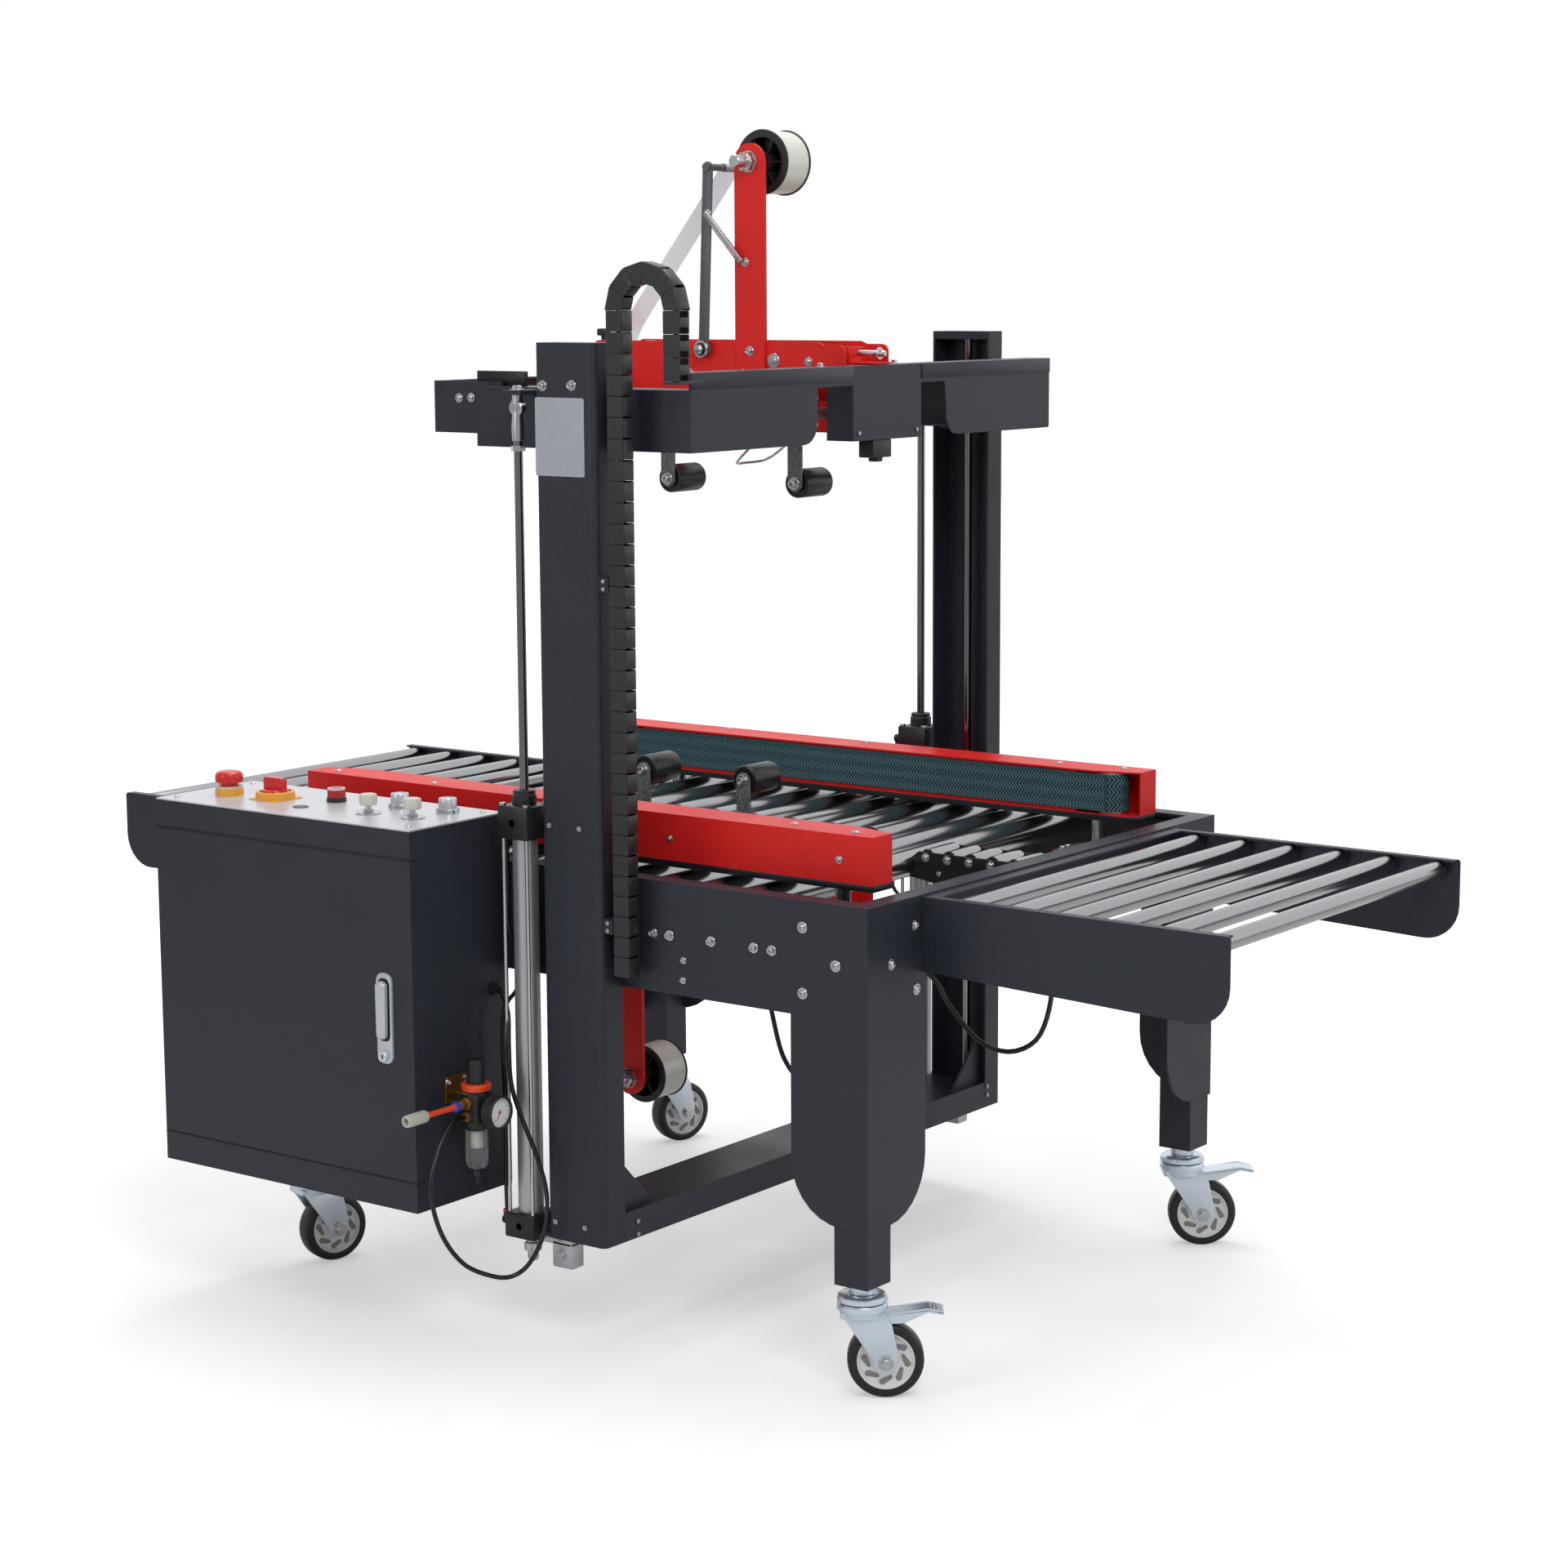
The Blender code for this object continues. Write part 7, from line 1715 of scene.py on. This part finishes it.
    def inlet(self) -> None:
        """Brass fitting with a blue collar, the orange tube in it, and the quick coupler on its end."""
        x, y, z = self.x, self.y, self.inlet_z
        brass = [(0, -0.002), (0.0082, -0.002, 1), (0.0082, 0.0060, 1), (0.0066, 0.0068), (0.0066, 0.0180),
                 (0.0060, 0.0195), (0, 0.0195)]
        self.add("inlet_fitting", [lathe(brass, bed(x, y - 0.0165, z), (0, -1, 0), 36)], YELLOW_ZINC,
                 slot="black")
        collar = [(0, 0), (0.0062, 0), (0.0062, 0.0050), (0.0072, 0.0058), (0.0072, 0.0078), (0, 0.0078)]
        self.add("inlet_collar", [lathe(collar, bed(x, y - 0.0350, z), (0, -1, 0), 36)], BLUE, slot="black")
        pipe = [(0, 0), (0.004, 0), (0.004, 0.066), (0, 0.066)]
        self.add("inlet_tube", [lathe(pipe, bed(x, y - 0.0380, z), (0, -1, 0), 28)], ORANGE, slot="black")
        coupler = [(0, 0), (0.0060, 0), (0.0078, 0.0012), (0.0085, 0.0030), (0.0085, 0.0340),
                   (0.0078, 0.0380), (0.0052, 0.0390), (0.0048, 0.0380), (0.0042, 0.0270), (0, 0.0270)]
        self.add("inlet_coupler", [lathe(coupler, bed(x, y - 0.0990, z), (0, -1, 0), 44)], COUPLER,
                 slot="black")
        nut = [(0, -0.002), (0.0062, -0.002, 1), (0.0062, 0.0055, 1), (0.0050, 0.0060), (0.0050, 0.0090),
               (0, 0.0090)]
        self.add("outlet_fitting", [lathe(nut, bed(x, y - 0.0168, 0.323), (0, -1, 0), 36)], YELLOW_ZINC,
                 slot="black")

    def hose(self) -> None:
        """The black hose: out of the regulator, down in a loop and up into the cabinet's side."""
        x = self.x
        points = [bed(*point) for point in ((x, -0.5783, 0.323), (x, -0.5903, 0.323), (x, -0.6083, 0.316),
                                            (x + 0.004, -0.636, 0.285), (x + 0.010, -0.655, 0.238),
                                            (x + 0.015, -0.642, 0.180), (x + 0.022, -0.608, 0.132),
                                            (x + 0.033, -0.565, 0.106), (x + 0.044, -0.535, 0.100),
                                            (x + 0.060, -0.516, 0.118), (x + 0.080, -0.508, 0.165),
                                            (x + 0.084, -0.508, 0.215), (x + 0.070, -0.510, 0.265),
                                            (x + 0.046, -0.512, 0.315), (x + 0.026, -0.510, 0.360),
                                            (x + 0.014, -0.500, 0.410), (x + 0.003, -0.488, 0.450),
                                            (-0.0596, -0.478, 0.474), (-0.0696, -0.476, 0.477),
                                            (-0.0770, -0.476, 0.477))]
        line = smooth_path(points, 0.006)
        hose = self.add("air_hose_tube", [tube(line, self.hose_radius, 16)], HOSE, slot="rubber",
                        replaces=("air_hose",))
        gland = [(0, 0), (0.0085, 0, 1), (0.0085, 0.0050, 1), (0.0062, 0.0055), (0.0055, 0.0110),
                 (0, 0.0110)]
        self.add("hose_gland", [lathe(gland, bed(-0.0776, -0.476, 0.477), (1, 0, 0), 36)], BLACK)


@dataclass
class CableChain(Assembly):
    """The cable chain of moulded links: a run on the column, an arch, and a run that hangs to the head."""

    x: float = 0.1535
    y: float = -0.4685
    thick: float = 0.027
    width: float = 0.024
    low: float = 0.522
    bend_z: float = 1.393
    bend_radius: float = 0.0468
    head_z: float = 1.304
    pitch: float = 0.0272
    keep: float = 0.77

    def link(self, share: float = 1.0, cover: float = 0.86, flare: float = 0.0) -> list:
        """One link about its own middle: two side plates with a pivot boss, and two cross bars.

        Args:
            share: The link's length as a share of the pitch.
            cover: How much of the link's length its cross bars close.
            flare: How much longer the link is on its outer side, and shorter on its inner, as a share.

        Returns:
            Shells in a frame whose Z runs along the chain, X across it and Y along its width.
        """
        half, wide, reach = self.thick / 2, self.width / 2, self.pitch * share / 2
        outer, inner = reach * (1 + flare), reach * (1 - flare)
        outline = rounded([(-half + 0.0006, -outer, 0.0016), (half - 0.0006, -inner, 0.0016),
                           (half - 0.0006, inner, 0.0016), (-half + 0.0006, outer, 0.0016)], 3)
        shells = []
        for side in SIDES:
            shells.append(prism(outline, "y", side * (wide - 0.0034), side * (wide - 0.0007), 0.0006, 1))
            boss = [(0, 0), (0.0072, 0), (0.0072, 0.0005), (0.0066, 0.0010), (0.0030, 0.0010),
                    (0.0026, 0.0004), (0, 0.0004)]
            shells.append(lathe(boss, (0, side * (wide - 0.0010), -reach * 0.30), (0, side, 0), 20))
        for side in SIDES:
            bar = cover * (inner if side > 0 else outer)
            shells.append(block((side * (half - 0.0032), -wide + 0.0028, -bar),
                                (side * half, wide - 0.0028, bar), 0.0008))
        return shells

    def run(self, x: float, low: float, high: float, cover: float) -> list:
        """Whole links stacked from one height to another; their length is set so that they fill it.

        Args:
            x: Where the row of links stands.
            low: The height that it starts from.
            high: The height that it reaches.
            cover: How much of each link's length its cross bars close.

        Returns:
            The shells of the row.
        """
        count = round((high - low) / self.pitch)
        share = (high - low) / count / self.pitch
        return [Shell(shell.points + bed(x, self.y, low + (k + 0.5) * share * self.pitch), shell.faces)
                for k in range(count) for shell in self.link(share * 0.985, cover)]

    def shape(self) -> None:
        """The three runs: a fixed run on the column, a run hanging to the head, and the arch between them.
        """
        fixed = self.add("chain_links_fixed", self.run(self.x, self.low, self.bend_z, 0.92), CHAIN_BLACK,
                         slot="black", replaces=("chain_fixed_run",))
        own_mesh(fixed)
        hang_x = self.x + 2 * self.bend_radius
        hanging = self.add("chain_links_hanging", self.run(hang_x, self.head_z, self.bend_z, 0.45),
                           CHAIN_BLACK, "", "black", ("chain_hanging_run",))
        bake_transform(hanging)
        count = 6
        arch = []
        for k in range(count):
            angle = math.pi * (k + 0.5) / count
            middle = bed(self.x + self.bend_radius * (1 - math.cos(angle)), self.y,
                         self.bend_z + self.bend_radius * math.sin(angle))
            share = 2 * self.bend_radius * math.tan(math.pi / count / 2) / self.pitch
            arch += [shell.carried(about_y(angle), middle)
                     for shell in self.link(share, flare=self.thick / 2 / self.bend_radius)]
        self.add("chain_links_arch", arch, CHAIN_BLACK, Body.ARCH, "black", ("chain_arch",))


@dataclass
class Caster(Assembly):
    """One swivel caster: fork and bearing discs, wheel with its tyre, and a pedal where it has a brake."""

    label: str = "outfeed_near"
    stem: tuple = (0.495, -0.4135)
    yaw: float = 37.0
    braked: bool = True
    trail: float = 0.030
    radius: float = 0.050
    half_width: float = 0.015

    def put(self, shells: list) -> list:
        """Shells laid out about the stem, the caster trailing along +X, turned and moved to their place."""
        return [shell.carried(about_z(self.yaw), bed(*self.stem, 0)) for shell in shells]

    def shape(self) -> None:
        """Fork, wheel and pedal."""
        self.fork()
        self.wheel()
        if self.braked:
            self.pedal()

    def fork(self) -> None:
        """Pressed fork: stem boss, two ball races with a seal between, crown, cheeks and axle bolt."""
        name = f"caster_{self.label}"
        races = [(0, 0.1075), (0.0255, 0.1075), (0.0285, 0.1095), (0.0290, 0.1165), (0.0330, 0.1185),
                 (0.0330, 0.1245), (0.0312, 0.1262), (0.0305, 0.1272), (0.0305, 0.1284), (0.0325, 0.1292),
                 (0.0330, 0.1310), (0.0318, 0.1362), (0.0290, 0.1380), (0.0185, 0.1380), (0.0170, 0.1392),
                 (0.0170, 0.1503), (0, 0.1503)]
        cheeks = []
        for flank in SIDES:
            outline = rounded([(-0.030, 0.1175, 0.003), (0.0290, 0.1175, 0.003), (0.0380, 0.100, 0.010),
                               (self.trail + 0.0160, 0.060, 0.010), (self.trail + 0.0120, 0.0372, 0.009),
                               (self.trail - 0.0110, 0.0372, 0.009), (self.trail - 0.0185, 0.056, 0.012)],
                              5)
            cheeks.append(prism(outline, "y", flank * 0.0185, flank * 0.0215, 0.0007))
        crown = rounded([(-0.0290, -0.0213, 0.004), (0.0250, -0.0213, 0.002), (0.0250, 0.0213, 0.002),
                         (-0.0290, 0.0213, 0.004)], 4)
        shells = [lathe(races, (0, 0, 0), sides=56), *cheeks, prism(crown, "z", 0.1085, 0.1178, 0.0012)]
        self.add(f"{name}_fork", self.put(shells), ZINC, name, "zinc", (f"caster_fork_{self.label}",))
        bolts = []
        for flank in SIDES:
            bolts += screw(np.array((self.trail, flank * 0.0215, 0.050)), (0, flank, 0), 0.0068, Recess.HEX)
        bolts.append(rod(0.0055, -0.021, 0.021, (self.trail, 0, 0.050), (0, 1, 0), 20))
        self.add(f"{name}_axle", self.put(bolts), STEEL, name)
        seal = [(0, 0.1255), (0.0308, 0.1255), (0.0308, 0.1295), (0, 0.1295)]
        self.add(f"{name}_seal", self.put([lathe(seal, (0, 0, 0), sides=44)]), DARK_STEEL, name)

    def wheel(self) -> None:
        """A rubber tyre on a dished, moulded rim with a hub; the rim's oval hollows are dark ovals of
        painted shade.
        """
        name = f"caster_wheel_{self.label}"
        h, r = self.half_width, self.radius
        place = (self.trail, 0, r)
        tyre = [(0.0372, -h + 0.0012), (0.0400, -h + 0.0002), (r - 0.0040, -h + 0.0008),
                (r - 0.0012, -h + 0.0032), (r - 0.0002, -h + 0.0065), (r, 0.0), (r - 0.0002, h - 0.0065),
                (r - 0.0012, h - 0.0032), (r - 0.0040, h - 0.0008), (0.0400, h - 0.0002),
                (0.0372, h - 0.0012)]
        self.add(f"{name}_tyre", self.put([lathe(tyre, place, (0, 1, 0), 88, ring=True)]), TYRE, name,
                 "wheel")
        rim = [(0.0062, -h - 0.0019), (0.0100, -h - 0.0019), (0.0110, -h - 0.0008), (0.0122, -0.0100),
               (0.0335, -0.0100), (0.0352, -h + 0.0016), (0.0362, -h + 0.0006), (0.0376, -h + 0.0010),
               (0.0376, h - 0.0010), (0.0362, h - 0.0006), (0.0352, h - 0.0016), (0.0335, 0.0100),
               (0.0122, 0.0100), (0.0110, h + 0.0008), (0.0100, h + 0.0019), (0.0062, h + 0.0019)]
        shells = [lathe(rim, place, (0, 1, 0), 88, ring=True)]
        # Painted shade: dark ovals on both faces of the rim's web, where its hollows lie.
        pocket_shades = []
        for k in range(8):
            turn = about_y(k * math.pi / 4).T
            for flank in SIDES:
                oval = prism(link_outline((0.0222, 0.0062), (0.0282, -0.0044), 0.0026, 8, 0.0042), "y",
                             flank * 0.0100 - 0.0006, flank * 0.0100 + 0.0006)
                pocket_shades.append(Shell(oval.points @ turn + np.array(place), oval.faces))
        self.add(f"{name}_pockets", self.put(pocket_shades), POCKET_SHADE, name)
        self.add(f"{name}_rim", self.put(shells), RIM, name, "wheel", (name,))

    def pedal(self) -> None:
        """The brake pedal: a pressed plate with rolled side flanges and grip ridges near its tip."""
        body = f"brake_{self.label}"
        root, low = 0.0258, 0.1075
        outline = [(root, low), (0.0850, low + 0.0100), (0.1050, low + 0.0060), (0.1050, low + 0.0090),
                   (0.0850, low + 0.0130), (root, low + 0.0050)]
        plate = prism(outline, "y", -0.0168, 0.0168, 0.0006, 1)
        flange = [(root + 0.004, low - 0.0070), (0.0520, low - 0.0060), (0.0850, low + 0.0085),
                  (0.1040, low + 0.0050), (0.1040, low + 0.0095), (0.0850, low + 0.0140),
                  (root + 0.004, low + 0.0060)]
        ridges = [prism(flange, "y", flank * 0.0155, flank * 0.0168, 0.0005, 1) for flank in SIDES]
        for k in range(4):
            x = 0.0880 + 0.0046 * k
            z = low + 0.0124 - (x - 0.0850) * 0.2
            ridges.append(block((x - 0.0010, -0.0150, z - 0.0010), (x + 0.0010, 0.0150, z + 0.0010),
                                0.0005))
        self.add(f"{body}_plate", self.put([plate, *ridges]), ZINC, body, "zinc",
                 (f"brake_pedal_{self.label}",))


@dataclass
class Studio:
    """Camera, lamps, world and floor, as in a catalogue picture on white."""

    place: tuple = (2.8299496, -3.6174298, 1.4340964)
    azimuth: float = 36.6751465
    elevation: float = 8.8739572
    roll: float = -0.2795937
    lens: float = 74.536
    ambient: float = 0.35
    far_side: float = 0.42
    near_glow: float = 0.38

    def build(self) -> None:
        """Set the whole stage."""
        scene = bpy.context.scene
        scene.view_settings.view_transform = "Standard"
        self.camera(scene)
        self.world(scene)
        self.floor(scene)
        self.lamp("key", (2.6, -2.2, 3.4), (0.0, 0.0, 0.9), 1.6, 46.0)
        self.lamp("front", (-1.2, -4.2, 2.2), (0.0, 0.0, 0.7), 1.8, 26.0)
        self.lamp("top", (-0.4, 0.6, 4.0), (0.0, 0.0, 0.6), 2.2, 60.0)
        self.lamp("right", (4.2, 1.2, 1.6), (0.2, 0.0, 0.7), 1.4, 11.0)

    def camera(self, scene: bpy.types.Scene) -> None:
        """The picture's own camera: it looks along its azimuth and elevation, tipped by its roll.

        Args:
            scene: The scene to set it in.
        """
        az, el, roll = (math.radians(value) for value in (self.azimuth, self.elevation, self.roll))
        forward = np.array((-math.sin(az) * math.cos(el), math.cos(az) * math.cos(el), -math.sin(el)))
        right = np.array((math.cos(az), math.sin(az), 0.0))
        up = np.cross(right, forward)
        across = right * math.cos(roll) + up * math.sin(roll)
        above = -right * math.sin(roll) + up * math.cos(roll)
        view = bpy.data.cameras.new("picture_camera")
        view.lens = self.lens
        view.sensor_width = 36.0
        view.clip_end = 100.0
        holder = bpy.data.objects.new("picture_camera", view)
        matrix = np.eye(4)
        matrix[:3] = np.column_stack([across, above, -forward, self.place])
        holder.matrix_world = Matrix(matrix.tolist())
        scene.collection.objects.link(holder)
        scene.camera = holder

    def world(self, scene: bpy.types.Scene) -> None:
        """White to the camera, to reflections and through glass; a dimmer grey as light on the object.

        Args:
            scene: The scene to light.
        """
        surroundings = bpy.data.worlds.new("studio")
        surroundings.use_nodes = True
        scene.world = surroundings
        tree = surroundings.node_tree
        path = add_node(tree, "ShaderNodeLightPath")
        ray = add_node(tree, "ShaderNodeNewGeometry").outputs["Incoming"]
        away = add_node(tree, "ShaderNodeSeparateXYZ", None, {0: ray}).outputs[1]
        room = add_node(tree, "ShaderNodeMapRange", {1: -0.35, 2: 0.55, 3: 1.0, 4: self.far_side},
                        {0: away}).outputs[0]
        mirrored = add_node(tree, "ShaderNodeMath", {"operation": "MAXIMUM"},
                            {0: path.outputs["Is Glossy Ray"],
                             1: path.outputs["Is Transmission Ray"]}).outputs[0]
        lit = add_node(tree, "ShaderNodeMix", {2: self.ambient}, {0: mirrored, 3: room}).outputs[0]
        strength = add_node(tree, "ShaderNodeMix", {3: 1.0},
                            {0: path.outputs["Is Camera Ray"], 2: lit}).outputs[0]
        background = tree.nodes["Background"]
        background.inputs["Color"].default_value = (1.0, 1.0, 1.0, 1.0)
        tree.links.new(strength, background.inputs["Strength"])

    def floor(self, scene: bpy.types.Scene) -> None:
        """A wide pale floor that keeps the shadow and, to the camera, runs out into the white backdrop.

        Args:
            scene: The scene that it lies in.
        """
        reach = 14.0
        mesh = bpy.data.meshes.new("floor")
        mesh.from_pydata([(-reach, -reach, 0), (reach, -reach, 0), (reach, reach, 0), (-reach, reach, 0)],
                         [], [(0, 1, 2, 3)])
        thing = bpy.data.objects.new("floor", mesh)
        scene.collection.objects.link(thing)
        paint = Finish("studio_floor_paint", "#f4f4f4", 0.7, 0.0, 8.0, 0.01, 0.01).material()
        tree = paint.node_tree
        place = add_node(tree, "ShaderNodeTexCoord").outputs["Object"]
        distance = add_node(tree, "ShaderNodeVectorMath", {"operation": "LENGTH"}, {0: place}).outputs[1]
        glow = add_node(tree, "ShaderNodeMapRange", {1: 1.1, 2: 3.0, 3: self.near_glow, 4: 0.95},
                        {0: distance}).outputs[0]
        seen = add_node(tree, "ShaderNodeLightPath").outputs["Is Camera Ray"]
        shown = add_node(tree, "ShaderNodeMath", {"operation": "MULTIPLY"}, {0: glow, 1: seen}).outputs[0]
        shader = tree.nodes["Principled BSDF"]
        shader.inputs["Emission Color"].default_value = (1.0, 1.0, 1.0, 1.0)
        tree.links.new(shown, shader.inputs["Emission Strength"])
        mesh.materials.append(paint)

    def lamp(self, name: str, place: tuple, target: tuple, size: float, power: float) -> None:
        """A square area lamp that looks at a point.

        Args:
            name: Its name.
            place: Where it hangs.
            target: What it looks at.
            size: Edge of the square in metres.
            power: Watts.
        """
        light = bpy.data.lights.new(name, "AREA")
        light.shape = "SQUARE"
        light.size = size
        light.energy = power
        holder = bpy.data.objects.new(name, light)
        axes = axes_for(tuple(np.array(place) - np.array(target)))
        matrix = np.eye(4)
        matrix[:3] = np.column_stack([axes[0], axes[1], axes[2], place])
        holder.matrix_world = Matrix(matrix.tolist())
        bpy.context.scene.collection.objects.link(holder)


def main() -> None:
    """Build every sub-assembly in order, logging how many pieces each adds, then the studio."""
    logging.basicConfig(level=logging.INFO, format="%(name)s: %(message)s")
    corner = (0.495, 0.4135)
    assemblies = [Bed(), Tables(), Columns(), Head(), TapeHead(), SideBelts(), Cabinet(), AirService(),
                  CableChain()]
    for end, where in ((1, "outfeed"), (-1, "infeed")):
        for side, which in ((-1, "near"), (1, "far")):
            assemblies.append(Caster(f"{where}_{which}", (end * corner[0], side * corner[1]),
                                     37.0 if end > 0 else 72.0, end > 0))
    for assembly in assemblies:
        LOG.info("%s: %d pieces", type(assembly).__name__, assembly.build())
    Studio().build()


if __name__ == "__main__":
    main()
